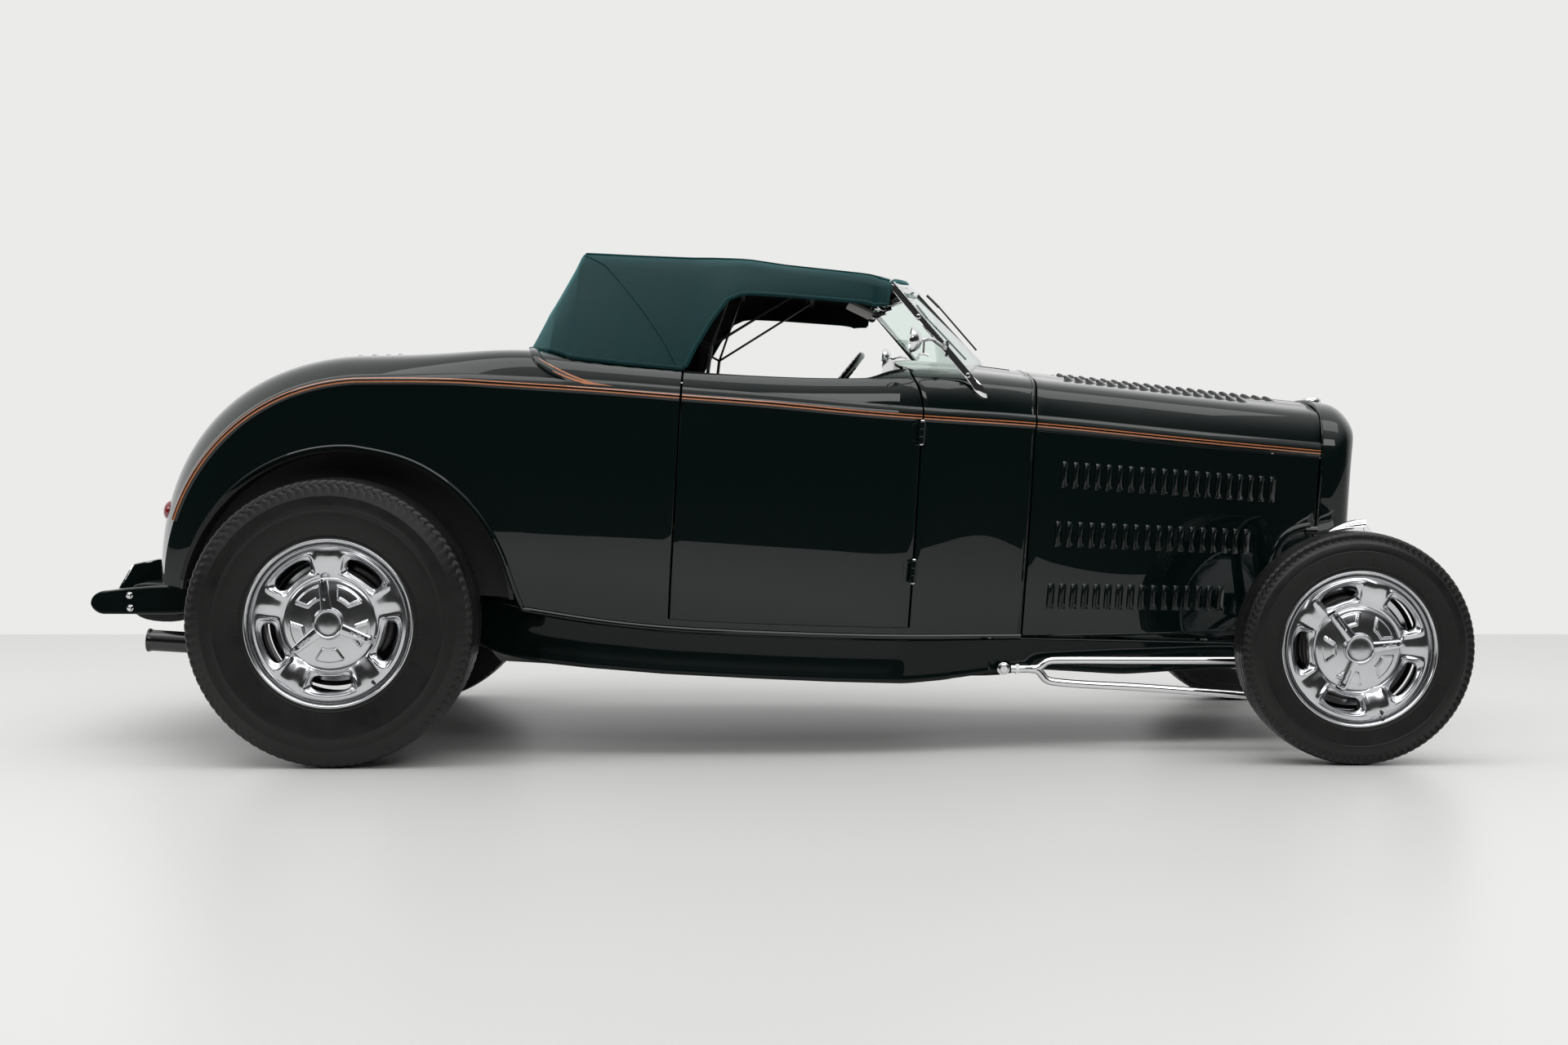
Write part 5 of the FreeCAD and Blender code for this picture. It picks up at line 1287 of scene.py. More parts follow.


# %% [markdown]
# The rest of the wheel is turned: the lip, the barrel behind it, the brake drum and the cap. Each of the
# cap's three bars is a small grid of its own with a black fill in its pocket as painted shade, and the
# wheel's nuts and the valve come last. Both sizes of wheel come from the same maker.

# %% Four wheels
def make_wheel(name, body, centre, rim_r, rim_wide, first, bars, side):
    """A whole wheel: barrel, lip, face with windows, dished centre, cap with bars, valve and drum."""
    wheel = Shape()
    grow, half = rim_r / 206, rim_wide / 2
    hub_grow = grow ** 0.2
    out = np.array((0, side, 0.0))

    def place(rows):
        r, turn, y = np.moveaxis(np.asarray(rows, float), -1, 0)
        return np.stack([np.cos(turn) * r * grow, side * (half + y), np.sin(turn) * r * grow], -1) / 1000 + centre

    def spun(rows, sides, finish=0, wide=1.0, off=half):
        """Turned rows of (distance out from the rim's edge, radius), in millimetres."""
        wheel.turned([((off + y) / 1000, q * wide / 1000) for y, q in rows], centre, out, sides, finish)

    for k in range(5):
        wheel.grid(place(wheel_window(math.radians(first + 72 * k))), around=True)
    round_way = np.linspace(0, 2 * np.pi, 240, endpoint=False)
    r = np.concatenate([np.linspace(36, 58, 6), np.linspace(58, 100, 36)[1:], [102, 106, 109, 111, 112.5, 113.5]])
    spread = np.stack(np.meshgrid(r, round_way, indexing="ij"), -1)
    r, turn = np.moveaxis(spread, -1, 0)
    drop = np.interp(r, (106, 109, 111, 112.5, 113.5), (0, 0.4, 1.0, 2.5, 6))
    height = face_height(r) + 2.2 + scoops(r, turn, math.radians(first)) - drop
    wheel.grid(place(np.stack([r, turn, height], -1)), around=True)
    lip = [(-30, 186), (-14.2, 186.5), (-15.5, 188), (-19, 189.5), (-20, 192), (-16, 195), (-8, 196.5),
           (-4, 198), (-2, 200), (-0.3, 201.5), (0, 203), (-0.6, 205), (-2.5, 206), (-7, 205.5), (-9, 203),
           (-12, 198)]
    spun(lip, 128, wide=grow)
    barrel = [(-half + 2, 205), (-half + 6, 197), (-half + 30, 190), (-half + 55, 176), (half - 60, 176),
              (half - 34, 184), (half - 14, 187)]
    spun([(y, q * grow - 2) for y, q in barrel], 96, off=0)
    spun([(-96, 40), (-96, 150), (-92, 166), (-84, 170), (-80, 168), (-90, 158)], 72)
    drum = [(-88, 40), (-88, 132), (-84, 140), (-80, 140), (-79, 136), (-76, 136), (-75, 140), (-70, 140),
            (-69, 136), (-66, 136), (-65, 140), (-62, 138), (-60, 132), (-60, 90), (-54, 80), (-46, 60),
            (-42, 36)]
    spun(drum, 72, 1)
    cap = [(-20, 44), (-9, 43), (-6, 40.5), (-4.5, 39), (-1.5, 38), (-0.6, 36.5), (-0.6, 35), (-2.2, 33.5),
           (-2.6, 31), (-1.6, 22), (-1.0, 10), (-0.9, 0)]
    spun(cap, 64)
    long, across = np.linspace(0, 1, 34)[:, None], np.linspace(-1, 1, 25)[None]
    for bar in bars:
        rounding = np.sqrt(np.clip(1 - (np.maximum(long - 0.94, 0) / 0.064) ** 2, 0.02, 1))
        half_wide = (15.5 - 4.0 * long) * rounding
        slot_wide = (1.6 + 3.4 * long) * np.sqrt(np.clip(1 - ((long - 0.62) / 0.31) ** 8, 0, 1))
        lateral = across * half_wide
        edge = np.clip((1 - abs(across)) * half_wide / 2.5, 0, 1)
        sunk = (abs(lateral) < slot_wide) * ease((slot_wide - abs(lateral)) / 0.8 + 0.2)
        high = -1.0 - 5.0 * long - 3.8 * across ** 2 - 3.0 * (1 - edge) ** 2 - 4.6 * sunk
        high[:, [0, -1]] = BAR_FOOT
        angle = math.radians(bar)
        turn = np.array([(math.cos(angle), math.sin(angle)), (-math.sin(angle), math.cos(angle))]) * hub_grow
        flat = np.stack(np.broadcast_arrays(36 + 80 * long, lateral, high), -1)
        flat = np.concatenate([flat, flat[-1:] * (1, 1, 0) + (0, 0, BAR_FOOT)])
        x, z = np.moveaxis(flat[..., :2] @ turn, -1, 0)
        wheel.grid(np.stack([x, side * (half + flat[..., 2]), z], -1) / 1000 + centre)
        # A black fill in the bar's pocket: painted shade where the polished recess falls into shadow.
        x, z = (POCKET @ turn).T
        wheel.fill(np.stack([x, np.full(8, side * (half - 9.6)), z], -1) / 1000 + centre, 2)
    stem = math.radians(first + 72 * 3 + 36)
    root = np.array((math.cos(stem) * 182 * grow, side * (half - 16), math.sin(stem) * 182 * grow)) / 1000 + centre
    tip = np.array((-math.cos(stem) * 6, side * 15, -math.sin(stem) * 6)) / 1000
    wheel.tube([root + tip * k for k in (0, 0.55, 0.6, 1)], [0.0042, 0.0042, 0.0034, 0.0034], 12, 2)
    for k in range(5):
        angle = math.radians(first + 36 + 72 * k)
        nut = np.array((math.cos(angle) * 57, side * (half - 62), math.sin(angle) * 57)) / 1000 + centre
        wheel.turned([(0, 0.010), (0.018, 0.010), (0.021, 0.007), (0.0212, 0)], nut, out, 6, 1)
    return wheel.made(name, body, polished, steel, black_satin, stands_for=(name.replace("_casting", ""),),
                      slot="wheel_alloy", sharp=46)


FRONT_X, WHEELBASE = 1.5622, 2.692
REAR_X = FRONT_X - WHEELBASE
# For each axle: the left wheel's centre, in metres, then the rim's radius and width, in millimetres.
AXLES = {"front": ((FRONT_X, 0.712, 0.308), 206, 138), "rear": ((REAR_X, 0.7205, 0.378), 221, 196)}
# How each wheel stands, in degrees: its first window, and the three bars of its cap.
STANDING = {("front", 1): (142, (53, 173, 293)), ("front", -1): (38, (127, 7, 247)),
            ("rear", 1): (125, (82, 322, 202)), ("rear", -1): (55, (98, 218, 338))}


def at_wheels(make):
    """Calls a maker for every wheel, with its names, its centre and the sizes of its rim."""
    for side, word in ((1, "left"), (-1, "right")):
        for axle, (centre, rim_r, rim_wide) in AXLES.items():
            make(axle, word, "%s_roller_%s" % (axle, word), np.array(centre) * (1, side, 1), rim_r, rim_wide, side)


at_wheels(lambda axle, word, body, centre, rim_r, rim_wide, side: make_wheel(
    "%s_wheel_%s_casting" % (axle, word), body, centre, rim_r, rim_wide, *STANDING[axle, side], side))

# %% [markdown]
# ## Tyres
# Plain black tyres without any lettering. The side walls carry a few fine ribs and short ticks from
# the mould, and the shoulders are cut into small blocks by narrow slots.

# %% Tyres
def make_tyre(name, body, centre, radius, wide, rim_r, rim_wide, side):
    """A tyre as one skin: bead, wall, slotted shoulder and grooved tread, and the same inboard."""
    tyre, half = Shape(), wide / 2
    bead_y = rim_wide / 2 - 6
    tall = radius - rim_r
    wall = [(rim_r - 13, bead_y - 6, 0), (rim_r - 5, bead_y + 1, 0), (rim_r + 1, bead_y + 5.5, 0),
            (rim_r + 4, bead_y + 6, 0), (rim_r + 7, bead_y + 5.6, 0), (rim_r + 8, bead_y + 6.8, 0),
            (rim_r + 10, bead_y + 6.8, 0), (rim_r + 11, bead_y + 5.8, 0)]
    bulge = natural([rim_r + 11, rim_r + tall * 0.42, rim_r + tall * 0.68, radius - 20, radius - 8],
                    [bead_y + 5.8, half - 1.0, half - 2.2, half - 10, half * 0.86])
    for share in (0.18, 0.28, 0.36, 0.42, 0.48, 0.49, 0.505, 0.515, 0.6, 0.68, 0.7, 0.71, 0.72):
        q = rim_r + tall * share
        wall.append((q, float(bulge(q)) + {0.49: 0.9, 0.505: 0.9, 0.70: 0.7, 0.71: 0.7}.get(share, 0), 0))
    for q, cut in ((radius - 24, 0), (radius - 22, 1), (radius - 17, 1), (radius - 12, 1), (radius - 8, 1),
                   (radius - 5, 1)):
        wall.append((q, float(bulge(min(q, radius - 8))) - (3.5 if q > radius - 8 else 0), cut))
    wall += [(radius - 2.6, half * 0.76, 1), (radius - 1.6, half * 0.66, 1), (radius - 1.5, half * 0.60, 0.6),
             (radius - 8, half * 0.59, 0), (radius - 8, half * 0.54, 0), (radius - 0.8, half * 0.53, 0.6),
             (radius - 0.4, half * 0.34, 0.6), (radius - 0.4, half * 0.28, 0.6), (radius - 8, half * 0.27, 0),
             (radius - 8, half * 0.22, 0), (radius, half * 0.21, 0.6), (radius, 0, 0.6)]
    wall = np.array(wall)
    wall_r, wall_y, cut = np.concatenate([wall, mirrored(wall[-2::-1])]).T[..., None]
    angle = np.linspace(0, 2 * np.pi, 384, endpoint=False)
    slot = cut * (np.arange(384) % 4 == 0)
    r = wall_r - 1.7 * slot * (wall_r > radius - 6)
    y = wall_y - 2.2 * np.sign(wall_y) * slot * (wall_r < radius - 4)
    twist = angle + 0.012 * np.sin(wall_r * 0.35) * cut
    points = np.stack([np.cos(twist) * r, side * y, np.sin(twist) * r], -1) / 1000 + centre
    tyre.grid(points, around=True)
    for k in range(24):
        way = math.radians(15 * k + 7)
        q = np.linspace(rim_r + 13, rim_r + 27 + (k % 3) * 5, 5)
        y = [float(bulge(v)) + 0.2 for v in q]
        tyre.tube(np.stack([np.cos(way) * q, side * np.array(y), np.sin(way) * q], -1) / 1000 + centre, 0.0006, 6)
    return tyre.made(name, body, rubber, stands_for=(name.replace("_tread", ""),), slot="tyre_rubber", sharp=35)


TYRES = {"front": (308, 147), "rear": (378, 216)}
at_wheels(lambda axle, word, body, centre, rim_r, rim_wide, side: make_tyre(
    "%s_tyre_%s_tread" % (axle, word), body, centre, *TYRES[axle], rim_r, rim_wide, side))

# %% [markdown]
# ## Soft top
# The top is one sheet of lined cloth, stretched over a header and three bows. It turns softly over the
# roof's edge, drops to a short side panel behind the door and slopes down to the tulip panel. A welt
# runs along the roof's edge, a seam runs from the rear bow to the lower front corner, and the hem is
# gathered a little where it is fixed down. Inside hangs a black lining.

# %% The stretched sheet
TOP = np.array([  # x, low y z, side y z, corner y z, crown z
    (-350, 556, 882, 552, 918, 520, 951, 970), (-421, 570, 878, 568, 918, 545, 960, 982),
    (-514, 575, 885, 572, 920, 540, 966, 990), (-712, 590, 888, 582, 930, 530, 975, 1003),
    (-805, 600, 887, 592, 930, 518, 984, 1010), (-832, 606, 882, 596, 930, 515, 985, 1011),
    (-864, 618, 866, 600, 922, 511, 985, 1011), (-903, 634, 807, 606, 905, 505, 985, 1010),
    (-942, 646, 731, 611, 880, 500, 984, 1008), (-964, 652, 679, 615, 850, 498, 983, 1008),
    (-1133, 656, 0, 612, 840, 480, 981, 1004), (-1262, 654, 0, 590, 830, 462, 981, 999),
    (-1272, 651, 0, 588, 826, 461, 972, 990), (-1290, 640, 0, 580, 812, 460, 930, 948),
    (-1330, 606, 0, 560, 780, 455, 850, 868), (-1364, 538, 0, 513, 747, 452, 787, 803),
    (-1398, 470, 0, 466, 714, 450, 724, 738)], float)[::-1]
CLOTH_THICK = 4.0
WINDOW_X, WINDOW_HALF = (-1352, -1306), 270


def on_body(x, y):
    """Height of the body's skin under a point of the top's hem."""
    u = NOSE_X - np.asarray(x, float)
    return upper(u, turn_of(u, np.abs(y)))[..., 2]


def hem_at(x):
    """The lower edge of the cloth: distance from the middle, and height."""
    y, z = np.interp(x, TOP[:, 0], TOP[:, 1]), np.interp(x, TOP[:, 0], np.where(TOP[:, 2] > 0, TOP[:, 2], 679))
    rests = x < -964
    z = np.where(rests, on_body(np.minimum(x, -964), np.where(rests, y, 640)) + 1.5, z)
    return y, z


def curve_of(s, start, pull, end):
    """A plain curve from start to end, pulled toward a third point."""
    return (1 - s) ** 2 * start + 2 * s * (1 - s) * pull + s ** 2 * end


def top_half(x):
    """Rows of the left half of the cloth from hem to crown, at stations x."""
    low_z = hem_at(x)[1]
    side_y, side_z, corner_y, corner_z, crown_z = (np.interp(x, TOP[:, 0], TOP[:, k]) for k in range(3, 8))
    low, side, corner = (np.stack([x, *place], -1) for place in (hem_at(x), (side_y, side_z), (corner_y, corner_z)))
    bend, room = np.clip((corner_z - low_z) * 0.4, 12, 52), np.linalg.norm(side - corner, axis=-1) * 0.85
    bend_from = corner + unit(side - corner) * np.minimum(bend, room)[:, None]
    toward = np.stack([x, corner_y * 0.5, crown_z - (crown_z - corner_z) * 0.25], -1)
    bend_to = corner + unit(toward - corner) * 58
    belly = side * 0.5 + (low + bend_from) * 0.25
    rows = [curve_of(s, low, belly, bend_from) for s in np.linspace(0, 1, 16)]
    rows += [curve_of(s, bend_from, corner, bend_to) for s in np.linspace(0, 1, 9)[1:]]
    last = rows[-1]
    y_start = last[:, 1]
    for s in np.linspace(0, 1, 22)[1:]:
        y = np.where(s < 0.5, y_start + (WINDOW_HALF - y_start) * s * 2, WINDOW_HALF * 2 * (1 - s))
        z = crown_z - (crown_z - last[:, 2]) * (y / y_start) ** 2
        rows.append(np.stack([x, y, z], -1))
    return np.stack(rows)


# %% [markdown]
# The rows are laid out at close stations, and the cloth is then given its life: a slight sag between the
# bows, a gathered hem, and a slow drift that no two places share. An inner skin follows four
# millimetres inside, and a rectangle is left open for the rear window.

# %% Sag, gathers and the opening
STATIONS = (-1398, *WINDOW_X, -1262, -964, -832, -421, -350)
top_x = np.concatenate([np.linspace(start, end, count)[:-1] for start, end, count in
                        zip(STATIONS, STATIONS[1:], (14, 13, 16, 40, 30, 50, 12))] + [[-350.0]])
half_top = top_half(top_x)
share = np.linspace(0, 1, len(half_top))[:, None]
span = ease((top_x + 1262) / 60) * ease((-360 - top_x) / 60)
sag = sum(np.sin(np.clip((top_x - start) / long, 0, 1) * np.pi) ** 2 for start, long in ((-1262, 422), (-840, 485)))
gather = np.exp(-share / 0.035) * np.sin(top_x / 7.5 + 1.3 * np.sin(top_x / 41)) * (top_x < -985)
half_top = half_top + np.stack([0 * gather, 1.6 * gather, -3.0 * sag[None] * ease((share - 0.45) * 6)], -1)
drift = 0.9 * np.sin(top_x / 83 + share * 5) * np.sin(share * 9 + top_x / 151) * span[None]
half_top = half_top + np.stack([0 * drift, drift, 0 * drift], -1)
rim_low = on_body(np.full(len(half_top), -1398.0), np.minimum(half_top[:, 0, 1], 452)) + 2
drop = np.clip(half_top[:, 0, 2] - rim_low, -6, 60)
half_top[..., 2] -= np.clip((-1352 - top_x) / 46, 0, 1)[None] * drop[:, None]
print("rear hem lowered by", round(float(drop.max()), 1), "mm")
half_top[..., 0] -= ease((half_top[..., 0] + 505) / 150) * 80 * (half_top[..., 1] / 545) ** 2
whole_top = np.concatenate([half_top, mirrored(half_top[-2::-1])])
inner_top = whole_top - outward(whole_top) * CLOTH_THICK
top = Shape()
columns = (top_x[:-1] >= WINDOW_X[0] - 0.01) & (top_x[:-1] < WINDOW_X[1] - 0.01)
first = int(np.argmax(columns))
last = first + int(columns.sum())
mid = len(half_top) - 1
low_row = int(np.argmin(abs(half_top[:, first, 1] - WINDOW_HALF) + 999 * (half_top[:, first, 2] < 700)))
rows_in = (low_row, 2 * mid - low_row)
for sheet, finish in ((whole_top, 0), (inner_top, 1)):
    sheet = level(sheet)
    top.grid(sheet[:, :first + 1], finish)
    top.grid(sheet[:, last:], finish)
    top.grid(sheet[:rows_in[0] + 1, first:last + 1], finish)
    top.grid(sheet[rows_in[1]:, first:last + 1], finish)
top.rim(level(whole_top), level(inner_top))
# %% [markdown]
# Welts and seams are fine tubes laid on the cloth: round the window, along the lower edges, where the
# back meets the roof, and down each side from the rear bow.

# %% Welts and seams
window, window_in = (np.concatenate([sheet[rows_in[0]:rows_in[1] + 1, first],
                                     sheet[rows_in[1], first + 1:last + 1],
                                     sheet[rows_in[0]:rows_in[1], last][::-1],
                                     sheet[rows_in[0], first + 1:last][::-1]])
                     for sheet in (whole_top, inner_top))
top.grid(level(np.stack([window, window_in])), 0, around=True)
top.tube(level(window), 0.0075, 10, 0, loop=True, flat=(1.0, 0.45), up=level_way((-0.85, 0, 0.52)))
hem = whole_top[0][top_x <= -964] + (0, 1.0, 5)
for side in (1, -1):
    top.tube(on_side(half_top[0][top_x >= -964], side), 0.0055, 10, 0, up=(0, 1, 0.01))
    top.tube(on_side(hem, side), 0.006, 8, 0, up=(0, 1, 0.01), flat=(1.0, 0.4))
    seam = (whole_top + outward(whole_top) * 0.6)[20][top_x >= -1262]
    top.tube(on_side(seam, side), 0.0024, 8)
    share = np.linspace(0, 1, 60)
    at, up_row = top_half(-1264 + share * 282), (1 - share) ** 0.9 * 19
    seam = np.stack([at[int(r), k] * (1 - r % 1) + at[int(r) + 1, k] * (r % 1) for k, r in enumerate(up_row)])
    top.tube(on_side(seam + (0, 1.0, 0.4), side), 0.0019, 8)
top.tube(level(whole_top[:, -1]), 0.0052, 10, 0, up=(1, 0, 0))
top_piece = top.made("soft_top_cloth", "chassis", cloth, lining, sharp=50, stands_for=("soft_top",),
                     slot="top_cloth")

# %% [markdown]
# A curved pane fills the opening in the back. Under the cloth three bows hold it up, and flat links
# join them at a knee on each side.

# %% Rear window and bows
glazing = Shape()
pane = (whole_top[rows_in[0]:rows_in[1] + 1, first:last + 1]
        + inner_top[rows_in[0]:rows_in[1] + 1, first:last + 1]) / 2
lift = outward(pane)
glass_out, glass_in = level(pane + lift), level(pane - lift)
glazing.grid(glass_out).grid(glass_in).rim(glass_out, glass_in)
glazing.made("rear_window", "chassis", lamp_glass, sharp=38)

bows = Shape()
for x in (-1256, -842, -620):
    arc = top_half(np.array([float(x)]))[3 if x < -1200 else 12:, 0]
    arc = np.concatenate([arc, mirrored(arc[-2::-1])])
    centre = np.array((x, 0, 780.0))
    inset = arc - unit((arc - centre) * (0, 1, 1)) * 21
    bows.tube(level(inset), 0.009, 10, up=(1, 0, 0), flat=(0.7, 1.5))
for side in (1, -1):
    knee = np.array((-900, 560 * side, 742.0))
    for x, z, y in ((-842, 945, 540), (-620, 940, 528), (-1240, 900, 505)):
        bows.tube(level([knee, (x, y * side, z)]), 0.006, 8, up=(0, 1, 0), flat=(0.6, 1.5))
    bows.tube(level([knee, (-905, 596 * side, 668)]), 0.008, 8, up=(0, 1, 0), flat=(0.6, 1.5))
bows.made("top_bows", "chassis", black_satin, sharp=38)

# %% [markdown]
# ## Windshield
# Two flat panes meet in a shallow V. Each pane has a slim chrome frame. A flat chrome post stands at
# each end and runs down past the cowl to a pointed foot, and a chrome cap covers the header.

# %% Posts, frames and glass
POST_LOW, POST_HIGH = np.array((-165, 522, 668.0)), np.array((-423, 531, 937.0))
MID_LOW, MID_HIGH = np.array((-113, 0, 752.0)), np.array((-316, 0, 952.0))


def smooth_path(points, count):
    """A natural curve through a few points."""
    reach = reach_of(points)
    return natural(reach, points)(np.linspace(0, reach[-1], count))


def between(a, b, count):
    """Points in a straight line from one point to another."""
    return a + np.linspace(0, 1, count)[:, None] * np.subtract(b, a)


screen, panes = Shape(), Shape()
SLAB = np.array([(-1, -0.8), (-0.8, -1), (0.8, -1), (1, -0.8), (1, 0.8), (0.8, 1), (-0.8, 1), (-1, 0.8)])
for side in (1, -1):
    post = np.concatenate([between(POST_HIGH + (-2, 0, 4), POST_LOW + (-20, 4, 22), 20),
                           smooth_path([POST_LOW + (-16, 4, 18), POST_LOW + (2, 4, -2),
                                        POST_LOW + (20, 2, -20)], 8)])
    wide = np.concatenate([np.full(20, 0.0098), np.interp(np.linspace(0, 1, 8), (0, 0.35, 0.8, 1),
                                                          (0.0105, 0.013, 0.008, 0.0015))])
    screen.tube(on_side(post, side), wide, up=(0, 1, 0.01), outline=SLAB * (1.0, 0.5))
    low_bar = smooth_path([POST_LOW + (-10, -8, 16), (POST_LOW + MID_LOW) / 2 + (2, 0, 5),
                           MID_LOW + (-3, 3, 6)], 20)
    screen.tube(on_side(low_bar, side), 0.0085, up=(0.7, 0, 0.7), outline=SLAB * (0.7, 1.1))
    high_bar = smooth_path([POST_HIGH + (4, 0, -3), (POST_HIGH + MID_HIGH) / 2 + (4, 0, 3),
                            MID_HIGH + (0, 3, 0)], 20)
    screen.tube(on_side(high_bar, side), 0.0085, up=(0.7, 0, 0.7), outline=SLAB * (0.8, 1.2))
    cap = smooth_path([POST_HIGH + (4, 4, -3), POST_HIGH + (5, -14, 2), POST_HIGH + (10, -100, 5),
                       (POST_HIGH + MID_HIGH) / 2 + (2, 0, 4), MID_HIGH + (-9, 3, 1)], 30)
    screen.tube(on_side(cap, side), np.interp(np.linspace(0, 1, 30), (0, 0.06, 0.14, 1),
                                              (0.006, 0.0125, 0.0140, 0.0140)), 16, up=(0.7, 0, 0.7),
                flat=(1.25, 0.72))
    for shift in (-7, 7):
        inner = between(MID_HIGH + (0, abs(shift), 0), MID_LOW + (0, abs(shift), 4), 14)
        screen.tube(on_side(inner, side), 0.0048, up=(0, 1, 0.01), outline=SLAB * (1.0, 0.8))
    inboard = between(POST_HIGH + (6, -12, 0), POST_LOW + (-8, -12, 14), 14)
    screen.tube(on_side(inboard, side), 0.0062, up=(0, 1, 0.01), outline=SLAB * (1.0, 0.8))
    for share in (0.30, 0.86):
        bolt = POST_HIGH + (POST_LOW - POST_HIGH) * share + (0, 9, 0)
        screen.turned([(0, 0.007), (0.003, 0.007), (0.004, 0.005), (0.0065, 0.004), (0.007, 0)],
                      on_side(bolt, side), level_way((0, side, 0)), 16)
    low_out, high_out, high_mid, low_mid = (POST_LOW + (0, -12, 10), POST_HIGH + (0, -12, -8),
                                            MID_HIGH + (0, 8, -6), MID_LOW + (0, 8, 10))
    inward, upward = np.linspace(0, 1, 8)[:, None, None], np.linspace(0, 1, 12)[None, :, None]
    outer, inner = low_out + upward * (high_out - low_out), low_mid + upward * (high_mid - low_mid)
    flat = outer + inward * (inner - outer)
    normal = outward(flat)
    front, back = (on_side(flat + normal * 2.6 * k, side) for k in (1, -1))
    panes.grid(front).grid(back).rim(front, back)
wiper = smooth_path([(-296, -14, 945), (-280, -26, 930), (-262, -40, 912)], 8)
screen.tube(level(wiper + (9, 0, 6)), 0.004, 8, 1)
screen.tube(level(between((-268, -34, 916), (-148, -90, 786), 20) + (9, 0, 10)), 0.0028, 8, 1)
screen.made("windshield_posts", "chassis", chrome, black_gloss, stands_for=("windshield_frame",), sharp=30,
            slot="chrome")
panes.made("windshield_panes", "chassis", screen_glass, stands_for=("windshield_glass",), sharp=20,
           slot="screen_glass")

# %% [markdown]
# Two pale sun visors lie folded back under the header, each on a black rod held by small clamps.

# %% Sun visors
def rounded(half_wide, half_high, radius, count=6):
    """The outline of a rectangle with round corners, about its own middle."""
    half, radius = np.array((half_wide, half_high)), np.broadcast_to(radius, 2)
    corners = []
    for way, turn in (((1, 1), 0), ((-1, 1), 90), ((-1, -1), 180), ((1, -1), 270)):
        angle = np.radians(turn + np.linspace(0, 90, count))[:, None]
        corners.append(way * (half - radius) + radius * np.hstack([np.cos(angle), np.sin(angle)]))
    return np.vstack(corners)


visors = Shape()
for side in (1, -1):
    flaps = [(-424 - 84 * (0.5 - b), (310 + 300 * a) * side, 894 + 34 * (0.5 - b))
             for a, b in rounded(0.5, 0.5, (0.06, 0.14))]
    visors.plate(level(flaps), level_way((0.37, 0, 0.93)), 0.007)
    visors.tube(level([(-424, 150 * side, 898), (-424, 470 * side, 898)]), 0.005, 10, 1)
    for y in (200, 420):
        visors.tube(level([(-421, y * side, 899), (-398, y * side, 914), (-378, y * side, 922)]), 0.006, 10, 1)
        visors.turned([(0, 0), (0, 0.011), (0.014, 0.011), (0.014, 0)], level((-424, (y - 7) * side, 898)),
                      level_way((0, side, 0)), 16, 1)
visors.made("sun_visors", "chassis", finish_of("visor_card", (0.66, 0.60, 0.56), (0.76, 0.70, 0.66), 0.5, 0.6,
                                               tone=30.0), black_gloss)

# %% [markdown]
# Round chrome mirrors stand off the posts on short curved arms, each clamped with a small wing knob.
# Each head is one outline turned about its own axis.

# %% Mirrors
mirror_pair = Shape()
for side in (1, -1):
    centre, rear_way = np.array((-366, 651 * side, 786.0)), level_way((-1, 0.0, 0.04))
    mirror_pair.turned([(-0.026, 0), (-0.0255, 0.008), (-0.022, 0.018), (-0.015, 0.026), (-0.007, 0.031),
                        (0, 0.0335), (0.003, 0.034), (0.005, 0.033), (0.0055, 0.031), (0.004, 0.030),
                        (0.003, 0.0295), (0.003, 0)], level(centre), rear_way, 48)
    arm = smooth_path([(-343, 651, 786), (-322, 636, 792), (-300, 590, 790), (-268, 538, 776)], 24)
    mirror_pair.tube(on_side(arm, side), 0.0055, 12)
    mirror_pair.tube(level([(-262, 522 * side, 792), (-262, 548 * side, 792), (-262, 548 * side, 758),
                            (-262, 522 * side, 758)]), 0.006, 10)
    knob = np.array((-334, 646 * side, 748.0))
    mirror_pair.tube(level([knob + (0, 0, 36), knob + (0, 0, 4)]), 0.0032, 10)
    mirror_pair.tube(level([knob + (-14, 0, 0), knob + (-5, 0, 3), knob + (5, 0, 3), knob + (14, 0, 0)]),
                     0.0035, 10)
mirror_pair.made("door_mirrors", "chassis", chrome, stands_for=("mirrors",), slot="chrome")

# %% [markdown]
# The tail lamps are small red domes in chrome rings, one on each side of the tail.

# %% Tail lamps
tail_lamps = Shape()
for side in (1, -1):
    centre, way = level((-2329, 480 * side, 205)), level_way((-1, 0.12 * side, 0.05))
    tail_lamps.turned([(-0.01, 0.0), (-0.01, 0.033), (0.008, 0.0335), (0.014, 0.033), (0.0165, 0.031)], centre,
                      way, 48, 1)
    tail_lamps.turned([(0.014, 0.0305), (0.022, 0.0295), (0.030, 0.026), (0.037, 0.019), (0.041, 0.010),
                       (0.042, 0.0)], centre, way, 48, 0)
tail_lamps.made("tail_lamps", "chassis", red_lens, chrome, stands_for=("taillights",), sharp=45, slot="lamp_red")

# %% [markdown]
# ## Number plate
# A blank plate leans back on a bracket between the horns. Its outline is repeated in a few narrow
# steps, each drawn in and lifted a little, so that a raised border runs round the face.

# %% Number plate
plate = Shape()
lean = math.radians(47)
plate_up, plate_out = np.array((math.sin(lean), 0, math.cos(lean))), np.array((-math.cos(lean), 0, math.sin(lean)))
low_edge = np.array((-2572, 0, -62.0))


def plate_outline(inset, lift):
    """The plate's outline, drawn in by an inset and lifted off its back."""
    y, z = rounded(152.5 - inset, 76 - inset, 12 - inset).T[..., None]
    return low_edge + y * (0, 1, 0) + (z + 76) * plate_up + plate_out * lift


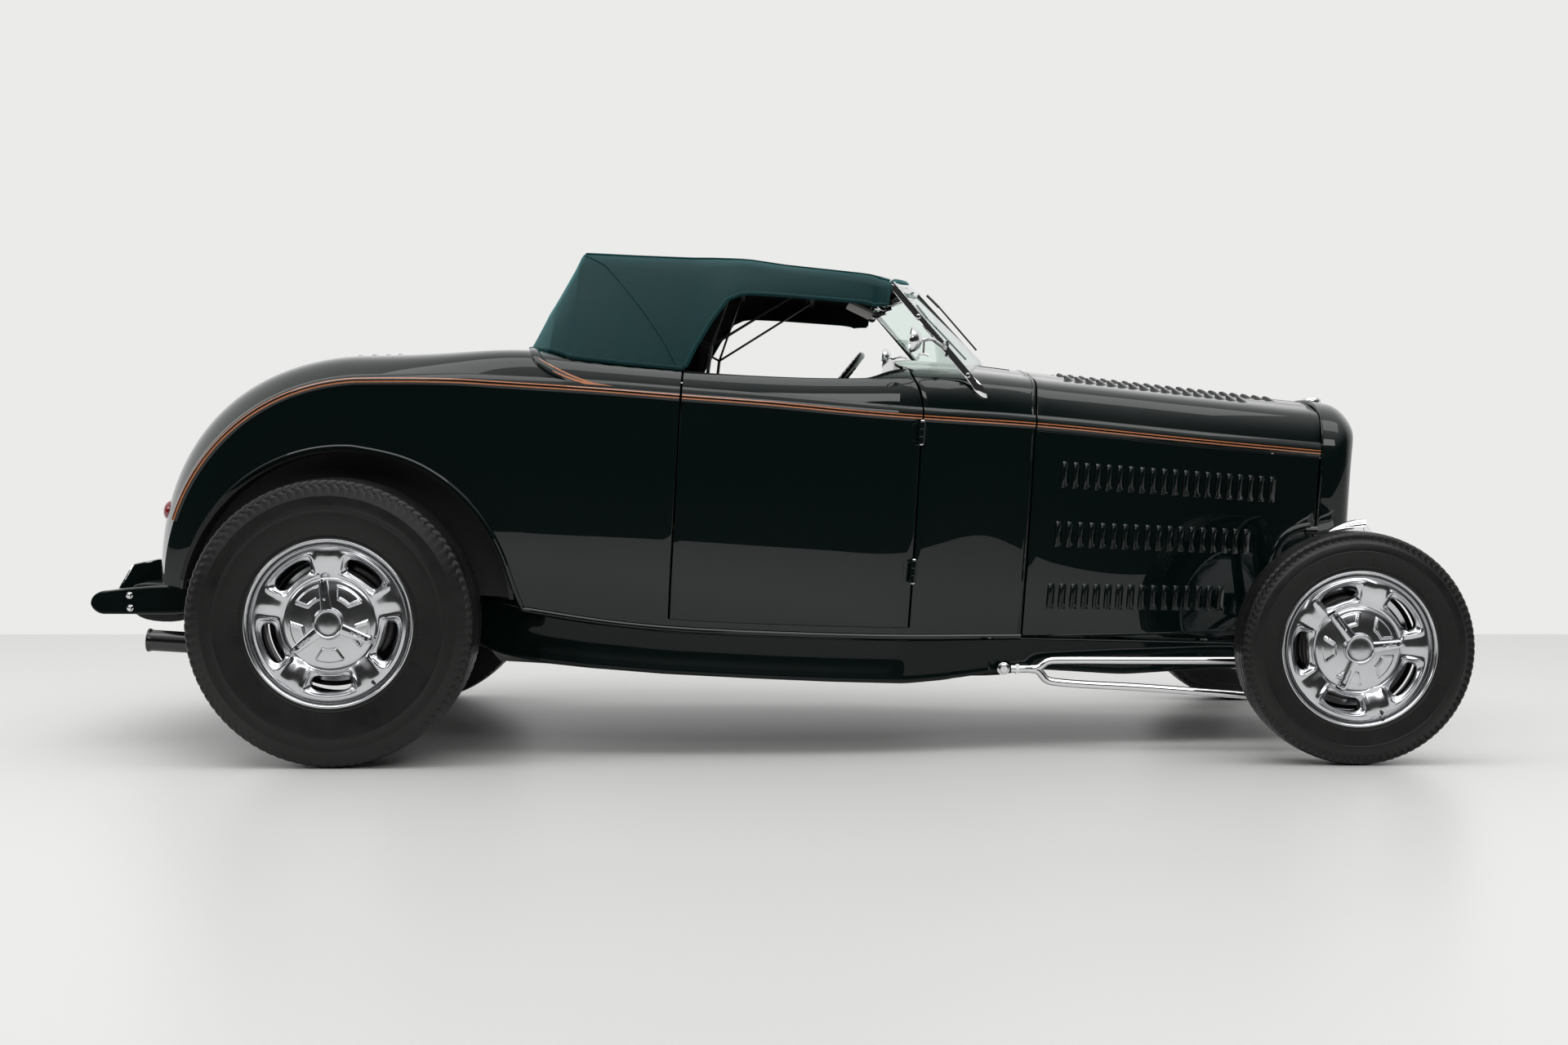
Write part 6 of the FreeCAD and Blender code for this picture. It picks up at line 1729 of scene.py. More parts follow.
for outer, inner in (((0, -1.0), (0, 1.0)), ((0, 1.0), (2.5, 2.2)), ((2.5, 2.2), (5.5, 2.2)),
                     ((5.5, 2.2), (7.5, 1.0))):
    plate.grid(level(np.stack([plate_outline(*outer), plate_outline(*inner)])), 0, around=True)
plate.fill(level(plate_outline(7.5, 1.0)), 0).fill(level(plate_outline(0, -1.0)), 0)
for y in (-89, 89):
    plate.turned([(0, 0.006), (0.003, 0.006), (0.0045, 0.003), (0.0047, 0)],
                 level(low_edge + (0, y, 0) + plate_up * 138 + plate_out * 1.0), level_way(plate_out), 16, 1)
cheek = np.array([(-2576, 0, -43), (-2558, 0, -8), (-2541, 0, 25), (-2532, 0, 30), (-2468, 0, 47),
                  (-2430, 0, 50), (-2420, 0, 44), (-2412, 0, -30), (-2500, 0, -44)])
for y in (-157, 154):
    plate.plate(level(cheek + (0, y, 0)), level_way((0, 1, 0)), 0.003, 2)
    plate.tube(level(cheek[:6] + (0, y + 1.5, 0)), 0.0032, 8, 1)
plate.tube(level([(-2486, -380, -56), (-2486, 380, -56)]), 0.014, 14, 2)
plate.tube(level([(-2470, -40, 18), (-2470, 40, 18)]), 0.005, 10, 1)
plate_finish = finish_of("plate_face", (0.30, 0.31, 0.31), (0.38, 0.39, 0.39), 0.25, 0.4, tone=25.0, Metallic=0.3)
plate.made("number_plate", "chassis", plate_finish, chrome, chassis_paint, stands_for=("licence_plate",),
           slot="black_metal")

# %% [markdown]
# ## Fuel tank
# The tank sits between the rails behind: a curved pressing with ribs across it. One outline is repeated
# across the car and drawn in a little at each rib, and subdivision then rounds the corners.

# %% Fuel tank
tank = Shape()
tank_ring = np.array([(-2495, -30), (-2499, -52), (-2494, -78), (-2478, -100), (-2450, -113), (-2400, -117),
                      (-2345, -112), (-2318, -96), (-2307, -70), (-2306, -40), (-2308, -20), (-2316, -10),
                      (-2340, -7), (-2400, -7), (-2460, -7), (-2486, -14)], float)
middle = tank_ring.mean(0)
PRESSED = {344: 0.9, 340: 0.97, 176: 0.98, 170: 0.98, 4: 0.98}
ring_rows = []
for y in (-344, -340, -330, -180, -176, -170, -166, -8, -4, 4, 8, 166, 170, 176, 180, 330, 340, 344):
    x, z = (middle + (tank_ring - middle) * PRESSED.get(abs(y), 1.0)).T
    ring_rows.append(np.stack([x, np.full(len(x), y), z], -1))
tank.grid(level(np.array(ring_rows)), around=True).fill(level(ring_rows[0])).fill(level(ring_rows[-1]), flip=True)
tank.made("fuel_tank_shell", "chassis", chassis_paint, stands_for=("fuel_tank",), sharp=50, subdivide=1,
          slot="black_metal")

# %% [markdown]
# ## Tail pipes
# On each side one pipe runs back from the engine to a muffler, and a second goes on over the rear axle
# to a tip with a rolled lip. A round section follows a natural curve through a few points.

# %% Exhaust
pipes = Shape()
for side in (1, -1):
    route = smooth_path([(152, 255.5, 60), (100, 262, 0), (20, 262, -92), (-60, 270, -111), (-300, 300, -113),
                         (-700, 316, -113), (-1075, 330, -113)], 70)
    pipes.tube(on_side(route, side), 0.024, 16, 1)
    muffler = [(0, 0.024), (0.004, 0.030), (0.022, 0.050), (0.032, 0.0555), (0.036, 0.0545), (0.040, 0.0555),
               (0.36, 0.0555), (0.364, 0.0545), (0.368, 0.0555), (0.378, 0.050), (0.396, 0.030), (0.4, 0.024)]
    pipes.turned(muffler, level((-1075, 330 * side, -113)), level_way((-1, 0, 0)), 40, 2)
    route = smooth_path([(-1470, 330, -113), (-1530, 350, -90), (-1620, 378, 0), (-1700, 385, 36),
                         (-1840, 385, 40), (-1970, 385, 34), (-2060, 387, -22), (-2150, 420, -112),
                         (-2225, 490, -145), (-2290, 538, -146), (-2330, 538, -146)], 80)
    pipes.tube(on_side(route, side), 0.0245, 16, 1)
    tip = [(0, 0.0255), (0.002, 0.0285), (0.116, 0.0285), (0.120, 0.0292), (0.124, 0.0310), (0.127, 0.0318),
           (0.1295, 0.0312), (0.130, 0.0295), (0.128, 0.0275), (0.12, 0.0262), (0.04, 0.0258), (0.035, 0)]
    pipes.turned(tip, level((-2250, 538 * side, -146)), level_way((-1, 0, 0)), 40, 0)
pipes.made("exhaust_pipes", "chassis", black_gloss, steel, stainless, stands_for=("exhaust_system",),
           slot="exhaust_steel")

# %% [markdown]
# ## Front axle
# The dropped axle is a forged I-beam, chromed like the rods that locate it. Its section follows half of
# the beam's line and its mirror image, and a boss for the king pin stands at each end.

# %% Axle beam
def at_front(points):
    """Level-frame millimetres measured from the front axle's line, in metres."""
    return (np.asarray(points, float) + (FRONT_X * 1000, 0, 0)) / 1000


KING_Y = 590
half_beam = smooth_path([(0, 0, 190), (0, 200, 190), (0, 380, 191), (0, 450, 199), (0, 525, 258),
                         (0, 572, 300)], 40)
axle = Shape()
ibeam = np.array([(-1, -1), (-0.95, -1.15), (0.95, -1.15), (1, -1), (1, -0.72), (0.32, -0.55), (0.32, 0.55),
                  (1, 0.72), (1, 1), (0.95, 1.15), (-0.95, 1.15), (-1, 1), (-1, 0.72), (-0.32, 0.55),
                  (-0.32, -0.55), (-1, -0.72)]) * (1.0, 1.15)
axle.tube(at_front([*half_beam[::-1], *mirrored(half_beam[1:])]), 0.0185, up=(0, 0.001, 1), outline=ibeam)
for side in (1, -1):
    axle.turned([(0, 0.012), (0, 0.0225), (0.003, 0.0235), (0.067, 0.0235), (0.07, 0.0225), (0.07, 0.012)],
                at_front((0, KING_Y * side, 273)), (0, 0, 1), 32)
    wing = [(-47, 238), (-47, 262), (-20, 262), (0, 250), (13, 214), (13, 178), (-8, 152), (-22, 128),
            (-47, 128), (-47, 152), (-26, 176), (-26, 214)]
    axle.plate(at_front([(x, 494 * side, z) for x, z in wing]), (0, side, 0), 0.012)
    axle.turned([(0, 0), (0, 0.03), (0.012, 0.03), (0.012, 0.018), (0.07, 0.018), (0.07, 0)],
                at_front((0, 190 * side, 205)), (0, 0, 1), 24, 1)
axle.made("axle_beam", "chassis", chrome, black_satin, stands_for=("front_axle",), slot="chrome")

# %% [markdown]
# Hairpin rods hold the axle. Each is two bars that join behind in a threaded end, with a clevis and a
# bolt through the frame.

# %% Hairpin rods
rods = Shape()
for side in (1, -1):
    flip = (1, side, 1)
    high_bar = smooth_path([(-820, 500, 228), (-808, 500, 231), (-788, 500, 246), (-760, 500, 251),
                            (-600, 500, 251), (-300, 500, 250.5), (-47, 500, 250)], 60)
    low_bar = smooth_path([(-820, 500, 226), (-808, 500, 222), (-790, 500, 200), (-762, 500, 191),
                           (-600, 500, 180), (-300, 500, 159), (-47, 500, 141)], 60)
    rods.tube(at_front(high_bar * flip), 0.0108, 16).tube(at_front(low_bar * flip), 0.0108, 16)
    rods.turned([(0, 0), (0, 0.011), (0.052, 0.011), (0.055, 0.0125), (0.07, 0.0125)],
                at_front((-884, 500 * side, 227.5)), (1, 0, 0), 20)
    rods.turned([(0, 0.009), (0, 0.0155), (0.010, 0.0155), (0.010, 0.009)], at_front((-872, 500 * side, 227.5)),
                (1, 0, 0), 6)
    rods.turned([(0, 0), (0, 0.012), (0.004, 0.0175), (0.020, 0.0175), (0.024, 0.012), (0.024, 0)],
                at_front((-905, (488 if side > 0 else -512), 228)), (0, 1, 0), 24)
    rods.turned([(-0.044, 0.0075), (0.014, 0.0075), (0.014, 0.0125), (0.021, 0.0125), (0.023, 0.011),
                 (0.0232, 0)], at_front((-905, 500 * side, 228)), (0, side, 0), 6)
    for z in (250, 141):
        rods.turned([(0, 0), (0, 0.0125), (0.026, 0.0125), (0.026, 0)], at_front((-60, 500 * side, z)),
                    (1, 0, 0), 16)
rods.made("hairpins", "chassis", chrome, stands_for=("hairpin_rods",), slot="chrome")

# %% [markdown]
# The tie rod joins the two steering arms, so that both front wheels turn together. It rides on a body
# of its own, and has a round joint and a lock nut at each end.

# %% Tie rod
links = Shape()
links.tube(at_front([(-130, 26 - KING_Y, 186), (-130, KING_Y - 26, 186)]), 0.0105, 16)
for side in (1, -1):
    links.turned([(-0.016, 0), (-0.014, 0.010), (-0.006, 0.0145), (0.004, 0.015), (0.010, 0.011),
                  (0.013, 0.0062), (0.031, 0.0058), (0.032, 0)], at_front((-130, KING_Y * side, 186)),
                 (0, 0, 1), 24)
    links.turned([(0, 0.0108), (0, 0.0135), (0.03, 0.0135), (0.03, 0.0108)],
                 at_front((-130, (KING_Y - 62) * side, 186)), (0, side, 0), 6)
links.made("tie_rod_bar", "tie_rod", chrome, stands_for=("tie_rod",), slot="chrome")

# %% [markdown]
# Behind each front wheel stands a curved shock mount in body paint, with a black damper hung from it.

# %% Shock mounts
towers = Shape()
for side in (1, -1):
    flip = (1, side, 1)
    bend = smooth_path([(-165, 338, 262), (-164, 380, 360), (-160, 415, 455), (-150, 441, 530),
                        (-125, 452, 585), (-90, 456, 610), (-54, 456, 618)], 40)
    towers.tube(at_front(bend * flip), np.interp(np.linspace(0, 1, 40), (0, 0.5, 1), (0.0185, 0.0155, 0.0125)), 18)
    foot, head = np.array((-5, 470, 268.0)) * flip, np.array((-50, 458, 606.0)) * flip
    towers.turned([(0, 0), (0, 0.010), (0.03, 0.010), (0.034, 0.0195), (0.038, 0.0205), (0.185, 0.0205),
                   (0.19, 0.019), (0.192, 0.023), (0.30, 0.023), (0.306, 0.021), (0.308, 0.008),
                   (0.342, 0.008)], at_front(foot), head - foot, 28, 1)
    for centre in (foot, head):
        towers.turned([(-0.016, 0), (-0.016, 0.013), (0.016, 0.013), (0.016, 0)], at_front(centre),
                      (1, 0, 0) if centre is head else (0, 1, 0), 20, 1)
towers.made("shock_mounts", "chassis", paint, black_gloss, stands_for=("shock_towers",), slot="frame_paint")

# %% [markdown]
# ## Headlights
# The headlights are chromed teardrops on slender stands. Bucket, reflector, bulb and lens are outlines
# turned about one axis, and a small amber marker lamp rides on top in a fairing.

# %% Headlights
lamp_bodies, stands = Shape(), Shape()
for side in (1, -1):
    face = at_front((126, 385 * side, 533))
    bucket = [(-0.180, 0), (-0.1795, 0.008), (-0.176, 0.018), (-0.168, 0.030), (-0.150, 0.045), (-0.125, 0.060),
              (-0.095, 0.073), (-0.065, 0.081), (-0.035, 0.0855), (-0.022, 0.0865), (-0.021, 0.088),
              (-0.008, 0.088), (-0.003, 0.0865), (0.0, 0.084), (-0.001, 0.0805), (-0.004, 0.079)]
    lamp_bodies.turned(bucket, face, (1, 0, 0), 64)
    lamp_bodies.turned([(-0.004, 0.0795), (-0.030, 0.070), (-0.055, 0.052), (-0.070, 0.030), (-0.074, 0.010),
                        (-0.074, 0)], face, (1, 0, 0), 48, 1)
    lamp_bodies.turned([(-0.0745, 0), (-0.07, 0.009), (-0.045, 0.010), (-0.040, 0.007), (-0.0395, 0)], face,
                       (1, 0, 0), 20, 2)
    lens = [(-0.004, 0.0792), (-0.0005, 0.074), (0.0015, 0.055), (0.003, 0.03), (0.0035, 0.0), (0.0015, 0.0),
            (0.001, 0.03), (-0.001, 0.055), (-0.003, 0.072), (-0.006, 0.0788)]
    lamp_bodies.turned(lens, face, (1, 0, 0), 64, 3)
    ridge, spread = np.linspace(0, 1, 14)[:, None], np.linspace(-np.pi / 2, np.pi / 2, 15)[None]
    x, tall = -120 + 114 * ridge, np.sin(ridge * np.pi / 2) ** 0.8
    lift = np.interp(x, (-125, -95, -65, -35, -6), (58, 71, 79, 83.5, 85.5)) - 2
    rows = np.stack(np.broadcast_arrays(x, 17 * tall * np.sin(spread), lift + 21 * tall * np.cos(spread)),
                    -1) / 1000
    lamp_bodies.grid(face + rows).fill(face + rows[-1], 4)
    flip = (1, side, 1)
    stand = smooth_path([(30, 318, 262), (36, 326, 310), (48, 340, 360), (62, 366, 410), (70, 382, 436),
                         (70, 385, 452)], 30)
    stands.tube(at_front(stand * flip), 0.0115, 16)
    stands.turned([(0, 0), (0, 0.018), (0.006, 0.020), (0.012, 0.014), (0.014, 0)],
                  at_front(np.array((70, 385, 446)) * flip), (0, 0, 1), 24)
lamp_bodies.made("headlight_shells", "chassis", chrome, polished, white_mark, lamp_glass, amber_lens,
                 stands_for=("headlights",), slot="chrome")
stands.made("headlight_stands", "chassis", chrome, stands_for=("headlight_brackets",), slot="chrome")

# %% [markdown]
# ## Rear axle
# The rear axle is a round housing between two tapered tubes, with the nose of the drive ahead of it, a
# cover with its ring of bolts behind, and a rod on each side that runs to the frame.

# %% Rear axle
back_axle = Shape()
centre = np.array((REAR_X, 0, 0.378))
tube_profile = [(-0.62, 0), (-0.62, 0.05), (-0.60, 0.055), (-0.598, 0.036), (-0.3, 0.038), (-0.16, 0.045),
                (-0.13, 0.075), (-0.09, 0.108), (-0.045, 0.120), (0, 0.122)]
back_axle.turned(tube_profile + [(-y, r) for y, r in tube_profile[-2::-1]], centre, (0, 1, 0), 48)
back_axle.turned([(0.06, 0.10), (0.10, 0.075), (0.15, 0.055), (0.186, 0.05), (0.19, 0.035), (0.19, 0)], centre,
                 (1, 0, 0), 32)
back_axle.turned([(-0.10, 0.075), (-0.116, 0.072), (-0.121, 0.06), (-0.121, 0)], centre, (1, 0, 0), 32)
for k in range(10):
    angle = k * math.pi / 5
    back_axle.turned([(0, 0.007), (-0.006, 0.007), (-0.008, 0)],
                     centre + (-0.104, 0.079 * math.cos(angle), 0.079 * math.sin(angle)), (1, 0, 0), 6)
for side in (1, -1):
    back_axle.tube([centre + (0, 0.3 * side, -0.01), level((-1035, 200 * side, -52))], 0.014, 14)
back_axle.made("rear_axle_housing", "chassis", black_satin, stands_for=("rear_axle",), slot="black_metal")

# %% [markdown]
# ## Cockpit
# A painted dashboard carries a row of plain dials in chrome rings, and three small knobs.

# %% Dashboard and dials
dash = Shape()


def dash_high(y):
    """The height of the dashboard's top edge, by the distance from the middle."""
    return np.interp(abs(y), (0, 300, 500, 545), (732, 712, 676, 618))


dash_y = np.linspace(-1, 1, 61)
edge_z = dash_high(dash_y * 545)
rows = []
for x, drop in ((-228, 0), (-236, -3), (-243, -9), (-246, -18), (-246, -50), (-246, -90), (-245, -120),
                (-241, -134), (-234, -142), (-226, -145)):
    tucked = drop < -100
    z = np.maximum(edge_z - 200, 548) + drop + 145 if tucked else edge_z + drop
    rows.append(np.stack([np.full(61, x), dash_y * 538 * (1 - 0.012 * tucked), z], -1))
dash.grid(level(np.stack(rows)))
dash.grid(level(np.stack([rows[-1], rows[-1] + (16, 0, 0), rows[0] + (2, 0, -4)])), 3)
for y, r in ((350, 62), (200, 47), (88, 36), (468, 36), (-20, 36), (-110, 36)):
    centre, way = level((-246, y, dash_high(y) - (78 if r > 40 else 74))), level_way((-1, 0, 0))
    r = r / 1000
    dash.turned([(0, r + 0.003), (0.003, r + 0.0035), (0.006, r + 0.001), (0.0065, r - 0.002),
                 (0.004, r - 0.0035), (0.001, r - 0.004)], centre, way, 40, 1)
    dash.turned([(0.001, r - 0.0038), (0.001, 0)], centre, way, 40, 2)
    up, across = level_way((0, 0, 1)), level_way((0, 1, 0))
    for k in range(9):
        angle = math.radians(-120 + 30 * k)
        ray = np.sin(angle) * across + np.cos(angle) * up
        dash.tube([centre + way * 0.0013 + ray * r * k for k in (0.72, 0.84)], 0.0007, 6, 3)
    ray = np.sin(-0.9) * across + np.cos(-0.9) * up
    dash.tube([centre + way * 0.0022, centre + way * 0.0022 + ray * (r * 0.66)], [0.0012, 0.0004], 6, 4)
for y in (-200, -240, -280):
    dash.turned([(0, 0.010), (0.004, 0.010), (0.005, 0.006), (0.016, 0.0055), (0.018, 0.011), (0.026, 0.0115),
                 (0.028, 0.009), (0.028, 0)], level((-246, y, 600)), level_way((-1, 0, 0)), 20, 1)
dash.made("dash_panel", "chassis", paint, chrome, white_mark, black_satin, red_lens, stands_for=("dashboard",),
          slot="floor_trim")

# %% [markdown]
# The steering wheel has a black rim, finely waved for grip, on four spokes of three sprung wires each.
# It rides on a body of its own and turns, while its column stays with the chassis.

# %% Steering column and wheel
hub_m, axis_m = level((-557, 350, 632)), level_way(unit((-0.819, 0, 0.574)))
column = Shape()
column.turned([(-0.640, 0.019), (-0.36, 0.019), (-0.358, 0.0225), (-0.34, 0.0225), (-0.338, 0.0195),
               (-0.09, 0.0195), (-0.088, 0.024), (-0.04, 0.026), (-0.032, 0.024), (-0.032, 0.008)], hub_m,
              axis_m, 32)
column.made("column_tube", "chassis", black_gloss, stands_for=("steering_column",), slot="black_metal")
wheel_rim = Shape()
across, upward = np.array((0, 1.0, 0)), np.cross(axis_m, (0, 1.0, 0))
turn = np.linspace(0, 2 * np.pi, 96, endpoint=False)
circle = hub_m + 0.178 * (np.cos(turn)[:, None] * across + np.sin(turn)[:, None] * upward)
wheel_rim.tube(circle, 0.0112 + 0.0007 * np.cos(turn * 48), 14, up=axis_m, loop=True)
for k in range(4):
    angle = math.radians(45 + 90 * k)
    ray = math.cos(angle) * across + math.sin(angle) * upward
    wide = math.cos(angle) * upward - math.sin(angle) * across
    for shift in (-0.011, 0, 0.011):
        run = [hub_m - 0.008 * axis_m + ray * 0.03 + wide * shift * 0.8,
               hub_m - 0.006 * axis_m + ray * 0.09 + wide * shift, hub_m + ray * 0.171 + wide * shift]
        wheel_rim.tube(run, 0.0028, 8, 1)
wheel_rim.turned([(-0.029, 0.02), (-0.029, 0.032), (-0.012, 0.037), (-0.004, 0.038), (0.0, 0.034),
                  (0.0022, 0.020), (0.003, 0)], hub_m, axis_m, 40, 1)
wheel_rim.made("steering_wheel_rim", "steering_wheel", black_gloss, chrome, stands_for=("steering_wheel",),
               slot="black_metal")

# %% [markdown]
# The floor is carpeted, with a hump over the gearbox, a gear lever and three pedals. The firewall
# follows the cowl's own section, drawn in a little, and closes it ahead of them.

# %% Carpet, pedals and firewall
carpet_piece = Shape()
floor_x = np.linspace(-60, -1040, 40)
floor_z = np.interp(floor_x, (-1340, -970, -322, -20), (20, -4, 6, 14)) + 2.5
carpet_y = np.linspace(-1, 1, 24)
half_floor = np.interp(floor_x, (-1340, -970, -322, -60), (560, 540, 498, 430))
across = half_floor[:, None] * carpet_y[None]
hump = 46 * np.exp(-(across / 120) ** 4)
sheet = np.stack(np.broadcast_arrays(floor_x[:, None], across, floor_z[:, None] + hump), -1)
front, back = level(sheet), level(sheet - (0, 0, 2.2))
carpet_piece.grid(front).grid(back).rim(front, back)
carpet_piece.tube(level(between((-310, 60, 58), (-372, 60, 250), 10)), 0.006, 12, 1)
carpet_piece.turned([(0, 0.0), (0.002, 0.012), (0.014, 0.021), (0.028, 0.023), (0.042, 0.017), (0.048, 0)],
                    level((-372, 60, 248)), level_way((-0.3, 0, 0.95)), 28, 2)
for y, wide in ((300, 26), (390, 34), (470, 22)):
    pad = [(-118, y - wide, 150), (-118, y + wide, 150), (-138, y + wide, 92), (-138, y - wide, 92)]
    carpet_piece.plate(level(pad), level_way((-0.95, 0, -0.3)), 0.01, 3)
    carpet_piece.tube(level([(-112, y, 130), (-60, y, 160)]), 0.006, 8, 3)
WALL_X = -16
wall_u = np.full(60, NOSE_X - WALL_X, float)
wall_edge = np.concatenate([lower(wall_u[:24], np.linspace(0.04, 1, 24)),
                            upper(wall_u[:36], np.linspace(0, 4, 37)[1:])])
wall_edge = wall_edge - unit((wall_edge - (WALL_X, 0, 380)) * (0, 1, 1)) * 9
wall_edge = np.concatenate([[(WALL_X, wall_edge[0, 1], -6)], wall_edge])
wall_edge = np.concatenate([wall_edge, mirrored(wall_edge[-2::-1])])
carpet_piece.plate(level(wall_edge), level_way((-1, 0, 0)), 0.003)
carpet_piece.plate(level(wall_edge + (3.2, 0, 0)), body_ahead, 0.001, 4)
carpet_piece.made("carpet_and_controls", "chassis", carpet, chrome, black_gloss, black_satin, paint)

# %% [markdown]
# ## Bench seat
# The cushion and the back are stuffed leather. Each starts as a box with round edges, a little too
# small, which is remeshed evenly and blown up as cloth, with a cap on how far any point may move. The
# sewn channels and the welts come after that, since remeshing would lose them.

# %% Cushions
def baked(piece):
    """A piece's mesh as its modifiers leave it."""
    return bpy.data.meshes.new_from_object(piece.evaluated_get(bpy.context.evaluated_depsgraph_get()))


def corners_of(mesh):
    """The places of a mesh's corners as one array."""
    return np.array([vert.co[:] for vert in mesh.vertices])


def stuffed(name, size, place, tilt, swell, channel, top_way):
    """A leather cushion from a rounded box: size, place and tilt in body millimetres and degrees."""
    work = bmesh.new()
    bmesh.ops.create_cube(work, size=2.0)
    bmesh.ops.subdivide_edges(work, edges=work.edges, cuts=15, use_grid_fill=True)
    half, edge = np.array(size) / 2 - 8, 42.0
    for vert in work.verts:
        box = np.array(vert.co) * half
        core = np.clip(box, -(half - edge), half - edge)
        vert.co = core + unit(box - core) * edge if np.linalg.norm(box - core) > 0 else box
    mesh = bpy.data.meshes.new(name)
    work.to_mesh(mesh)
    work.free()
    mesh.transform(Matrix.Scale(0.001, 4))
    pad = bpy.data.objects.new(name, mesh)
    bpy.context.scene.collection.objects.link(pad)
    even = pad.modifiers.new("even", "REMESH")
    even.mode, even.voxel_size = "VOXEL", 0.0125
    mesh = baked(pad)
    pad.modifiers.clear()
    pad.data = mesh
    start = corners_of(mesh)
    cloth_mod = pad.modifiers.new("stuffing", "CLOTH")
    cloth_mod.settings.use_pressure, cloth_mod.settings.uniform_pressure_force = True, 4.0
    cloth_mod.settings.effector_weights.gravity = 0
    cloth_mod.point_cache.frame_start, cloth_mod.point_cache.frame_end = 1, 20
    for frame_number in range(1, 21):
        bpy.context.scene.frame_set(frame_number)
    blown = baked(pad)
    moved = corners_of(blown) - start
    far = np.linalg.norm(moved, axis=1, keepdims=True)
    final = start + moved * np.minimum(1, swell / 1000 / np.maximum(far, 1e-9))
    pad.modifiers.clear()
    pad.data = blown
    bpy.context.scene.frame_set(1)
    rounder = pad.modifiers.new("rounder", "SUBSURF")
    rounder.levels = rounder.render_levels = 1
    blown.vertices.foreach_set("co", final.ravel())
    fine = baked(pad)
    pad.modifiers.clear()
    pad.data = fine
    mesh = pad.data
    points = corners_of(mesh) * 1000
    reach = points @ np.array(top_way)
    upper_side = ease((reach - 0.25 * abs(np.dot(half, top_way))) / 18)
    long_way = np.array((0, 0, 1.0)) if abs(top_way[0]) > 0.5 else np.array((1.0, 0, 0))
    along = points @ long_way
    limit = abs(np.dot(half, long_way)) - 40
    end_gap, side_gap = limit - abs(along), half[1] - 52 - abs(points[:, 1])
    near = (points[:, 1] + channel / 2) % channel - channel / 2
    groove = np.exp(-(near / 6.5) ** 2) * ease(end_gap / 16) * ease(side_gap / 16) * upper_side
    end_seam = np.exp(-(end_gap / 6) ** 2) * ease((side_gap + 6) / 10)
    side_seam = np.exp(-(side_gap / 6) ** 2) * ease((end_gap + 6) / 10)
    frame_seam = np.maximum(end_seam, side_seam) * upper_side
    points -= (9.0 * groove + 6.0 * frame_seam)[:, None] * np.array(top_way)
    lean = math.radians(tilt)
    x, y, z = points.T
    points = np.stack([x * math.cos(lean) + z * math.sin(lean), y, -x * math.sin(lean) + z * math.cos(lean)],
                      -1) + place
    mesh.vertices.foreach_set("co", level(points).ravel())
    mesh.shade_smooth()
    mesh.materials.clear()
    mesh.materials.append(leather)
    mesh.update()
    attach(pad, "chassis")
    print(name, len(mesh.polygons), "faces")
    return pad


seat = stuffed("seat_cushion_leather", (462, 1036, 132), (-796, 0, 214), -4.3, 24, 74, (0, 0, 1.0))
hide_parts("seat_cushion")
seat_back = stuffed("seat_back_leather", (130, 1036, 400), (-1135, 0, 432), -14, 22, 74, (1.0, 0, 0))
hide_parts("seat_back")
# %% [markdown]
# The cushions sit on a low base with a carpeted skirt.

# %% Seat base
base = Shape()
skirt = [(-566, 8), (-572, 40), (-574, 128), (-584, 142), (-1020, 124), (-1026, 4)]
for y in (-520, 517):
    base.plate(level([(x, y, z) for x, z in skirt]), level_way((0, 1, 0)), 0.003)
base.grid(level(np.array([[(x, y, z) for y in np.linspace(-519, 519, 3)] for x, z in skirt])))
base.made("seat_base", "chassis", carpet)

# %% [markdown]
# ## Engine
# Under the hood sits a plain V8: an iron block, finned covers, an intake with a round air cleaner, a
# pair of short headers each side, and a fan driven by a belt.

# %% Engine
engine = Shape()
profile = [(-95, -18), (95, -18), (108, 40), (150, 120), (196, 206), (126, 276), (64, 226), (-64, 226),
           (-126, 276), (-196, 206), (-150, 120), (-108, 40)]
for x, deep, finish, outline in (
        (128, 0.43, 0, profile),
        (500, 0.082, 0, [(-80, 0), (80, 0), (120, 110), (80, 225), (-80, 225), (-120, 110)]),
        (70, 0.062, 0, [(-120, 10), (120, 10), (170, 90), (130, 190), (-130, 190), (-170, 90)]),
        (170, 0.34, 1, [(-78, 226), (78, 226), (54, 292), (30, 306), (-30, 306), (-54, 292)])):
    engine.plate(level([(x, y, z) for y, z in outline]), body_ahead, deep, finish)
for side in (1, -1):
    along = np.array((0, -0.66 * side, 0.75))
    across = np.array((0, 0.75 * side, 0.66))
    centre = np.array((345, 161 * side, 243.0))
    rings = []
    for inset, lift in ((0, 0), (0, 22), (6, 34), (16, 40)):
        x, w = rounded(208 - inset, 47 - inset, 14, 5).T[..., None]
        rings.append(centre + x * (1, 0, 0) + w * along + across * lift)
    engine.grid(level(rings), 1, around=True)
    engine.fill(level(rings[-1]), 1)
    for k in range(-3, 4):
        run = [centre + (x, 0, 0) + along * k * 8.5 + across * 41 for x in (-180, 180)]
        engine.tube(level(run), 0.0022, 6, 1, flat=(0.8, 1.3))
    collector = smooth_path([(500, 205 * side, 128), (380, 214 * side, 112), (260, 216 * side, 104),
                             (170, 214 * side, 88)], 30)
    engine.tube(level(collector), 0.019, 14, 3)
    for x in (480, 390, 300, 210):
        bend = smooth_path([(x, 172 * side, 168), (x, 192 * side, 164), (x - 14, 206 * side, 142),
                            (x - 44, 213 * side, 116)], 14)
        engine.tube(level(bend), 0.0165, 12, 3)
        engine.turned([(0, 0.008), (0, 0.0115), (0.03, 0.009), (0.042, 0.006), (0.043, 0)],
                      level((x + 20, 176 * side, 200)), level_way((0, 0.8 * side, 0.3)), 14, 2)
engine.turned([(0, 0.045), (0.045, 0.045), (0.05, 0.052), (0.066, 0.052)], level((340, 0, 304)), body_up, 32, 1)
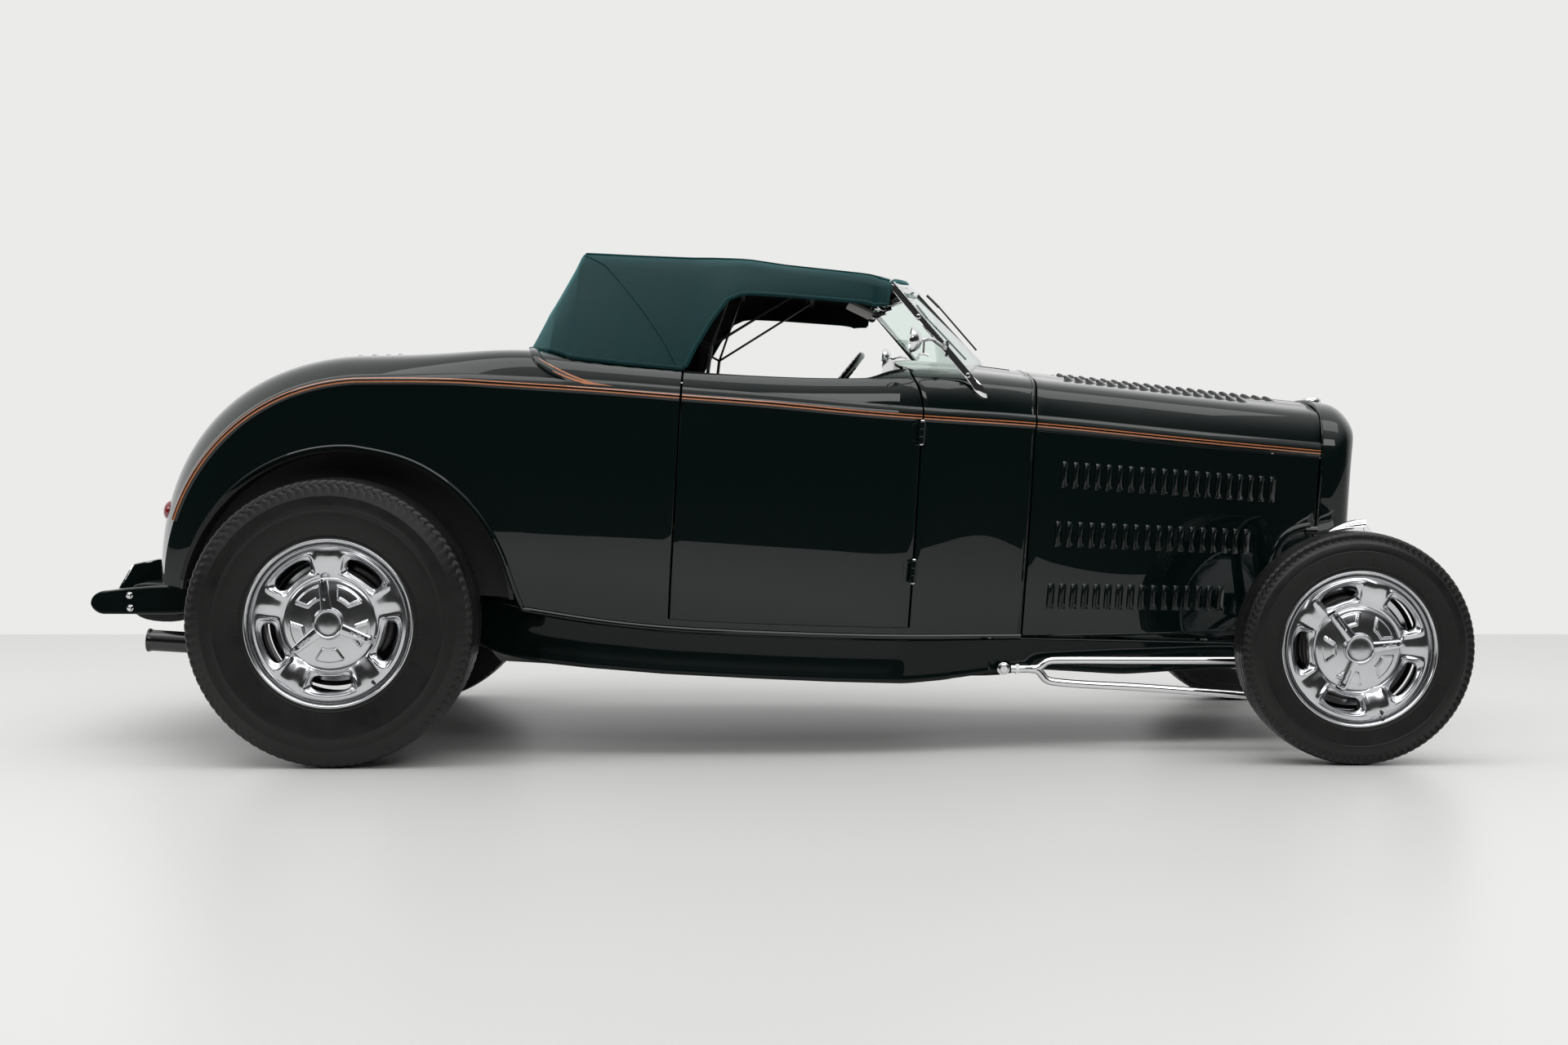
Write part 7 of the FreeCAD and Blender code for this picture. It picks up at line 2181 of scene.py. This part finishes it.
cleaner = [(0, 0.05), (0.0, 0.118), (0.004, 0.122), (0.010, 0.120), (0.012, 0.108), (0.050, 0.108),
           (0.052, 0.120), (0.058, 0.122), (0.064, 0.116), (0.070, 0.06), (0.071, 0.012), (0.080, 0.010),
           (0.081, 0)]
engine.turned(cleaner, level((340, 0, 370)), body_up, 56, 4)
for y, z, r, x in ((0, 40, 72, 582), (0, 182, 62, 582), (128, 232, 34, 576), (-126, 226, 36, 576)):
    engine.turned([(0, 0.01), (0, r / 1000), (0.004, r / 1000), (0.010, r / 1000 - 0.007), (0.016, r / 1000),
                   (0.020, r / 1000), (0.020, 0.01), (0.026, 0)], level((x, y, z)), body_ahead, 40, 4)
belt = [(0, -32), (72, 40), (161, 222), (128, 268), (-126, 263), (-163, 220), (-72, 40)]
belt_path = np.array([(592, y, z) for y, z in belt], float)
engine.tube(level(np.concatenate([between(a, b, 6)[:-1]
                                  for a, b in zip(belt_path, np.roll(belt_path, -1, 0))])), 0.0055, 8, 2,
            loop=True, up=(1, 0, 0))
for k in range(6):
    angle = k * math.pi / 3 + 0.2
    ray, wide = np.array((0, math.cos(angle), math.sin(angle))), np.array((0.5, -math.sin(angle), math.cos(angle)))
    blade = [np.array((622, 0, 182)) + ray * r + wide * w
             for r, w in ((40, -14), (150, -30), (164, -22), (164, 22), (150, 30), (40, 14))]
    engine.plate(level(blade), body_ahead, 0.0015, 5)
engine.turned([(0, 0.012), (0.015, 0.012), (0.015, 0.05), (0.020, 0.05), (0.022, 0.03), (0.028, 0)],
              level((602, 0, 182)), body_ahead, 24, 5)
engine.turned([(0, 0.02), (0.05, 0.028), (0.058, 0.034), (0.09, 0.032), (0.10, 0.022), (0.102, 0)],
              level((146, 0, 232)), body_up, 24, 2)
engine.made("engine_v8", "chassis", iron, polished, black_satin, steel, chrome, stainless,
            stands_for=("engine_block",), sharp=35, slot="engine_iron")

# %% [markdown]
# ## What the CAD already shows well
# The floor, the wheel tubs, the cross members, the radiator and the two steering knuckles need no
# other shape. They only get their finishes.

# %% Finishes of the plain parts
for node, finish in (("body_floor", chassis_paint), ("wheel_tubs", black_satin),
                     ("crossmembers", chassis_paint), ("radiator", black_satin), ("knuckle_left", black_satin),
                     ("knuckle_right", black_satin)):
    part = bpy.data.objects[node]
    part.data.materials.clear()
    part.data.materials.append(finish)
    print(node, finish.name)
